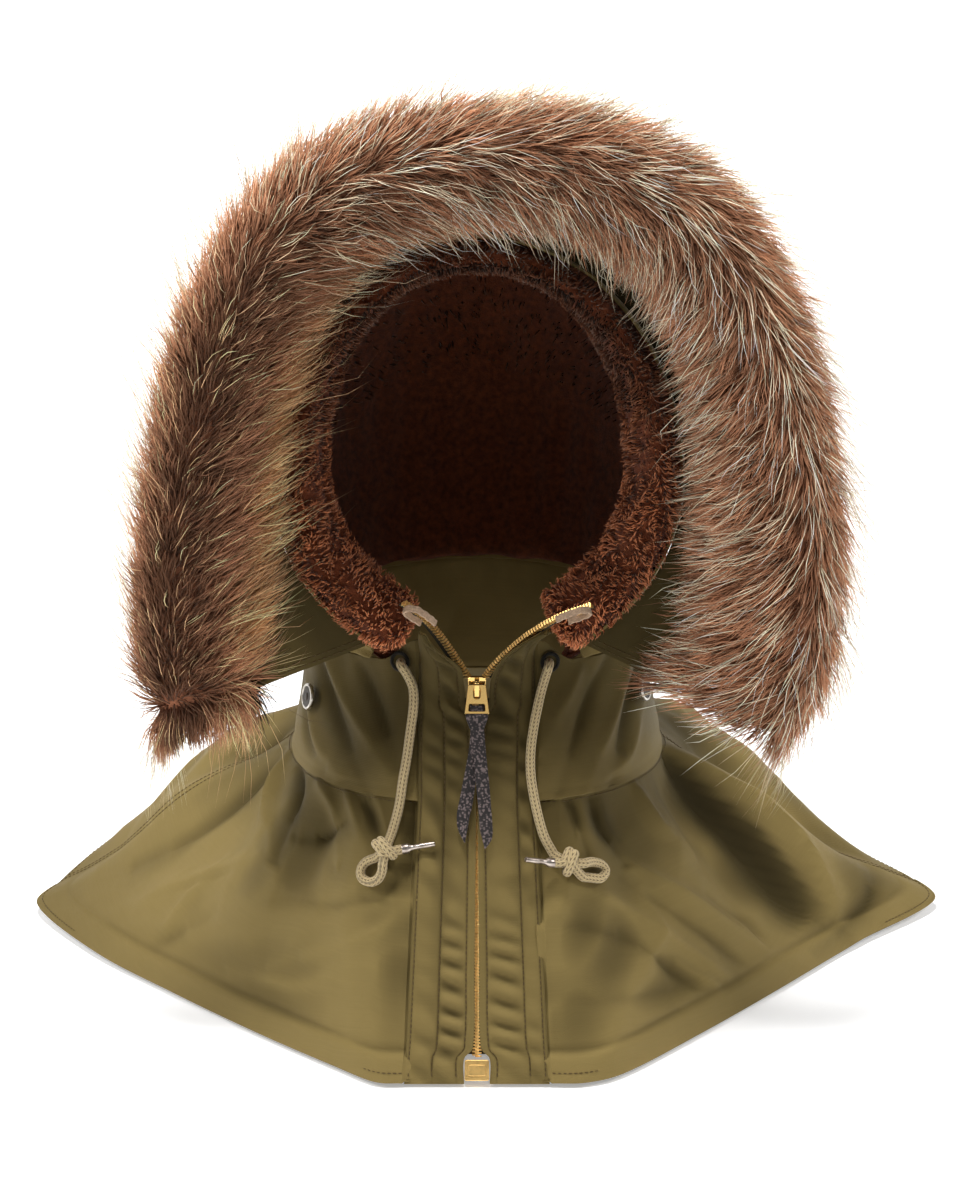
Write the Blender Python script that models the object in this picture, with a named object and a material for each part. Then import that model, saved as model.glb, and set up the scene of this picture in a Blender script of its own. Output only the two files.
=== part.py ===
"""Detachable parka hood with a shoulder cape, a flared brim, a deep fur ruff and a pile lining.

Units are metres and +Z is up. The face opening looks along -Y and +X is the viewer's right.
The sizes below are heights above the surface that the hem lies on. Each finished piece is
lowered by SEAT_HEIGHT, so the origin is inside the crown, where the hood sits on a head.
"""
import bpy
import bmesh
from collections import namedtuple
from math import asin, ceil, cos, degrees, pi, radians, sin
from mathutils import Matrix, Vector

# Driving dimensions
SEAT_HEIGHT = 0.450
CLOTH = 0.0015
GAP = 0.0004
YOKE_GAP = 0.0009
PILE = 0.0115
BRIM_THICKNESS = 0.0026
BRIM_TUCK = 0.001
PELT_INSET = 0.001
PELT_THICKNESS = 0.0014
HEM_TURN = 0.020
CORD_DIAMETER = 0.0053
AGLET_LENGTH = 0.0155
AGLET_RADIUS = 0.0014
BUTTON_RADIUS = 0.0075
TOOTH_PITCH = 0.0036
TAPE_REACH = 0.0060
TAPE_HALF = 0.0006
BEAD_REACH = 0.0032
TOOTH_HALF = 0.0013
TOOTH_SETBACK = 0.0012
CHAIN_TEETH = 18
CHAIN_TOP = 0.1882
CHAIN_HALF = 0.0075
CHAIN_TOOTH = (0.0030, 0.0024)
CHAIN_SPACE = (0.0026, 0.0016)
PLACKET_LIFT = 0.0010
FRONT_EDGE = 0.0335

# Turns round the face opening that the hood, brim and fur run between, and the way a grid faces
TURN_FIRST = 31.0
TURN_SPAN = 298.0
HOOD_INSIDE = Vector((0.0, 0.005, 0.310))
NECK_INSIDE = Vector((0.0, 0.0, 0.150))
CAPE_INSIDE = Vector((0.0, 0.0, 0.030))
PLACKET_INSIDE = Vector((0.0, 0.3, 0.100))
HOOD_COLUMNS = 24
NECK_FIRST = 24.0
NECK_SPAN = 312.0
NECK_COLUMNS = 26
NECK_ROWS = 4
CAPE_COLUMNS = 49
CAPE_FALLS = (0.0, 0.12, 0.27, 0.43, 0.60, 0.77, 0.90, 0.985)
HEM_LIFT = 0.0035
HEM_SETBACK = 0.0015
HEM_STEP = 0.0012

# Hood: arches that fan out from the collar, from the face opening (first) to the neckline (last)
PIVOT_Y = -0.085
PIVOT_Z = 0.205
END_HALF = 0.058
END_LIFT = 0.012
Arch = namedtuple("Arch", "tilt reach width belly")
HOOD_ARCHES = [
    Arch(85.2, 0.238, 0.112, 0.105),
    Arch(76.0, 0.2600, 0.1150, 0.110),
    Arch(64.0, 0.2790, 0.1165, 0.116),
    Arch(50.0, 0.2790, 0.1160, 0.118),
    Arch(36.0, 0.2560, 0.1130, 0.113),
    Arch(20.0, 0.2200, 0.1070, 0.101),
    Arch(8.0, 0.1950, 0.1020, 0.090),
    Arch(0.0, 0.1820, 0.1000, 0.085),
]

# Neck: level rings, half as wide as "width", with separate depths to the front and the back
Ring = namedtuple("Ring", "height width front back")
NECK_RINGS = [
    Ring(0.120, 0.1065, 0.1340, 0.1030),
    Ring(0.139, 0.1045, 0.1250, 0.1000),
    Ring(0.155, 0.1020, 0.1140, 0.0975),
    Ring(0.180, 0.0995, 0.0990, 0.0960),
    Ring(0.205, 0.1000, 0.0896, 0.0970),
    Ring(0.232, 0.1000, 0.0900, 0.0970),
]
YokeLine = namedtuple("YokeLine", "turn height")
YOKE_SEAM = [
    YokeLine(0, 0.139), YokeLine(24, 0.139), YokeLine(50, 0.1345), YokeLine(90, 0.127),
    YokeLine(135, 0.130), YokeLine(180, 0.134), YokeLine(225, 0.130), YokeLine(270, 0.127),
    YokeLine(310, 0.1345), YokeLine(336, 0.139), YokeLine(360, 0.139),
]

# Cape: where its hem lies, by turn round the neck from the front over the viewer's right;
# belly is how far the cloth stands above the straight line down, roll is how far the hem tucks under
Hem = namedtuple("Hem", "turn x y z belly roll")
CAPE_HEM = [
    Hem(23.4, 0.0405, -0.1900, 0.0020, 0.004, 1.0),
    Hem(31.0, 0.0600, -0.1890, 0.0020, 0.004, 1.0),
    Hem(39.0, 0.0810, -0.1770, 0.0020, 0.003, 1.0),
    Hem(52.0, 0.1242, -0.1288, 0.0020, 0.001, 1.0),
    Hem(66.0, 0.1730, -0.0713, 0.0020, -0.003, 1.0),
    Hem(79.0, 0.2243, -0.0108, 0.0030, -0.007, 1.0),
    Hem(90.0, 0.2730, 0.0400, 0.0060, -0.010, 0.4),
    Hem(98.0, 0.2606, 0.0620, 0.0120, -0.005, 0.0),
    Hem(106.0, 0.2380, 0.0690, 0.0210, 0.004, 0.0),
    Hem(114.0, 0.2130, 0.0760, 0.0340, 0.012, 0.0),
    Hem(123.0, 0.1870, 0.0860, 0.0520, 0.014, 0.0),
    Hem(136.0, 0.1480, 0.1180, 0.0580, 0.016, 0.0),
    Hem(156.0, 0.0800, 0.1560, 0.0450, 0.018, 0.0),
    Hem(180.0, 0.0000, 0.1700, 0.0400, 0.018, 0.0),
    Hem(204.0, -0.0800, 0.1560, 0.0450, 0.018, 0.0),
    Hem(224.0, -0.1450, 0.1180, 0.0590, 0.016, 0.0),
    Hem(237.0, -0.1852, 0.0810, 0.0590, 0.014, 0.0),
    Hem(246.0, -0.2100, 0.0740, 0.0390, 0.012, 0.0),
    Hem(254.0, -0.2330, 0.0660, 0.0250, 0.004, 0.0),
    Hem(262.0, -0.2500, 0.0540, 0.0130, -0.005, 0.0),
    Hem(270.0, -0.2620, 0.0340, 0.0060, -0.010, 0.4),
    Hem(281.0, -0.2220, -0.0260, 0.0030, -0.007, 1.0),
    Hem(294.0, -0.1722, -0.0780, 0.0020, -0.003, 1.0),
    Hem(308.0, -0.1210, -0.1290, 0.0020, 0.001, 1.0),
    Hem(321.0, -0.0780, -0.1690, 0.0020, 0.003, 1.0),
    Hem(329.0, -0.0560, -0.1880, 0.0020, 0.004, 1.0),
    Hem(336.6, -0.0405, -0.1900, 0.0020, 0.004, 1.0),
]
# Cape folds: ridges (or valleys, where the height is negative) from the neck towards the hem
Fold = namedtuple("Fold", "turn_top turn_end spread height start stop")
CAPE_FOLDS = [
    Fold(88, 84, 6.5, 0.0120, 0.02, 0.90),
    Fold(73, 70, 6.0, -0.0070, 0.05, 0.70),
    Fold(62, 60, 5.0, 0.0035, 0.00, 0.95),
    Fold(45, 48, 5.0, -0.0030, 0.00, 0.60),
    Fold(104, 99, 5.0, -0.0070, 0.15, 0.85),
    Fold(267, 256, 6.0, 0.0090, 0.00, 0.75),
    Fold(283, 276, 6.0, -0.0060, 0.00, 0.65),
    Fold(296, 300, 5.0, 0.0035, 0.00, 0.90),
    Fold(312, 309, 4.5, -0.0035, 0.00, 0.45),
    Fold(322, 318, 4.0, 0.0030, 0.05, 0.50),
    Fold(150, 152, 9.0, 0.0060, 0.05, 1.00),
    Fold(180, 180, 9.0, -0.0050, 0.05, 1.00),
    Fold(210, 208, 9.0, 0.0060, 0.05, 1.00),
]

# Brim: its outer rim, by turn round the face opening from the left lower end (31) over the top
Rim = namedtuple("Rim", "turn x y z")
BRIM_RIM = [
    Rim(31, -0.1680, -0.1000, 0.1770),
    Rim(45, -0.1765, -0.1020, 0.2100),
    Rim(60, -0.1775, -0.1050, 0.2500),
    Rim(75, -0.1740, -0.1080, 0.2960),
    Rim(90, -0.1680, -0.1100, 0.3360),
    Rim(105, -0.1590, -0.1120, 0.3790),
    Rim(120, -0.1440, -0.1140, 0.4210),
    Rim(135, -0.1215, -0.1160, 0.4620),
    Rim(150, -0.0900, -0.1180, 0.4940),
    Rim(165, -0.0480, -0.1190, 0.5140),
    Rim(180, 0.0010, -0.1200, 0.5210),
    Rim(195, 0.0490, -0.1190, 0.5190),
    Rim(210, 0.0920, -0.1180, 0.5040),
    Rim(225, 0.1265, -0.1160, 0.4790),
    Rim(240, 0.1530, -0.1140, 0.4420),
    Rim(255, 0.1715, -0.1120, 0.3960),
    Rim(270, 0.1835, -0.1100, 0.3470),
    Rim(285, 0.1900, -0.1080, 0.2990),
    Rim(300, 0.1905, -0.1050, 0.2500),
    Rim(315, 0.1830, -0.1020, 0.2030),
    Rim(329, 0.1640, -0.1000, 0.1700),
]
# Fur: the section of the ruff, measured inwards from the rim and up from the brim's front
Pelt = namedtuple("Pelt", "inward height")
FUR_SECTION = [
    Pelt(-0.0022, 0.0023), Pelt(-0.0075, -0.0020), Pelt(-0.0130, 0.0050), Pelt(-0.0120, 0.0160),
    Pelt(-0.0020, 0.0290), Pelt(0.0150, 0.0370), Pelt(0.0350, 0.0380), Pelt(0.0540, 0.0320),
    Pelt(0.0680, 0.0200), Pelt(0.0740, 0.0090), Pelt(0.0640, 0.0023),
]
PeltWidth = namedtuple("PeltWidth", "turn share")
PELT_WIDTHS = [
    PeltWidth(31, 0.66), PeltWidth(45, 0.84), PeltWidth(62, 0.92), PeltWidth(90, 0.92),
    PeltWidth(120, 1.0), PeltWidth(180, 1.0),
    PeltWidth(300, 1.0), PeltWidth(329, 0.98),
]
PELT_REACH = 0.064
FUR_STATIONS = 40
RIM_TURNS = [TURN_FIRST + TURN_SPAN * step / FUR_STATIONS for step in range(FUR_STATIONS + 1)]
FUR_FOOT = 0.004
FUR_CLEAR = 0.0002
END_TAPER = 0.45
END_POWER = 14
LOCK_LENGTH = 0.015
LOCK_RISE = 0.006
LOCK_TIP = 0.30
LOCK_LEAN = 0.75
LOCK_MIDDLE = 5.0
LOCK_REACH = 3.5

# Front placket: the opening's edge and the outer edge at each height, on the viewer's left and right
Placket = namedtuple("Placket", "height left_inner left_outer right_inner right_outer")
PLACKET_EDGES = [
    Placket(0.002, 0.0072, 0.0395, 0.0072, 0.0395),
    Placket(0.015, 0.0072, 0.0388, 0.0072, 0.0388),
    Placket(0.020, 0.0034, 0.0386, 0.0034, 0.0386),
    Placket(0.060, 0.0026, 0.0365, 0.0026, 0.0365),
    Placket(0.110, 0.0022, 0.0340, 0.0022, 0.0340),
    Placket(0.139, 0.0020, 0.0325, 0.0020, 0.0325),
    Placket(0.165, 0.0020, 0.0325, 0.0020, 0.0325),
    Placket(0.181, 0.0024, 0.0325, 0.0024, 0.0325),
    Placket(0.185, 0.0062, 0.0325, 0.0064, 0.0325),
    Placket(0.192, 0.0064, 0.0325, 0.0068, 0.0325),
    Placket(0.199, 0.0073, 0.0325, 0.0076, 0.0325),
    Placket(0.206, 0.0082, 0.0325, 0.0098, 0.0325),
    Placket(0.211, 0.0120, 0.0325, 0.0128, 0.0325),
    Placket(0.216, 0.0185, 0.0325, 0.0170, 0.0330),
    Placket(0.222, 0.0245, 0.0325, 0.0240, 0.0350),
    Placket(0.229, 0.0285, 0.0320, 0.0350, 0.0410),
]
# How far the collar's front stands forward where it opens round the zip, and the share of that
# which the placket's outer edge is held back by
Flare = namedtuple("Flare", "height forward held")
PLACKET_FLARE = [
    Flare(0.002, 0.0, 1.0), Flare(0.188, 0.0, 1.0), Flare(0.195, 0.0026, 1.0),
    Flare(0.204, 0.0064, 1.0), Flare(0.213, 0.0095, 1.0), Flare(0.222, 0.0130, 0.5),
    Flare(0.230, 0.0165, 0.2),
]
# The neck cloth's upper edge, raised beside the placket
NeckTop = namedtuple("NeckTop", "turn height")
NECK_TOP = [
    NeckTop(0, 0.2190), NeckTop(24, 0.2190), NeckTop(36, 0.2046), NeckTop(180, 0.2046),
    NeckTop(324, 0.2046), NeckTop(336, 0.2190), NeckTop(360, 0.2190),
]
# Zip above the slider: the teeth line on each side, from the slider to its upper end
ZIP_LEFT = [
    (-0.0036, -0.0940, 0.2020), (-0.0062, -0.0945, 0.2062), (-0.0120, -0.0952, 0.2162),
    (-0.0201, -0.0955, 0.2284), (-0.0287, -0.0990, 0.2396), (-0.0378, -0.1040, 0.2483),
]
ZIP_RIGHT = [
    (0.0036, -0.0940, 0.2020), (0.0063, -0.0945, 0.2062), (0.0143, -0.0952, 0.2155),
    (0.0273, -0.0985, 0.2283), (0.0430, -0.1030, 0.2399), (0.0608, -0.1080, 0.2487),
]
SLIDER_AT = Vector((0.0, -0.0965, 0.1965))
HINGE = Vector((0.0, -0.0995, 0.1980))
PULLER_LEAN = 28.0
TAB_REACH = 0.0125
TAB_SETBACK = 0.0060
BOX_HALF = 0.0066
BOX_BOTTOM = 0.0035
BOX_TOP = 0.0148
BUTTON_TURN = 67.0
BUTTON_LEFT_HEIGHT = 0.1690
BUTTON_RIGHT_HEIGHT = 0.1740

# Drawcords: routes chosen by hand from the eyelet down to the knot, and round the tied loop
CORD_LEFT = [
    (-0.0418, -0.0841, 0.2060), (-0.0417, -0.0881, 0.2062), (-0.0403, -0.0895, 0.2043),
    (-0.0384, -0.0895, 0.2013), (-0.0351, -0.0914, 0.1938), (-0.0348, -0.0955, 0.1848),
    (-0.0364, -0.1004, 0.1726), (-0.0383, -0.1068, 0.1598), (-0.0405, -0.1138, 0.1485),
    (-0.0424, -0.1189, 0.1364), (-0.0448, -0.1232, 0.1275), (-0.0473, -0.1276, 0.1208),
]
LOOP_LEFT = [
    (-0.0549, -0.1319, 0.1102), (-0.0580, -0.1306, 0.1084), (-0.0613, -0.1301, 0.1061),
    (-0.0635, -0.1312, 0.1024), (-0.0629, -0.1338, 0.0988), (-0.0584, -0.1373, 0.0979),
    (-0.0540, -0.1392, 0.1006), (-0.0517, -0.1398, 0.1056), (-0.0512, -0.1399, 0.1104),
]
TAIL_LEFT = [(-0.0436, -0.1347, 0.1158), (-0.0228, -0.1369, 0.1206)]
CORD_RIGHT = [
    (0.0397, -0.0838, 0.2059), (0.0396, -0.0880, 0.2062), (0.0390, -0.0893, 0.2042),
    (0.0379, -0.0893, 0.2007), (0.0352, -0.0921, 0.1917), (0.0330, -0.0971, 0.1831),
    (0.0313, -0.1018, 0.1755), (0.0296, -0.1083, 0.1651), (0.0293, -0.1149, 0.1548),
    (0.0307, -0.1218, 0.1447), (0.0334, -0.1274, 0.1329), (0.0366, -0.1310, 0.1226),
    (0.0410, -0.1333, 0.1146), (0.0432, -0.1348, 0.1123),
]
LOOP_RIGHT = [
    (0.0579, -0.1367, 0.1087), (0.0602, -0.1335, 0.1079), (0.0636, -0.1297, 0.1065),
    (0.0681, -0.1267, 0.1037), (0.0706, -0.1268, 0.0998), (0.0680, -0.1314, 0.0977),
    (0.0635, -0.1342, 0.0989), (0.0602, -0.1358, 0.1002), (0.0574, -0.1375, 0.1016),
]
TAIL_RIGHT = [(0.0442, -0.1406, 0.1104), (0.0288, -0.1489, 0.1162)]
Knot = namedtuple("Knot", "x y z turn")
KNOT_LEFT = Knot(-0.0502, -0.1339, 0.1161, 35.0)
KNOT_RIGHT = Knot(0.0502, -0.1382, 0.1103, 100.0)
KNOT_RADIUS = 0.0058

# Colours by eye: red, green, blue, roughness, metallic
OLIVE = (0.115, 0.088, 0.040, 0.75, 0.0)
FUR_BROWN = (0.17, 0.095, 0.062, 0.95, 0.0)
PILE_BROWN = (0.16, 0.052, 0.022, 0.95, 0.0)
PELT_CREAM = (0.62, 0.46, 0.33, 0.80, 0.0)
BRASS = (0.80, 0.52, 0.18, 0.25, 1.0)
LEATHER_BLACK = (0.030, 0.024, 0.022, 0.55, 0.0)
SUEDE = (0.42, 0.34, 0.28, 0.95, 0.0)
CORD_KHAKI = (0.32, 0.27, 0.17, 0.90, 0.0)
STEEL = (0.45, 0.44, 0.43, 0.35, 1.0)
THREAD_DARK = (0.015, 0.013, 0.010, 0.60, 0.0)


def clear_scene():
    """Empty the scene of whatever was open in it."""
    for old in list(bpy.data.objects):
        bpy.data.objects.remove(old, do_unlink=True)


def read_table(rows, key):
    """Values of a table between its rows, eased smoothly; the first column is the key."""
    keys = [row[0] for row in rows]
    rising = keys[-1] > keys[0]
    at = 0
    while at < len(rows) - 2 and (key > keys[at + 1] if rising else key < keys[at + 1]):
        at += 1
    low, high = rows[at], rows[at + 1]
    before, after = rows[max(at - 1, 0)], rows[min(at + 2, len(rows) - 1)]
    span = high[0] - low[0]
    u = (key - low[0]) / span
    values = []
    for column in range(1, len(low)):
        slope_low = (high[column] - before[column]) / (high[0] - before[0]) * span
        slope_high = (after[column] - low[column]) / (after[0] - low[0]) * span
        cubic = 2 * u ** 3 - 3 * u ** 2
        values.append(
            (1 + cubic) * low[column] - cubic * high[column]
            + (u ** 3 - 2 * u ** 2 + u) * slope_low + (u ** 3 - u ** 2) * slope_high)
    return values


def read_path(points, count):
    """Evenly stepped points on a smooth curve through the given ones."""
    rows = [(index,) + tuple(point) for index, point in enumerate(points)]
    last = len(points) - 1
    return [Vector(read_table(rows, last * step / (count - 1))) for step in range(count)]


def finish_mesh(name, mesh, look):
    """Make the object of one sub-part, lowered to the seat's origin, with its own material."""
    bmesh.ops.recalc_face_normals(mesh, faces=mesh.faces)
    bmesh.ops.translate(mesh, verts=mesh.verts, vec=(0, 0, -SEAT_HEIGHT))
    data = bpy.data.meshes.new(name)
    mesh.to_mesh(data)
    mesh.free()
    piece = bpy.data.objects.new(name, data)
    bpy.context.collection.objects.link(piece)
    data.materials.append(make_material(name, look))
    data.shade_smooth()
    data.set_sharp_from_angle(angle=radians(40))
    return piece


def make_material(name, look):
    """A plain finish: colour, roughness and metallic value."""
    material = bpy.data.materials.new(name + "_finish")
    material.use_nodes = True
    shader = material.node_tree.nodes["Principled BSDF"]
    shader.inputs["Base Color"].default_value = (look[0], look[1], look[2], 1.0)
    shader.inputs["Roughness"].default_value = look[3]
    shader.inputs["Metallic"].default_value = look[4]
    return material


def grid_normals(grid, inside):
    """A unit normal at each point of a grid, turned away from the inside point."""
    rows, columns = len(grid), len(grid[0])
    normals = []
    for r in range(rows):
        line = []
        for c in range(columns):
            along = grid[r][min(c + 1, columns - 1)] - grid[r][max(c - 1, 0)]
            across = grid[min(r + 1, rows - 1)][c] - grid[max(r - 1, 0)][c]
            normal = along.cross(across).normalized()
            if normal.dot(grid[r][c] - inside) < 0:
                normal.negate()
            line.append(normal)
        normals.append(line)
    return normals


def offset_grid(grid, normals, distance):
    """The grid moved along its normals."""
    return [[point + normal * distance for point, normal in zip(points, line)]
            for points, line in zip(grid, normals)]


def wall_between(name, outer, inner, look):
    """A closed wall between two grids of the same size."""
    mesh = bmesh.new()
    rows, columns = len(outer), len(outer[0])
    front = [[mesh.verts.new(point) for point in line] for line in outer]
    back = [[mesh.verts.new(point) for point in line] for line in inner]
    for r in range(rows - 1):
        for c in range(columns - 1):
            mesh.faces.new((front[r][c], front[r][c + 1], front[r + 1][c + 1], front[r + 1][c]))
            mesh.faces.new((back[r][c], back[r + 1][c], back[r + 1][c + 1], back[r][c + 1]))
    for c in range(columns - 1):
        mesh.faces.new((front[0][c], back[0][c], back[0][c + 1], front[0][c + 1]))
        mesh.faces.new((front[-1][c], front[-1][c + 1], back[-1][c + 1], back[-1][c]))
    for r in range(rows - 1):
        mesh.faces.new((front[r][0], front[r + 1][0], back[r + 1][0], back[r][0]))
        mesh.faces.new((front[r][-1], back[r][-1], back[r + 1][-1], front[r + 1][-1]))
    return finish_mesh(name, mesh, look)


def loft_rings(mesh, rings):
    """A closed body through closed rings of points, with a flat fan over each end."""
    loops = [[mesh.verts.new(point) for point in ring] for ring in rings]
    sides = len(rings[0])
    faces = []
    for low, high in zip(loops, loops[1:]):
        for k in range(sides):
            faces.append(mesh.faces.new((low[k], low[(k + 1) % sides], high[(k + 1) % sides], high[k])))
    for loop in (loops[0], loops[-1]):
        middle = mesh.verts.new(sum((vert.co for vert in loop), Vector()) / sides)
        for k in range(sides):
            mesh.faces.new((loop[k], loop[(k + 1) % sides], middle))
    return faces


def hood_point(tilt, turn):
    """A point of the hood's outer face, on the arch at this tilt; turn 180 is its top."""
    reach, width, belly = read_table(HOOD_ARCHES, tilt)
    turn_start = asin(END_HALF / width)
    share = (turn - TURN_FIRST) / TURN_SPAN
    angle = turn_start + share * (2 * pi - 2 * turn_start)
    lower = (belly - END_LIFT) / cos(turn_start)
    depth = lower if cos(angle) > 0 else reach - belly
    out = belly - depth * cos(angle)
    lean = radians(tilt)
    return Vector((-width * sin(angle), PIVOT_Y + out * cos(lean), PIVOT_Z + out * sin(lean)))


BRIM_TILT = HOOD_ARCHES[0].tilt
HOOD_TILTS = [BRIM_TILT, 80.0, 72.0, 62.0, 52.0, 42.0, 32.0, 22.0, 11.0, 0.0]
HOOD_TURNS = [TURN_FIRST + TURN_SPAN * step / HOOD_COLUMNS for step in range(HOOD_COLUMNS + 1)]


def hood_grid():
    """The hood's outer face and its normals; the first row is the face opening's edge."""
    grid = [[hood_point(tilt, turn) for turn in HOOD_TURNS] for tilt in HOOD_TILTS]
    return grid, grid_normals(grid, HOOD_INSIDE)


def make_hood_shell():
    """The cloth hood behind the brim, from the face opening round to the neckline."""
    grid, normals = hood_grid()
    wall_between("hood_shell", grid, offset_grid(grid, normals, -CLOTH), OLIVE)


Roll = namedtuple("Roll", "forward_out depth_out forward_in depth_in")
LINING_ROLL = [
    Roll(0.005, 0.0022, -0.001, 1.00),
    Roll(0.010, 0.0060, 0.006, 0.88),
    Roll(0.012, 0.0120, 0.011, 0.62),
]
Lobe = namedtuple("Lobe", "reach shrink")
LOBE_ENDS = [Lobe(0.55, 0.90), Lobe(1.0, 0.55)]
LOBE_LEFT = 0.012
LOBE_RIGHT = 0.006
# How deep the pile is near the face opening, as shares of its rolled edge's depth
ROLL_SHARES = (0.92, 0.75, 0.50)
RollDepth = namedtuple("RollDepth", "turn depth")
ROLL_DEPTHS = [
    RollDepth(31, 0.036), RollDepth(60, 0.034), RollDepth(100, 0.030), RollDepth(150, 0.022),
    RollDepth(180, 0.020), RollDepth(210, 0.022), RollDepth(260, 0.030), RollDepth(300, 0.034),
    RollDepth(329, 0.036),
]


def lining_depth(turn):
    """How far the rolled edge of the pile stands in from the hood at this turn."""
    return read_table(ROLL_DEPTHS, turn)[0]


def lining_columns():
    """Outer and inner points of the pile lining, one pair of lines for each turn."""
    grid, normals = hood_grid()
    columns = []
    for c, turn in enumerate(HOOD_TURNS):
        roll_depth = lining_depth(turn)
        forward = (grid[0][c] - grid[1][c]).normalized()
        inward = -normals[0][c]
        skin = CLOTH + GAP
        outer = [grid[r][c] - normals[r][c] * skin for r in range(len(grid) - 1, -1, -1)]
        depths = [skin + PILE] * len(grid)
        for row, share in enumerate(ROLL_SHARES):
            depths[row] = max(skin + PILE, roll_depth * share)
        inner = [grid[r][c] - normals[r][c] * depths[r] for r in range(len(grid) - 1, -1, -1)]
        edge = grid[0][c]
        for roll in LINING_ROLL:
            outer.append(edge + forward * roll.forward_out + inward * roll.depth_out)
            inner.append(edge + forward * roll.forward_in + inward * roll_depth * roll.depth_in)
        columns.append((outer, inner))
    return columns


def round_lobe(column, step, lobe):
    """A shrunken copy of an end column, moved on past the end, to round the lobe off."""
    outer, inner = column
    count = len(outer)
    middles = [(outer[k] + inner[k]) / 2 for k in range(count)]
    moved_outer, moved_inner = [], []
    for k in range(count):
        middle = middles[k] + step * lobe.reach
        moved_outer.append(middle + (outer[k] - middles[k]) * lobe.shrink)
        moved_inner.append(middle + (inner[k] - middles[k]) * lobe.shrink)
    return moved_outer, moved_inner


def make_pile_lining():
    """The pile lining inside the hood, rolled forward round the face opening."""
    columns = lining_columns()
    left_step = (columns[0][1][-2] - columns[1][1][-2]).normalized() * LOBE_LEFT
    right_step = (columns[-1][1][-2] - columns[-2][1][-2]).normalized() * LOBE_RIGHT
    left = [round_lobe(columns[0], left_step, lobe) for lobe in reversed(LOBE_ENDS)]
    right = [round_lobe(columns[-1], right_step, lobe) for lobe in LOBE_ENDS]
    columns = left + columns + right
    outer = [[column[0][k] for column in columns] for k in range(len(columns[0][0]))]
    inner = [[column[1][k] for column in columns] for k in range(len(columns[0][1]))]
    wall_between("pile_lining", outer, inner, PILE_BROWN)


def brim_frame(turn):
    """The brim's inner edge, its outer rim, and its front normal at this turn."""
    edge = hood_point(BRIM_TILT, turn)
    ahead = (hood_point(BRIM_TILT, turn + 1.0) - hood_point(BRIM_TILT, turn - 1.0)).normalized()
    forward = (edge - hood_point(BRIM_TILT - 3.2, turn)).normalized()
    outward = forward.cross(ahead).normalized()
    if outward.dot(edge - Vector((0.0, edge.y, HOOD_INSIDE.z))) < 0:
        outward.negate()
    start = edge + outward * GAP - forward * BRIM_TUCK
    rim = Vector(read_table(BRIM_RIM, turn))
    width = (rim - start).normalized()
    normal = width.cross(ahead).normalized()
    if normal.y > 0:
        normal.negate()
    return start, rim, width, normal


def make_brim():
    """The stiff flared flap round the face opening that carries the ruff."""
    front, back = [], []
    for turn in RIM_TURNS:
        start, rim, width, normal = brim_frame(turn)
        line = [start, rim - width * PELT_REACH * fur_width(turn), rim]
        front.append(line)
        back.append([point - normal * BRIM_THICKNESS for point in line])
    wall_between("brim", front, back, OLIVE)


def make_pelt_backing():
    """The leather side of the pelt, a strip sewn to the brim's front under the fur."""
    front, back = [], []
    for turn in RIM_TURNS:
        _start, rim, width, normal = brim_frame(turn)
        low_line, high_line = [], []
        for inward in (PELT_REACH * fur_width(turn), PELT_INSET):
            base = rim - width * inward
            low_line.append(base + normal * GAP)
            high_line.append(base + normal * (GAP + PELT_THICKNESS))
        front.append(high_line)
        back.append(low_line)
    wall_between("pelt_backing", front, back, PELT_CREAM)


def fur_width(turn):
    """The share of its full width that the pelt has at this turn."""
    return read_table(PELT_WIDTHS, turn)[0]


def fur_ring(turn, swell):
    """The closed section of the ruff at this turn; swell scales it at the two ends."""
    _start, rim, width, normal = brim_frame(turn)
    ring = []
    for point in FUR_SECTION:
        height = point.height
        if height >= FUR_FOOT:
            height = FUR_FOOT + (height - FUR_FOOT) * swell
        inward = point.inward * (fur_width(turn) if point.inward > 0 else 1.0)
        ring.append(rim - width * inward + normal * (height + FUR_CLEAR))
    return ring


def make_fur_ruff():
    """The ruff: a thick pad of pelt with its hair drawn out in locks, all one body."""
    mesh = bmesh.new()
    rings = []
    for step, turn in enumerate(RIM_TURNS):
        swell = 1.0 - END_TAPER * (abs(2 * step / FUR_STATIONS - 1)) ** END_POWER
        rings.append(fur_ring(turn, swell))
    faces = loft_rings(mesh, rings)
    sides = len(FUR_SECTION)
    chosen = []
    for index, face in enumerate(faces):
        station, side = divmod(index, sides)
        if 2 <= side <= 7 and (station + side) % 2 == 0 and 0 < station < FUR_STATIONS - 1:
            chosen.append((face, station, side))
    bmesh.ops.recalc_face_normals(mesh, faces=mesh.faces)
    for face, station, side in chosen:
        draw_lock(mesh, face, rings, station, side)
    finish_mesh("fur_ruff", mesh, FUR_BROWN)


def draw_lock(mesh, face, rings, station, side):
    """Draw one face of the ruff out into a lock that leans along the hair."""
    along = (rings[station + 1][side] - rings[station][side]).normalized()
    _start, _rim, width, _normal = brim_frame((RIM_TURNS[station] + RIM_TURNS[station + 1]) / 2)
    splay = LOCK_LEAN * (LOCK_MIDDLE - side) / LOCK_REACH
    lean = (along * LOCK_LEAN + width * splay).normalized()
    lock_normal = face.normal.copy()
    made = bmesh.ops.extrude_discrete_faces(mesh, faces=[face])["faces"][0]
    middle = made.calc_center_median()
    for vert in made.verts:
        drawn = middle + (vert.co - middle) * LOCK_TIP
        vert.co = drawn + lean * LOCK_LENGTH + lock_normal * LOCK_RISE


def ring_at(height):
    """Width, front depth and back depth of the neck at this height."""
    return read_table(NECK_RINGS, height)


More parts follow.
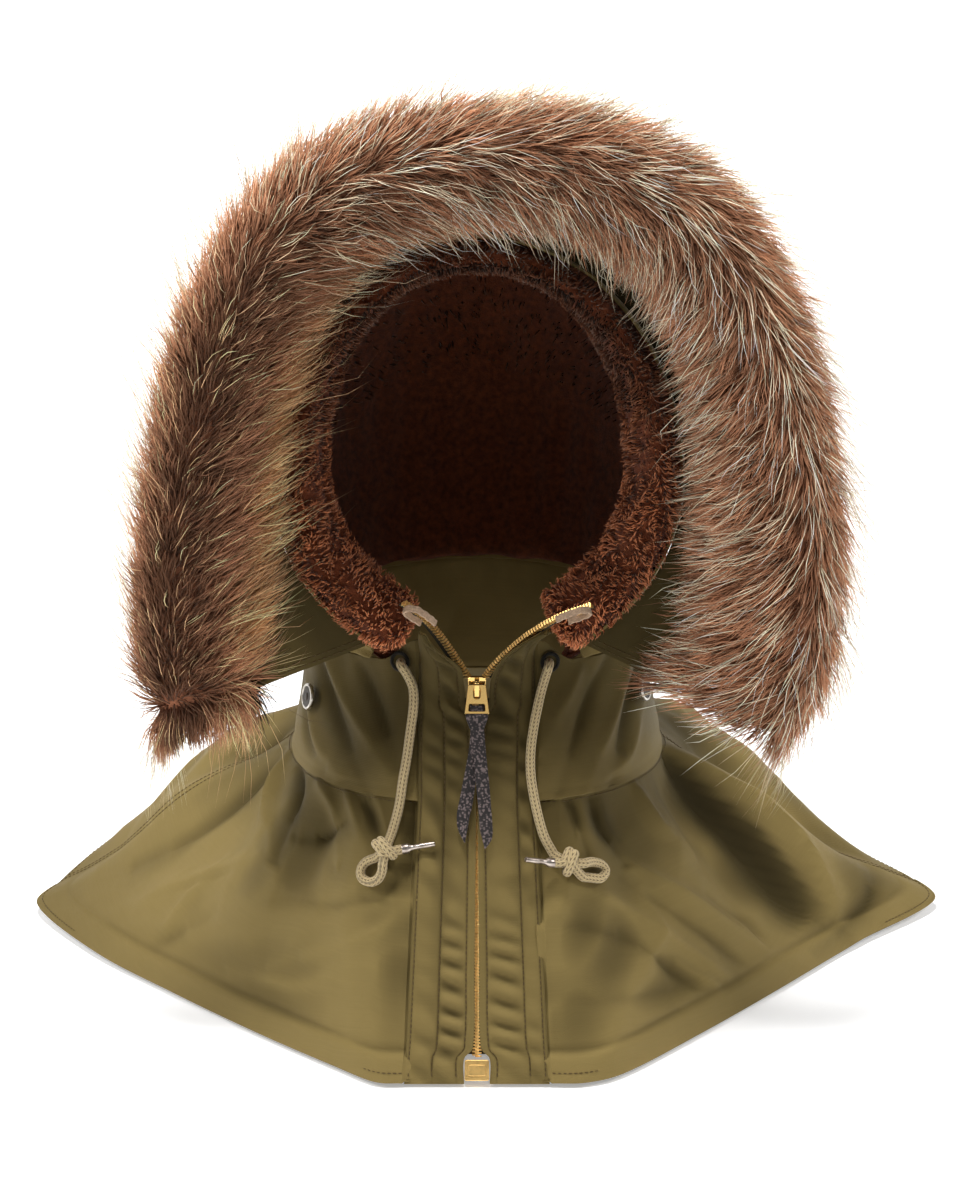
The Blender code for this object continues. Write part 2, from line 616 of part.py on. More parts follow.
def neck_point(turn, height):
    """A point of the neck's outer face; turn runs from the front over the viewer's right."""
    width, front, back = ring_at(height)
    angle = radians(turn)
    depth = front if cos(angle) > 0 else back
    return Vector((width * sin(angle), -depth * cos(angle), height))


def front_turn(height):
    """The turn at which the neck and cape meet the placket."""
    return degrees(asin(FRONT_EDGE / ring_at(height)[0]))


def make_neck_band():
    """The cloth round the neck, from the yoke seam up to the neckline."""
    grid = []
    for row in range(NECK_ROWS + 1):
        line = []
        for column in range(NECK_COLUMNS + 1):
            turn = NECK_FIRST + NECK_SPAN * column / NECK_COLUMNS
            height = read_table(YOKE_SEAM, turn)[0] + YOKE_GAP
            height += (read_table(NECK_TOP, turn)[0] - height) * row / NECK_ROWS
            edge = front_turn(height)
            line.append(neck_point(edge + (360 - 2 * edge) * column / NECK_COLUMNS, height))
        grid.append(line)
    normals = grid_normals(grid, NECK_INSIDE)
    wall_between("neck_band", grid, offset_grid(grid, normals, -CLOTH), OLIVE)


def cape_folds(turn, fall):
    """Height of the cape's folds at a place: ridges that fade in from the neck and out at the hem."""
    total = 0.0
    for fold in CAPE_FOLDS:
        centre = fold.turn_top + (fold.turn_end - fold.turn_top) * fall
        across = (turn - centre) / fold.spread
        if abs(across) > 2.5 or not fold.start < fall < fold.stop:
            continue
        along = sin(pi * (fall - fold.start) / (fold.stop - fold.start))
        total += fold.height * along * 2.718 ** (-across * across)
    return total


def cape_line(turn):
    """The cloth from the yoke seam down to the hem at this turn, and under it where it rolls."""
    x, y, z, belly, roll = read_table(CAPE_HEM, turn)
    top = neck_point(turn, read_table(YOKE_SEAM, turn)[0] - YOKE_GAP)
    if abs(top.x) < FRONT_EDGE or turn < NECK_FIRST + 1 or turn > NECK_FIRST + NECK_SPAN - 1:
        top.x = FRONT_EDGE if turn < 180 else -FRONT_EDGE
    hem = Vector((x, y, z))
    down = (hem - top).normalized()
    level = Vector((-down.x, -down.y, 0)).normalized()
    lift = Vector((0, 0, 1)) - down * down.z
    lift.normalize()
    line = []
    for fall in CAPE_FALLS:
        height = belly * sin(pi * fall) + cape_folds(turn, fall)
        line.append(top.lerp(hem, fall) + lift * height)
    if roll > 0.5:
        line[-1] = hem + Vector((0, 0, HEM_LIFT)) - level * HEM_SETBACK
    for step, (under, rise) in enumerate(((0.004, 0.0), (HEM_TURN, CLOTH))):
        rolled = hem + level * under * roll + Vector((0, 0, rise))
        flat = hem + down * HEM_STEP * (step + 1)
        line.append(flat.lerp(rolled, roll) if roll < 1 else rolled)
    return line


def cape_turn(column):
    """The turn of one line of the cape's cloth."""
    first, last = CAPE_HEM[0].turn, CAPE_HEM[-1].turn
    return first + (last - first) * column / CAPE_COLUMNS


def make_cape():
    """The shoulder cape, from the yoke seam down to the hem, open at the front placket."""
    lines = [cape_line(cape_turn(column)) for column in range(CAPE_COLUMNS + 1)]
    grid = [[line[row] for line in lines] for row in range(len(lines[0]))]
    normals = grid_normals(grid, CAPE_INSIDE)
    inner = offset_grid(grid, normals, -CLOTH)
    for row in (len(grid) - 2, len(grid) - 1):
        for column, point in enumerate(grid[row]):
            _x, _y, _z, _belly, roll = read_table(CAPE_HEM, cape_turn(column))
            if roll > 0.5:
                inner[row][column] = point + Vector((0, 0, CLOTH))
    wall_between("cape", grid, inner, OLIVE)


def placket_point(side, across, height):
    """A point of the placket's outer face; side is -1 on the viewer's left and 1 on the right."""
    edges = read_table(PLACKET_EDGES, height)
    inner, outer = (edges[0], edges[1]) if side < 0 else (edges[2], edges[3])
    x = inner + (outer - inner) * across
    yoke = YOKE_SEAM[0].height
    width, front, _back = ring_at(max(height, yoke))
    y = -front * cos(asin(x / width))
    if height < yoke:
        fall = (yoke - height) / (yoke - CAPE_HEM[0].z)
        y += (CAPE_HEM[0].y - y) * fall - CAPE_HEM[0].belly * 0.8 * sin(pi * fall)
    flare, held = read_table(PLACKET_FLARE, height)
    forward = PLACKET_LIFT + flare * (1 - held * across ** 3)
    return Vector((side * x, y - forward, height))


PLACKET_HEIGHTS = (0.002, 0.015, 0.020, 0.050, 0.080, 0.110, 0.139, 0.160, 0.181, 0.185,
                   0.192, 0.199, 0.206, 0.211, 0.216, 0.222, 0.229)


def make_placket(name, side):
    """One half of the front placket, from the hem up to the collar."""
    grid = [[placket_point(side, across, height) for across in (0.0, 0.15, 0.5, 0.85, 1.0)]
            for height in PLACKET_HEIGHTS]
    normals = grid_normals(grid, PLACKET_INSIDE)
    wall_between(name, grid, offset_grid(grid, normals, -CLOTH), OLIVE)


def tooth_section(point, cross, normal, reach, thick):
    """Six points round the tape and its bead or tooth, seen along the zip."""
    return [
        point + normal * thick, point - normal * thick,
        point + cross * reach - normal * thick, point + cross * TAPE_REACH - normal * TAPE_HALF,
        point + cross * TAPE_REACH + normal * TAPE_HALF, point + cross * reach + normal * thick,
    ]


def make_zip_side(name, points, side):
    """One opened side of the zip above the slider: tape edge and teeth in one body."""
    length = sum((Vector(b) - Vector(a)).length for a, b in zip(points, points[1:]))
    teeth = ceil(length / TOOTH_PITCH)
    path = read_path(points, 2 * teeth + 1)
    rings = []
    for index, point in enumerate(path):
        along = (path[min(index + 1, len(path) - 1)] - path[max(index - 1, 0)]).normalized()
        cross = Vector((side, 0.60, -0.25))
        cross = (cross - along * cross.dot(along)).normalized()
        normal = along.cross(cross).normalized()
        tooth = index % 2 == 1
        rings.append(tooth_section(point if tooth else point + cross * TOOTH_SETBACK, cross, normal,
                                   BEAD_REACH, TOOTH_HALF if tooth else TAPE_HALF))
    mesh = bmesh.new()
    loft_rings(mesh, rings)
    finish_mesh(name, mesh, BRASS)


def front_y(height):
    """Depth of the placket's outer face beside the zip at this height."""
    return placket_point(1, 0.0, height).y


def make_zip_chain():
    """The closed zip behind the placket's slit, from the slider's throat down to its box."""
    bottom = BOX_TOP + 0.0006
    rings = []
    for index in range(2 * CHAIN_TEETH + 1):
        height = CHAIN_TOP + (bottom - CHAIN_TOP) * index / (2 * CHAIN_TEETH)
        y = front_y(height) + CLOTH + GAP + 0.0002
        half, thick = CHAIN_TOOTH if index % 2 else CHAIN_SPACE
        rings.append([Vector((-half, y, height)), Vector((half, y, height)),
                      Vector((CHAIN_HALF, y + thick, height)), Vector((-CHAIN_HALF, y + thick, height))])
    mesh = bmesh.new()
    loft_rings(mesh, rings)
    finish_mesh("zip_chain", mesh, BRASS)


def slab(mesh, outline, origin, front, back, lean=0.0):
    """A flat plate: an outline of (across, down) points between two depths, leaned out below."""
    turn = Matrix.Rotation(radians(-lean), 3, "X")
    loops = [[mesh.verts.new(turn @ Vector((across, depth, -down)) + origin)
              for across, down in outline] for depth in (front, back)]
    count = len(outline)
    mesh.faces.new(loops[0])
    mesh.faces.new(list(reversed(loops[1])))
    for k in range(count):
        after = (k + 1) % count
        mesh.faces.new((loops[0][k], loops[1][k], loops[1][after], loops[0][after]))


def block(mesh, half, top, bottom, origin, front, back, lean=0.0):
    """A plain rectangular plate, made as slab makes one."""
    slab(mesh, [(-half, top), (half, top), (half, bottom), (-half, bottom)], origin, front, back, lean)


def combine(piece, helper, operation):
    """Join a helper solid to a piece, or cut it out, with an exact Boolean."""
    helper.hide_render = True
    helper.display_type = "WIRE"
    helper.name = piece.name + "_" + operation.lower() + "_helper"
    change = piece.modifiers.new(operation.title(), "BOOLEAN")
    change.operation = operation
    change.object = helper
    change.solver = "EXACT"


# The slider: its outline as (across, up) points, its two faces, and the bridge as (depth, up)
SLIDER_OUTLINE = [(-0.0052, -0.0046), (-0.0034, -0.0060), (0.0034, -0.0060), (0.0052, -0.0046),
                  (0.0040, 0.0062), (-0.0040, 0.0062)]
SLIDER_FACES = (-0.0004, 0.0016)
BRIDGE_PROFILE = [(0.0004, 0.0052), (-0.0040, 0.0052), (-0.0062, 0.0034), (-0.0062, -0.0036),
                  (-0.0044, -0.0050), (0.0004, -0.0050), (0.0004, -0.0034), (-0.0036, -0.0034),
                  (-0.0048, -0.0026), (-0.0048, 0.0026), (-0.0036, 0.0036), (0.0004, 0.0036)]
BRIDGE_HALF = 0.0011


def make_slider():
    """The slider: a waisted body and the raised bridge that the puller hangs on."""
    mesh = bmesh.new()
    slab(mesh, SLIDER_OUTLINE, SLIDER_AT, *SLIDER_FACES)
    piece = finish_mesh("zip_slider", mesh, BRASS)
    bridge = bmesh.new()
    extrude_side(bridge, BRIDGE_PROFILE, BRIDGE_HALF, SLIDER_AT)
    combine(piece, finish_mesh("bridge", bridge, BRASS), "UNION")


def extrude_side(mesh, profile, half, origin):
    """A solid with one profile of (depth, up) points, as wide as twice half across X."""
    loops = [[mesh.verts.new(origin + Vector((x, depth, up))) for depth, up in profile]
             for x in (-half, half)]
    count = len(profile)
    mesh.faces.new(loops[0])
    mesh.faces.new(list(reversed(loops[1])))
    for k in range(count):
        after = (k + 1) % count
        mesh.faces.new((loops[0][k], loops[1][k], loops[1][after], loops[0][after]))


# The puller plate as (across, down) points from its pin, and its slot and window
PULLER_OUTLINE = [(-0.0050, -0.0008), (0.0050, -0.0008), (0.0054, 0.0030), (0.0069, 0.0154),
                  (-0.0069, 0.0154), (-0.0054, 0.0030)]
PULLER_HALF = 0.0008
PULLER_CUT = 0.0030
Window = namedtuple("Window", "half top bottom")
PULLER_WINDOWS = [Window(0.0018, 0.0008, 0.0070), Window(0.0044, 0.0100, 0.0138)]


def make_puller():
    """The puller plate: a slot whose top bar hangs in the bridge, and a window for the leather."""
    mesh = bmesh.new()
    slab(mesh, PULLER_OUTLINE, HINGE, -PULLER_HALF, PULLER_HALF, PULLER_LEAN)
    piece = finish_mesh("zip_puller", mesh, BRASS)
    for window in PULLER_WINDOWS:
        cutter = bmesh.new()
        block(cutter, *window, HINGE, -PULLER_CUT, PULLER_CUT, PULLER_LEAN)
        combine(piece, finish_mesh("window", cutter, BRASS), "DIFFERENCE")


# The leather pull: the fold in the window, the keeper below it, its two tails and the eye
FOLD = Window(0.0040, 0.0112, 0.0190)
FOLD_HALF = 0.0024
KEEPER_OUTLINE = [(-0.0066, 0.0158), (0.0066, 0.0158), (0.0037, 0.0235), (-0.0037, 0.0235)]
KEEPER_FACES = (-0.0029, 0.0021)
EYE = Window(0.0200, 0.0134, 0.0158)
EYE_HALF = 0.0012
Strap = namedtuple("Strap", "front back outline")
LEATHER_TAILS = [
    Strap(-0.0022, -0.0007, [(-0.0035, 0.0220), (0.0037, 0.0220), (0.0086, 0.0790), (0.0082, 0.0840),
                             (0.0044, 0.0890), (0.0020, 0.0815)]),
    Strap(-0.0004, 0.0011, [(-0.0035, 0.0220), (0.0008, 0.0220), (0.0006, 0.0344), (-0.0013, 0.0580),
                            (-0.0065, 0.0856), (-0.0103, 0.0785), (-0.0111, 0.0717), (-0.0081, 0.0553),
                            (-0.0044, 0.0350)]),
]


def make_leather_pull():
    """The leather pull: a keeper folded round the puller's lower bar, and its two tails."""
    mesh = bmesh.new()
    block(mesh, *FOLD, HINGE, -FOLD_HALF, FOLD_HALF, PULLER_LEAN)
    piece = finish_mesh("leather_pull", mesh, LEATHER_BLACK)
    keeper = bmesh.new()
    slab(keeper, KEEPER_OUTLINE, HINGE, *KEEPER_FACES, PULLER_LEAN)
    combine(piece, finish_mesh("keeper", keeper, LEATHER_BLACK), "UNION")
    for strap in LEATHER_TAILS:
        tail = bmesh.new()
        slab(tail, strap.outline, HINGE, strap.front, strap.back, PULLER_LEAN)
        combine(piece, finish_mesh("tail", tail, LEATHER_BLACK), "UNION")
    eye = bmesh.new()
    block(eye, *EYE, HINGE, -EYE_HALF, EYE_HALF, PULLER_LEAN)
    combine(piece, finish_mesh("eye", eye, LEATHER_BLACK), "DIFFERENCE")


BOX_PROUD = 0.0012
BOX_DEPTH = 0.0040


def make_zip_box():
    """The retaining box at the zip's lower end."""
    mesh = bmesh.new()
    slope = (front_y(BOX_TOP) - front_y(BOX_BOTTOM)) / (BOX_TOP - BOX_BOTTOM)
    front_low = front_y(BOX_BOTTOM) - BOX_PROUD
    front_high = front_low + slope * (BOX_TOP - BOX_BOTTOM)
    profile = [(front_low, BOX_BOTTOM), (front_low + BOX_DEPTH, BOX_BOTTOM),
               (front_high + BOX_DEPTH, BOX_TOP), (front_high, BOX_TOP)]
    extrude_side(mesh, profile, BOX_HALF, Vector())
    finish_mesh("zip_box", mesh, BRASS)


def zip_end_frame(points, side):
    """The upper end of a zip side: its place, and its directions along, across and forward."""
    end, before = Vector(points[-1]), Vector(points[-2])
    along = (end - before).normalized()
    cross = Vector((side, 0.60, -0.25))
    cross = (cross - along * cross.dot(along)).normalized()
    forward = along.cross(cross).normalized()
    if forward.y > 0:
        forward.negate()
    return end, along, cross, forward


# The suede tab: its fold as (along, across) points, and half its thickness and width
TAB_ROUTE = [(-TAB_REACH, -0.0042), (-0.0060, -0.0050), (0.0010, -0.0050), (0.0048, -0.0030),
             (0.0056, 0.0006), (0.0048, 0.0036), (0.0010, 0.0052), (-0.0060, 0.0052),
             (-TAB_REACH * 0.75, 0.0044)]
TAB_HALF = 0.0006
TAB_WIDE = 0.0018
TAB_ASIDE = 0.0016
TAB_AHEAD = 0.0038


def make_zip_tab(name, points, side):
    """The suede strip folded round the upper end of the zip, one leg on each side of the teeth."""
    end, along, cross, forward = zip_end_frame(points, side)
    centre = end - along * TAB_SETBACK - cross * TAB_ASIDE + forward * TAB_AHEAD
    wide = forward * TAB_WIDE
    outer, inner = [], []
    for index, (ahead, aside) in enumerate(TAB_ROUTE):
        low, high = TAB_ROUTE[max(index - 1, 0)], TAB_ROUTE[min(index + 1, len(TAB_ROUTE) - 1)]
        way = (along * (high[0] - low[0]) + cross * (high[1] - low[1])).normalized()
        out = way.cross(forward).normalized()
        point = centre + along * ahead + cross * aside
        outer.append([point + out * TAB_HALF + wide, point + out * TAB_HALF - wide])
        inner.append([point - out * TAB_HALF + wide, point - out * TAB_HALF - wide])
    wall_between(name, outer, inner, SUEDE)


# The top stop: its two ends along the zip, and its section as (across, forward) points
STOP_ENDS = (-0.0092, -0.0052)
STOP_SECTION = [(-0.0006, 0.0018), (0.0022, 0.0018), (0.0022, 0.0030), (-0.0006, 0.0030)]


def make_top_stop():
    """The small brass stop at the right side's upper end."""
    end, along, cross, forward = zip_end_frame(ZIP_RIGHT, 1)
    mesh = bmesh.new()
    rings = []
    for ahead in STOP_ENDS:
        place = end + along * ahead
        rings.append([place + cross * aside + forward * proud for aside, proud in STOP_SECTION])
    loft_rings(mesh, rings)
    finish_mesh("zip_stop", mesh, BRASS)


def turned_part(name, profile, place, axis, sides, look):
    """A turned solid: (radius, along) points about an axis, closed flat at both ends."""
    base = axis.orthogonal().normalized()
    other = axis.cross(base).normalized()
    mesh = bmesh.new()
    loops = []
    for radius, along in profile:
        loops.append([mesh.verts.new(place + axis * along + base * radius * cos(2 * pi * k / sides)
                                     + other * radius * sin(2 * pi * k / sides))
                      for k in range(sides)])
    for low, high in zip(loops, loops[1:]):
        for k in range(sides):
            after = (k + 1) % sides
            mesh.faces.new((low[k], low[after], high[after], high[k]))
    mesh.faces.new(loops[0])
    mesh.faces.new(loops[-1])
    return finish_mesh(name, mesh, look)


def neck_frame(turn, height):
    """A point of the neck's outer face and the direction out of it."""
    point = neck_point(turn, height)
    around = neck_point(turn + 1, height) - neck_point(turn - 1, height)
    up = neck_point(turn, height + 0.002) - neck_point(turn, height - 0.002)
    out = around.cross(up).normalized()
    return point, out if out.y < 0 else -out


# The button, knot and aglet as (radius, along) points
BUTTON_PROFILE = [(0.0022, 0.0006), (0.0022, 0.0016), (0.0069, 0.0018), (BUTTON_RADIUS, 0.0024),
                  (BUTTON_RADIUS, 0.0036), (0.0066, 0.0044)]
KNOT_PROFILE = [(0.0030, -0.0048), (0.0052, -0.0036), (KNOT_RADIUS, 0.0), (0.0052, 0.0036),
                (0.0030, 0.0048)]
AGLET_PROFILE = [(0.0024, 0.0), (0.0024, 0.0045), (AGLET_RADIUS, 0.0062),
                 (AGLET_RADIUS, 0.0062 + AGLET_LENGTH)]
EYELET_SECTION = [(0.0043, 0.0017), (0.0056, 0.0017), (0.0056, 0.0025), (0.0043, 0.0025)]
EYELET_SIDES = 12


def make_button(name, turn, height):
    """A neck button on its shank, its flat face turned away from the neck."""
    point, out = neck_frame(turn, height)
    turned_part(name, BUTTON_PROFILE, point, out, 16, STEEL)


def make_eyelet(name, start):
    """The worked eyelet that a drawcord comes out of: a ring on the neck's face."""
    turn = degrees(asin(start.x / ring_at(start.z)[0]))
    point, out = neck_frame(turn, start.z)
    base = out.cross(Vector((0, 0, 1))).normalized()
    other = out.cross(base).normalized()
    mesh = bmesh.new()
    loops = []
    for k in range(EYELET_SIDES):
        angle = 2 * pi * k / EYELET_SIDES
        way = base * cos(angle) + other * sin(angle)
        loops.append([mesh.verts.new(point + way * radius + out * rise)
                      for radius, rise in EYELET_SECTION])
    for k in range(EYELET_SIDES):
        low, high = loops[k], loops[(k + 1) % EYELET_SIDES]
        for j in range(4):
            mesh.faces.new((low[j], low[(j + 1) % 4], high[(j + 1) % 4], high[j]))
    finish_mesh(name, mesh, THREAD_DARK)


def make_cord(name, points, count):
    """A round cord through the given places, as a tube with closed ends."""
    curve = bpy.data.curves.new(name, "CURVE")
    curve.dimensions = "3D"
    curve.bevel_depth = CORD_DIAMETER / 2
    curve.bevel_resolution = 2
    curve.render_resolution_u = 0
    curve.use_fill_caps = True
    spline = curve.splines.new("POLY")
    path = read_path(points, count)
    spline.points.add(count - 1)
    for place, point in zip(path, spline.points):
        point.co = (place.x, place.y, place.z - SEAT_HEIGHT, 1.0)
    piece = bpy.data.objects.new(name, curve)
    bpy.context.collection.objects.link(piece)
    curve.materials.append(make_material(name, CORD_KHAKI))


def make_knot(name, knot):
    """The tied knot, as the lump that its turns make."""
    tilt = radians(knot.turn)
    axis = Vector((sin(tilt), -0.25, cos(tilt))).normalized()
    turned_part(name, KNOT_PROFILE, Vector((knot.x, knot.y, knot.z)), axis, 10, CORD_KHAKI)


def make_aglet(name, tail):
    """The metal tag on the cord's end, with the last of the cord in it."""
    way = (tail[-1] - tail[0]).normalized()
    turned_part(name, AGLET_PROFILE, tail[0], way, 10, STEEL)


def make_drawcords():
    """Both drawcords, each with its eyelet, knot, loop and tag."""
    sides = (
        ("left", CORD_LEFT, LOOP_LEFT, TAIL_LEFT, KNOT_LEFT),
        ("right", CORD_RIGHT, LOOP_RIGHT, TAIL_RIGHT, KNOT_RIGHT),
    )
    for side, run, loop, tail, knot in sides:
        make_eyelet("eyelet_" + side, Vector(run[0]))
        make_cord("drawcord_" + side, run, 20)
        make_cord("cord_loop_" + side, loop, 14)
        make_knot("cord_knot_" + side, knot)
        make_aglet("aglet_" + side, [Vector(place) for place in tail])


def main():
    """Make every piece of the hood."""
    clear_scene()
    make_hood_shell()
    make_pile_lining()
    make_brim()
    make_pelt_backing()
    make_fur_ruff()
    make_neck_band()
    make_cape()
    make_placket("placket_left", -1)
    make_placket("placket_right", 1)
    make_zip_side("zip_left", ZIP_LEFT, -1)
    make_zip_side("zip_right", ZIP_RIGHT, 1)
    make_zip_chain()
    make_slider()
    make_puller()
    make_leather_pull()
    make_zip_box()
    make_zip_tab("zip_tab_left", ZIP_LEFT, -1)
    make_zip_tab("zip_tab_right", ZIP_RIGHT, 1)
    make_top_stop()
    make_button("neck_button_left", 360 - BUTTON_TURN, BUTTON_LEFT_HEIGHT)
    make_button("neck_button_right", BUTTON_TURN, BUTTON_RIGHT_HEIGHT)
    make_drawcords()


main()
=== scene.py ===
"""Looks of a detachable parka hood with a shoulder cape, a fur ruff and a pile lining.

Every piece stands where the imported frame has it. The tables give heights above the surface
that the hem lies on, and each finished mesh is lowered by SEAT_HEIGHT, as the frame's are.
"""
from math import cos, pi, radians, sin

import bmesh
import bpy
import numpy as np
from bpy.props import FloatProperty, FloatVectorProperty, IntProperty, PointerProperty
from mathutils import Matrix, Vector


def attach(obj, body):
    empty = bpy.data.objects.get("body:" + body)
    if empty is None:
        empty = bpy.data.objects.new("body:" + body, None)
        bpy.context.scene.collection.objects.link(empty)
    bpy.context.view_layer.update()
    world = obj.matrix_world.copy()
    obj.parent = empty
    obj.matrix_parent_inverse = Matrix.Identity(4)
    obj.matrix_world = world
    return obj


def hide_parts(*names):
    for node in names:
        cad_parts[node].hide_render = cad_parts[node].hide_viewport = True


bl_info = {
    "name": "Parka Hood Looks",
    "version": (1, 0, 0),
    "blender": (4, 5, 0),
    "location": "3D View > Sidebar > Hood",
    "description": "Cloth, fur, pile, cords and zip of a detachable parka hood",
    "category": "Object",
}

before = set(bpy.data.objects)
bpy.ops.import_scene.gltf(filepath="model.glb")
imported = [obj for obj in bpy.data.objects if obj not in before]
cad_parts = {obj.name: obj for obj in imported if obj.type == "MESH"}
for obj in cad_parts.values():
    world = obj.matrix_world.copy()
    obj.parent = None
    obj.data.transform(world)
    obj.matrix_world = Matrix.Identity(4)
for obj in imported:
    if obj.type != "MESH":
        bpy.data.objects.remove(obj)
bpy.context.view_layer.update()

SEAT_HEIGHT = 0.450
HAIR_TOP = 0.5620
CLOTH = 0.0015
GAP = 0.0004
PILE = 0.0115
TURN_FIRST = 31.0
TURN_SPAN = 298.0
PIVOT_Y = -0.085
PIVOT_Z = 0.205
END_HALF = 0.058
END_LIFT = 0.012
BRIM_THICKNESS = 0.0026
PELT_THICKNESS = 0.0014
PELT_REACH = 0.064
FRONT_EDGE = 0.0335
PLACKET_LIFT = 0.0010
HEM_TURN = 0.020
BRIM_TILT = 85.2

# Arches of the hood: tilt, reach, half width, belly
HOOD_ARCHES = [
    (85.2, 0.238, 0.112, 0.105), (76.0, 0.2600, 0.1150, 0.110), (64.0, 0.2790, 0.1165, 0.116),
    (50.0, 0.2790, 0.1160, 0.118), (36.0, 0.2560, 0.1130, 0.113), (20.0, 0.2200, 0.1070, 0.101),
    (8.0, 0.1950, 0.1020, 0.090), (0.0, 0.1820, 0.1000, 0.085),
]
# Neck rings: height, half width, depth to the front, depth to the back
NECK_RINGS = [
    (0.120, 0.1065, 0.1340, 0.1030), (0.139, 0.1045, 0.1250, 0.1000), (0.155, 0.1020, 0.1140, 0.0975),
    (0.180, 0.0995, 0.0990, 0.0960), (0.205, 0.1000, 0.0896, 0.0970), (0.232, 0.1000, 0.0900, 0.0970),
]
# Seam between the neck and the cape, and the neck cloth's upper edge: turn, height
YOKE_SEAM = [
    (0, 0.139), (24, 0.139), (50, 0.1345), (90, 0.127), (135, 0.130), (180, 0.134),
    (225, 0.130), (270, 0.127), (310, 0.1345), (336, 0.139), (360, 0.139),
]
NECK_TOP = [
    (0, 0.2190), (24, 0.2190), (36, 0.2046), (180, 0.2046), (324, 0.2046), (336, 0.2190), (360, 0.2190),
]
# Cape hem: turn, x, y, height, belly, how far it rolls under
CAPE_HEM = [
    (23.4, 0.0405, -0.1900, 0.0020, 0.004, 1.0), (31.0, 0.0600, -0.1890, 0.0020, 0.004, 1.0),
    (39.0, 0.0810, -0.1770, 0.0020, 0.003, 1.0), (52.0, 0.1242, -0.1288, 0.0020, 0.001, 1.0),
    (66.0, 0.1730, -0.0713, 0.0020, -0.003, 1.0), (79.0, 0.2243, -0.0108, 0.0030, -0.007, 1.0),
    (90.0, 0.2730, 0.0400, 0.0060, -0.010, 0.4), (98.0, 0.2606, 0.0620, 0.0120, -0.005, 0.0),
    (106.0, 0.2380, 0.0690, 0.0210, 0.004, 0.0), (114.0, 0.2130, 0.0760, 0.0340, 0.012, 0.0),
    (123.0, 0.1870, 0.0860, 0.0520, 0.014, 0.0), (136.0, 0.1480, 0.1180, 0.0580, 0.016, 0.0),
    (156.0, 0.0800, 0.1560, 0.0450, 0.018, 0.0), (180.0, 0.0000, 0.1700, 0.0400, 0.018, 0.0),
    (204.0, -0.0800, 0.1560, 0.0450, 0.018, 0.0), (224.0, -0.1450, 0.1180, 0.0590, 0.016, 0.0),
    (237.0, -0.1852, 0.0810, 0.0590, 0.014, 0.0), (246.0, -0.2100, 0.0740, 0.0390, 0.012, 0.0),
    (254.0, -0.2330, 0.0660, 0.0250, 0.004, 0.0), (262.0, -0.2500, 0.0540, 0.0130, -0.005, 0.0),
    (270.0, -0.2620, 0.0340, 0.0060, -0.010, 0.4), (281.0, -0.2220, -0.0260, 0.0030, -0.007, 1.0),
    (294.0, -0.1722, -0.0780, 0.0020, -0.003, 1.0), (308.0, -0.1210, -0.1290, 0.0020, 0.001, 1.0),
    (321.0, -0.0780, -0.1690, 0.0020, 0.003, 1.0), (329.0, -0.0560, -0.1880, 0.0020, 0.004, 1.0),
    (336.6, -0.0405, -0.1900, 0.0020, 0.004, 1.0),
]
# Folds of the cape: turn at the neck, turn at the hem, spread, height, start, stop
CAPE_FALLS = np.concatenate([np.linspace(0, 0.87, 56), np.linspace(0.88, 1.0, 14)])
CAPE_TURNS = np.concatenate([np.linspace(CAPE_HEM[0][0], 98, 116), np.linspace(100, 258, 48),
                             np.linspace(260, CAPE_HEM[-1][0], 112)])
CAPE_FOLDS = [
    (88, 84, 6.5, 0.0120, 0.02, 0.90), (73, 70, 6.0, -0.0070, 0.05, 0.70), (62, 60, 5.0, 0.0035, 0.00, 0.95),
    (45, 48, 5.0, -0.0030, 0.00, 0.60), (104, 99, 5.0, -0.0070, 0.15, 0.85), (267, 256, 6.0, 0.0090, 0.00, 0.75),
    (283, 276, 6.0, -0.0060, 0.00, 0.65), (296, 300, 5.0, 0.0035, 0.00, 0.90), (312, 309, 4.5, -0.0035, 0.00, 0.45),
    (322, 318, 4.0, 0.0030, 0.05, 0.50), (150, 152, 9.0, 0.0060, 0.05, 1.00), (180, 180, 9.0, -0.0050, 0.05, 1.00),
    (210, 208, 9.0, 0.0060, 0.05, 1.00),
]
# Rim of the brim: turn, x, y, height
BRIM_RIM = [
    (31, -0.1680, -0.1000, 0.1770), (45, -0.1765, -0.1020, 0.2100), (60, -0.1775, -0.1050, 0.2500),
    (75, -0.1740, -0.1080, 0.2960), (90, -0.1680, -0.1100, 0.3360), (105, -0.1590, -0.1120, 0.3790),
    (120, -0.1440, -0.1140, 0.4210), (135, -0.1215, -0.1160, 0.4620), (150, -0.0900, -0.1180, 0.4940),
    (165, -0.0480, -0.1190, 0.5140), (180, 0.0010, -0.1200, 0.5210), (195, 0.0490, -0.1190, 0.5190),
    (210, 0.0920, -0.1180, 0.5040), (225, 0.1265, -0.1160, 0.4790), (240, 0.1530, -0.1140, 0.4420),
    (255, 0.1715, -0.1120, 0.3960), (270, 0.1835, -0.1100, 0.3470), (285, 0.1900, -0.1080, 0.2990),
    (300, 0.1905, -0.1050, 0.2500), (315, 0.1830, -0.1020, 0.2030), (329, 0.1640, -0.1000, 0.1700),
]
# Section of the ruff from its outer edge to its inner one: inwards from the rim, up from the brim
FUR_SECTION = [
    (-0.0075, -0.0020), (-0.0130, 0.0050), (-0.0120, 0.0160), (-0.0020, 0.0290), (0.0150, 0.0370),
    (0.0350, 0.0380), (0.0540, 0.0320), (0.0680, 0.0200), (0.0740, 0.0090),
]
PELT_WIDTHS = [
    (31, 0.66), (45, 0.84), (62, 0.92), (90, 0.92), (120, 1.0), (180, 1.0), (300, 1.0), (329, 0.98),
]
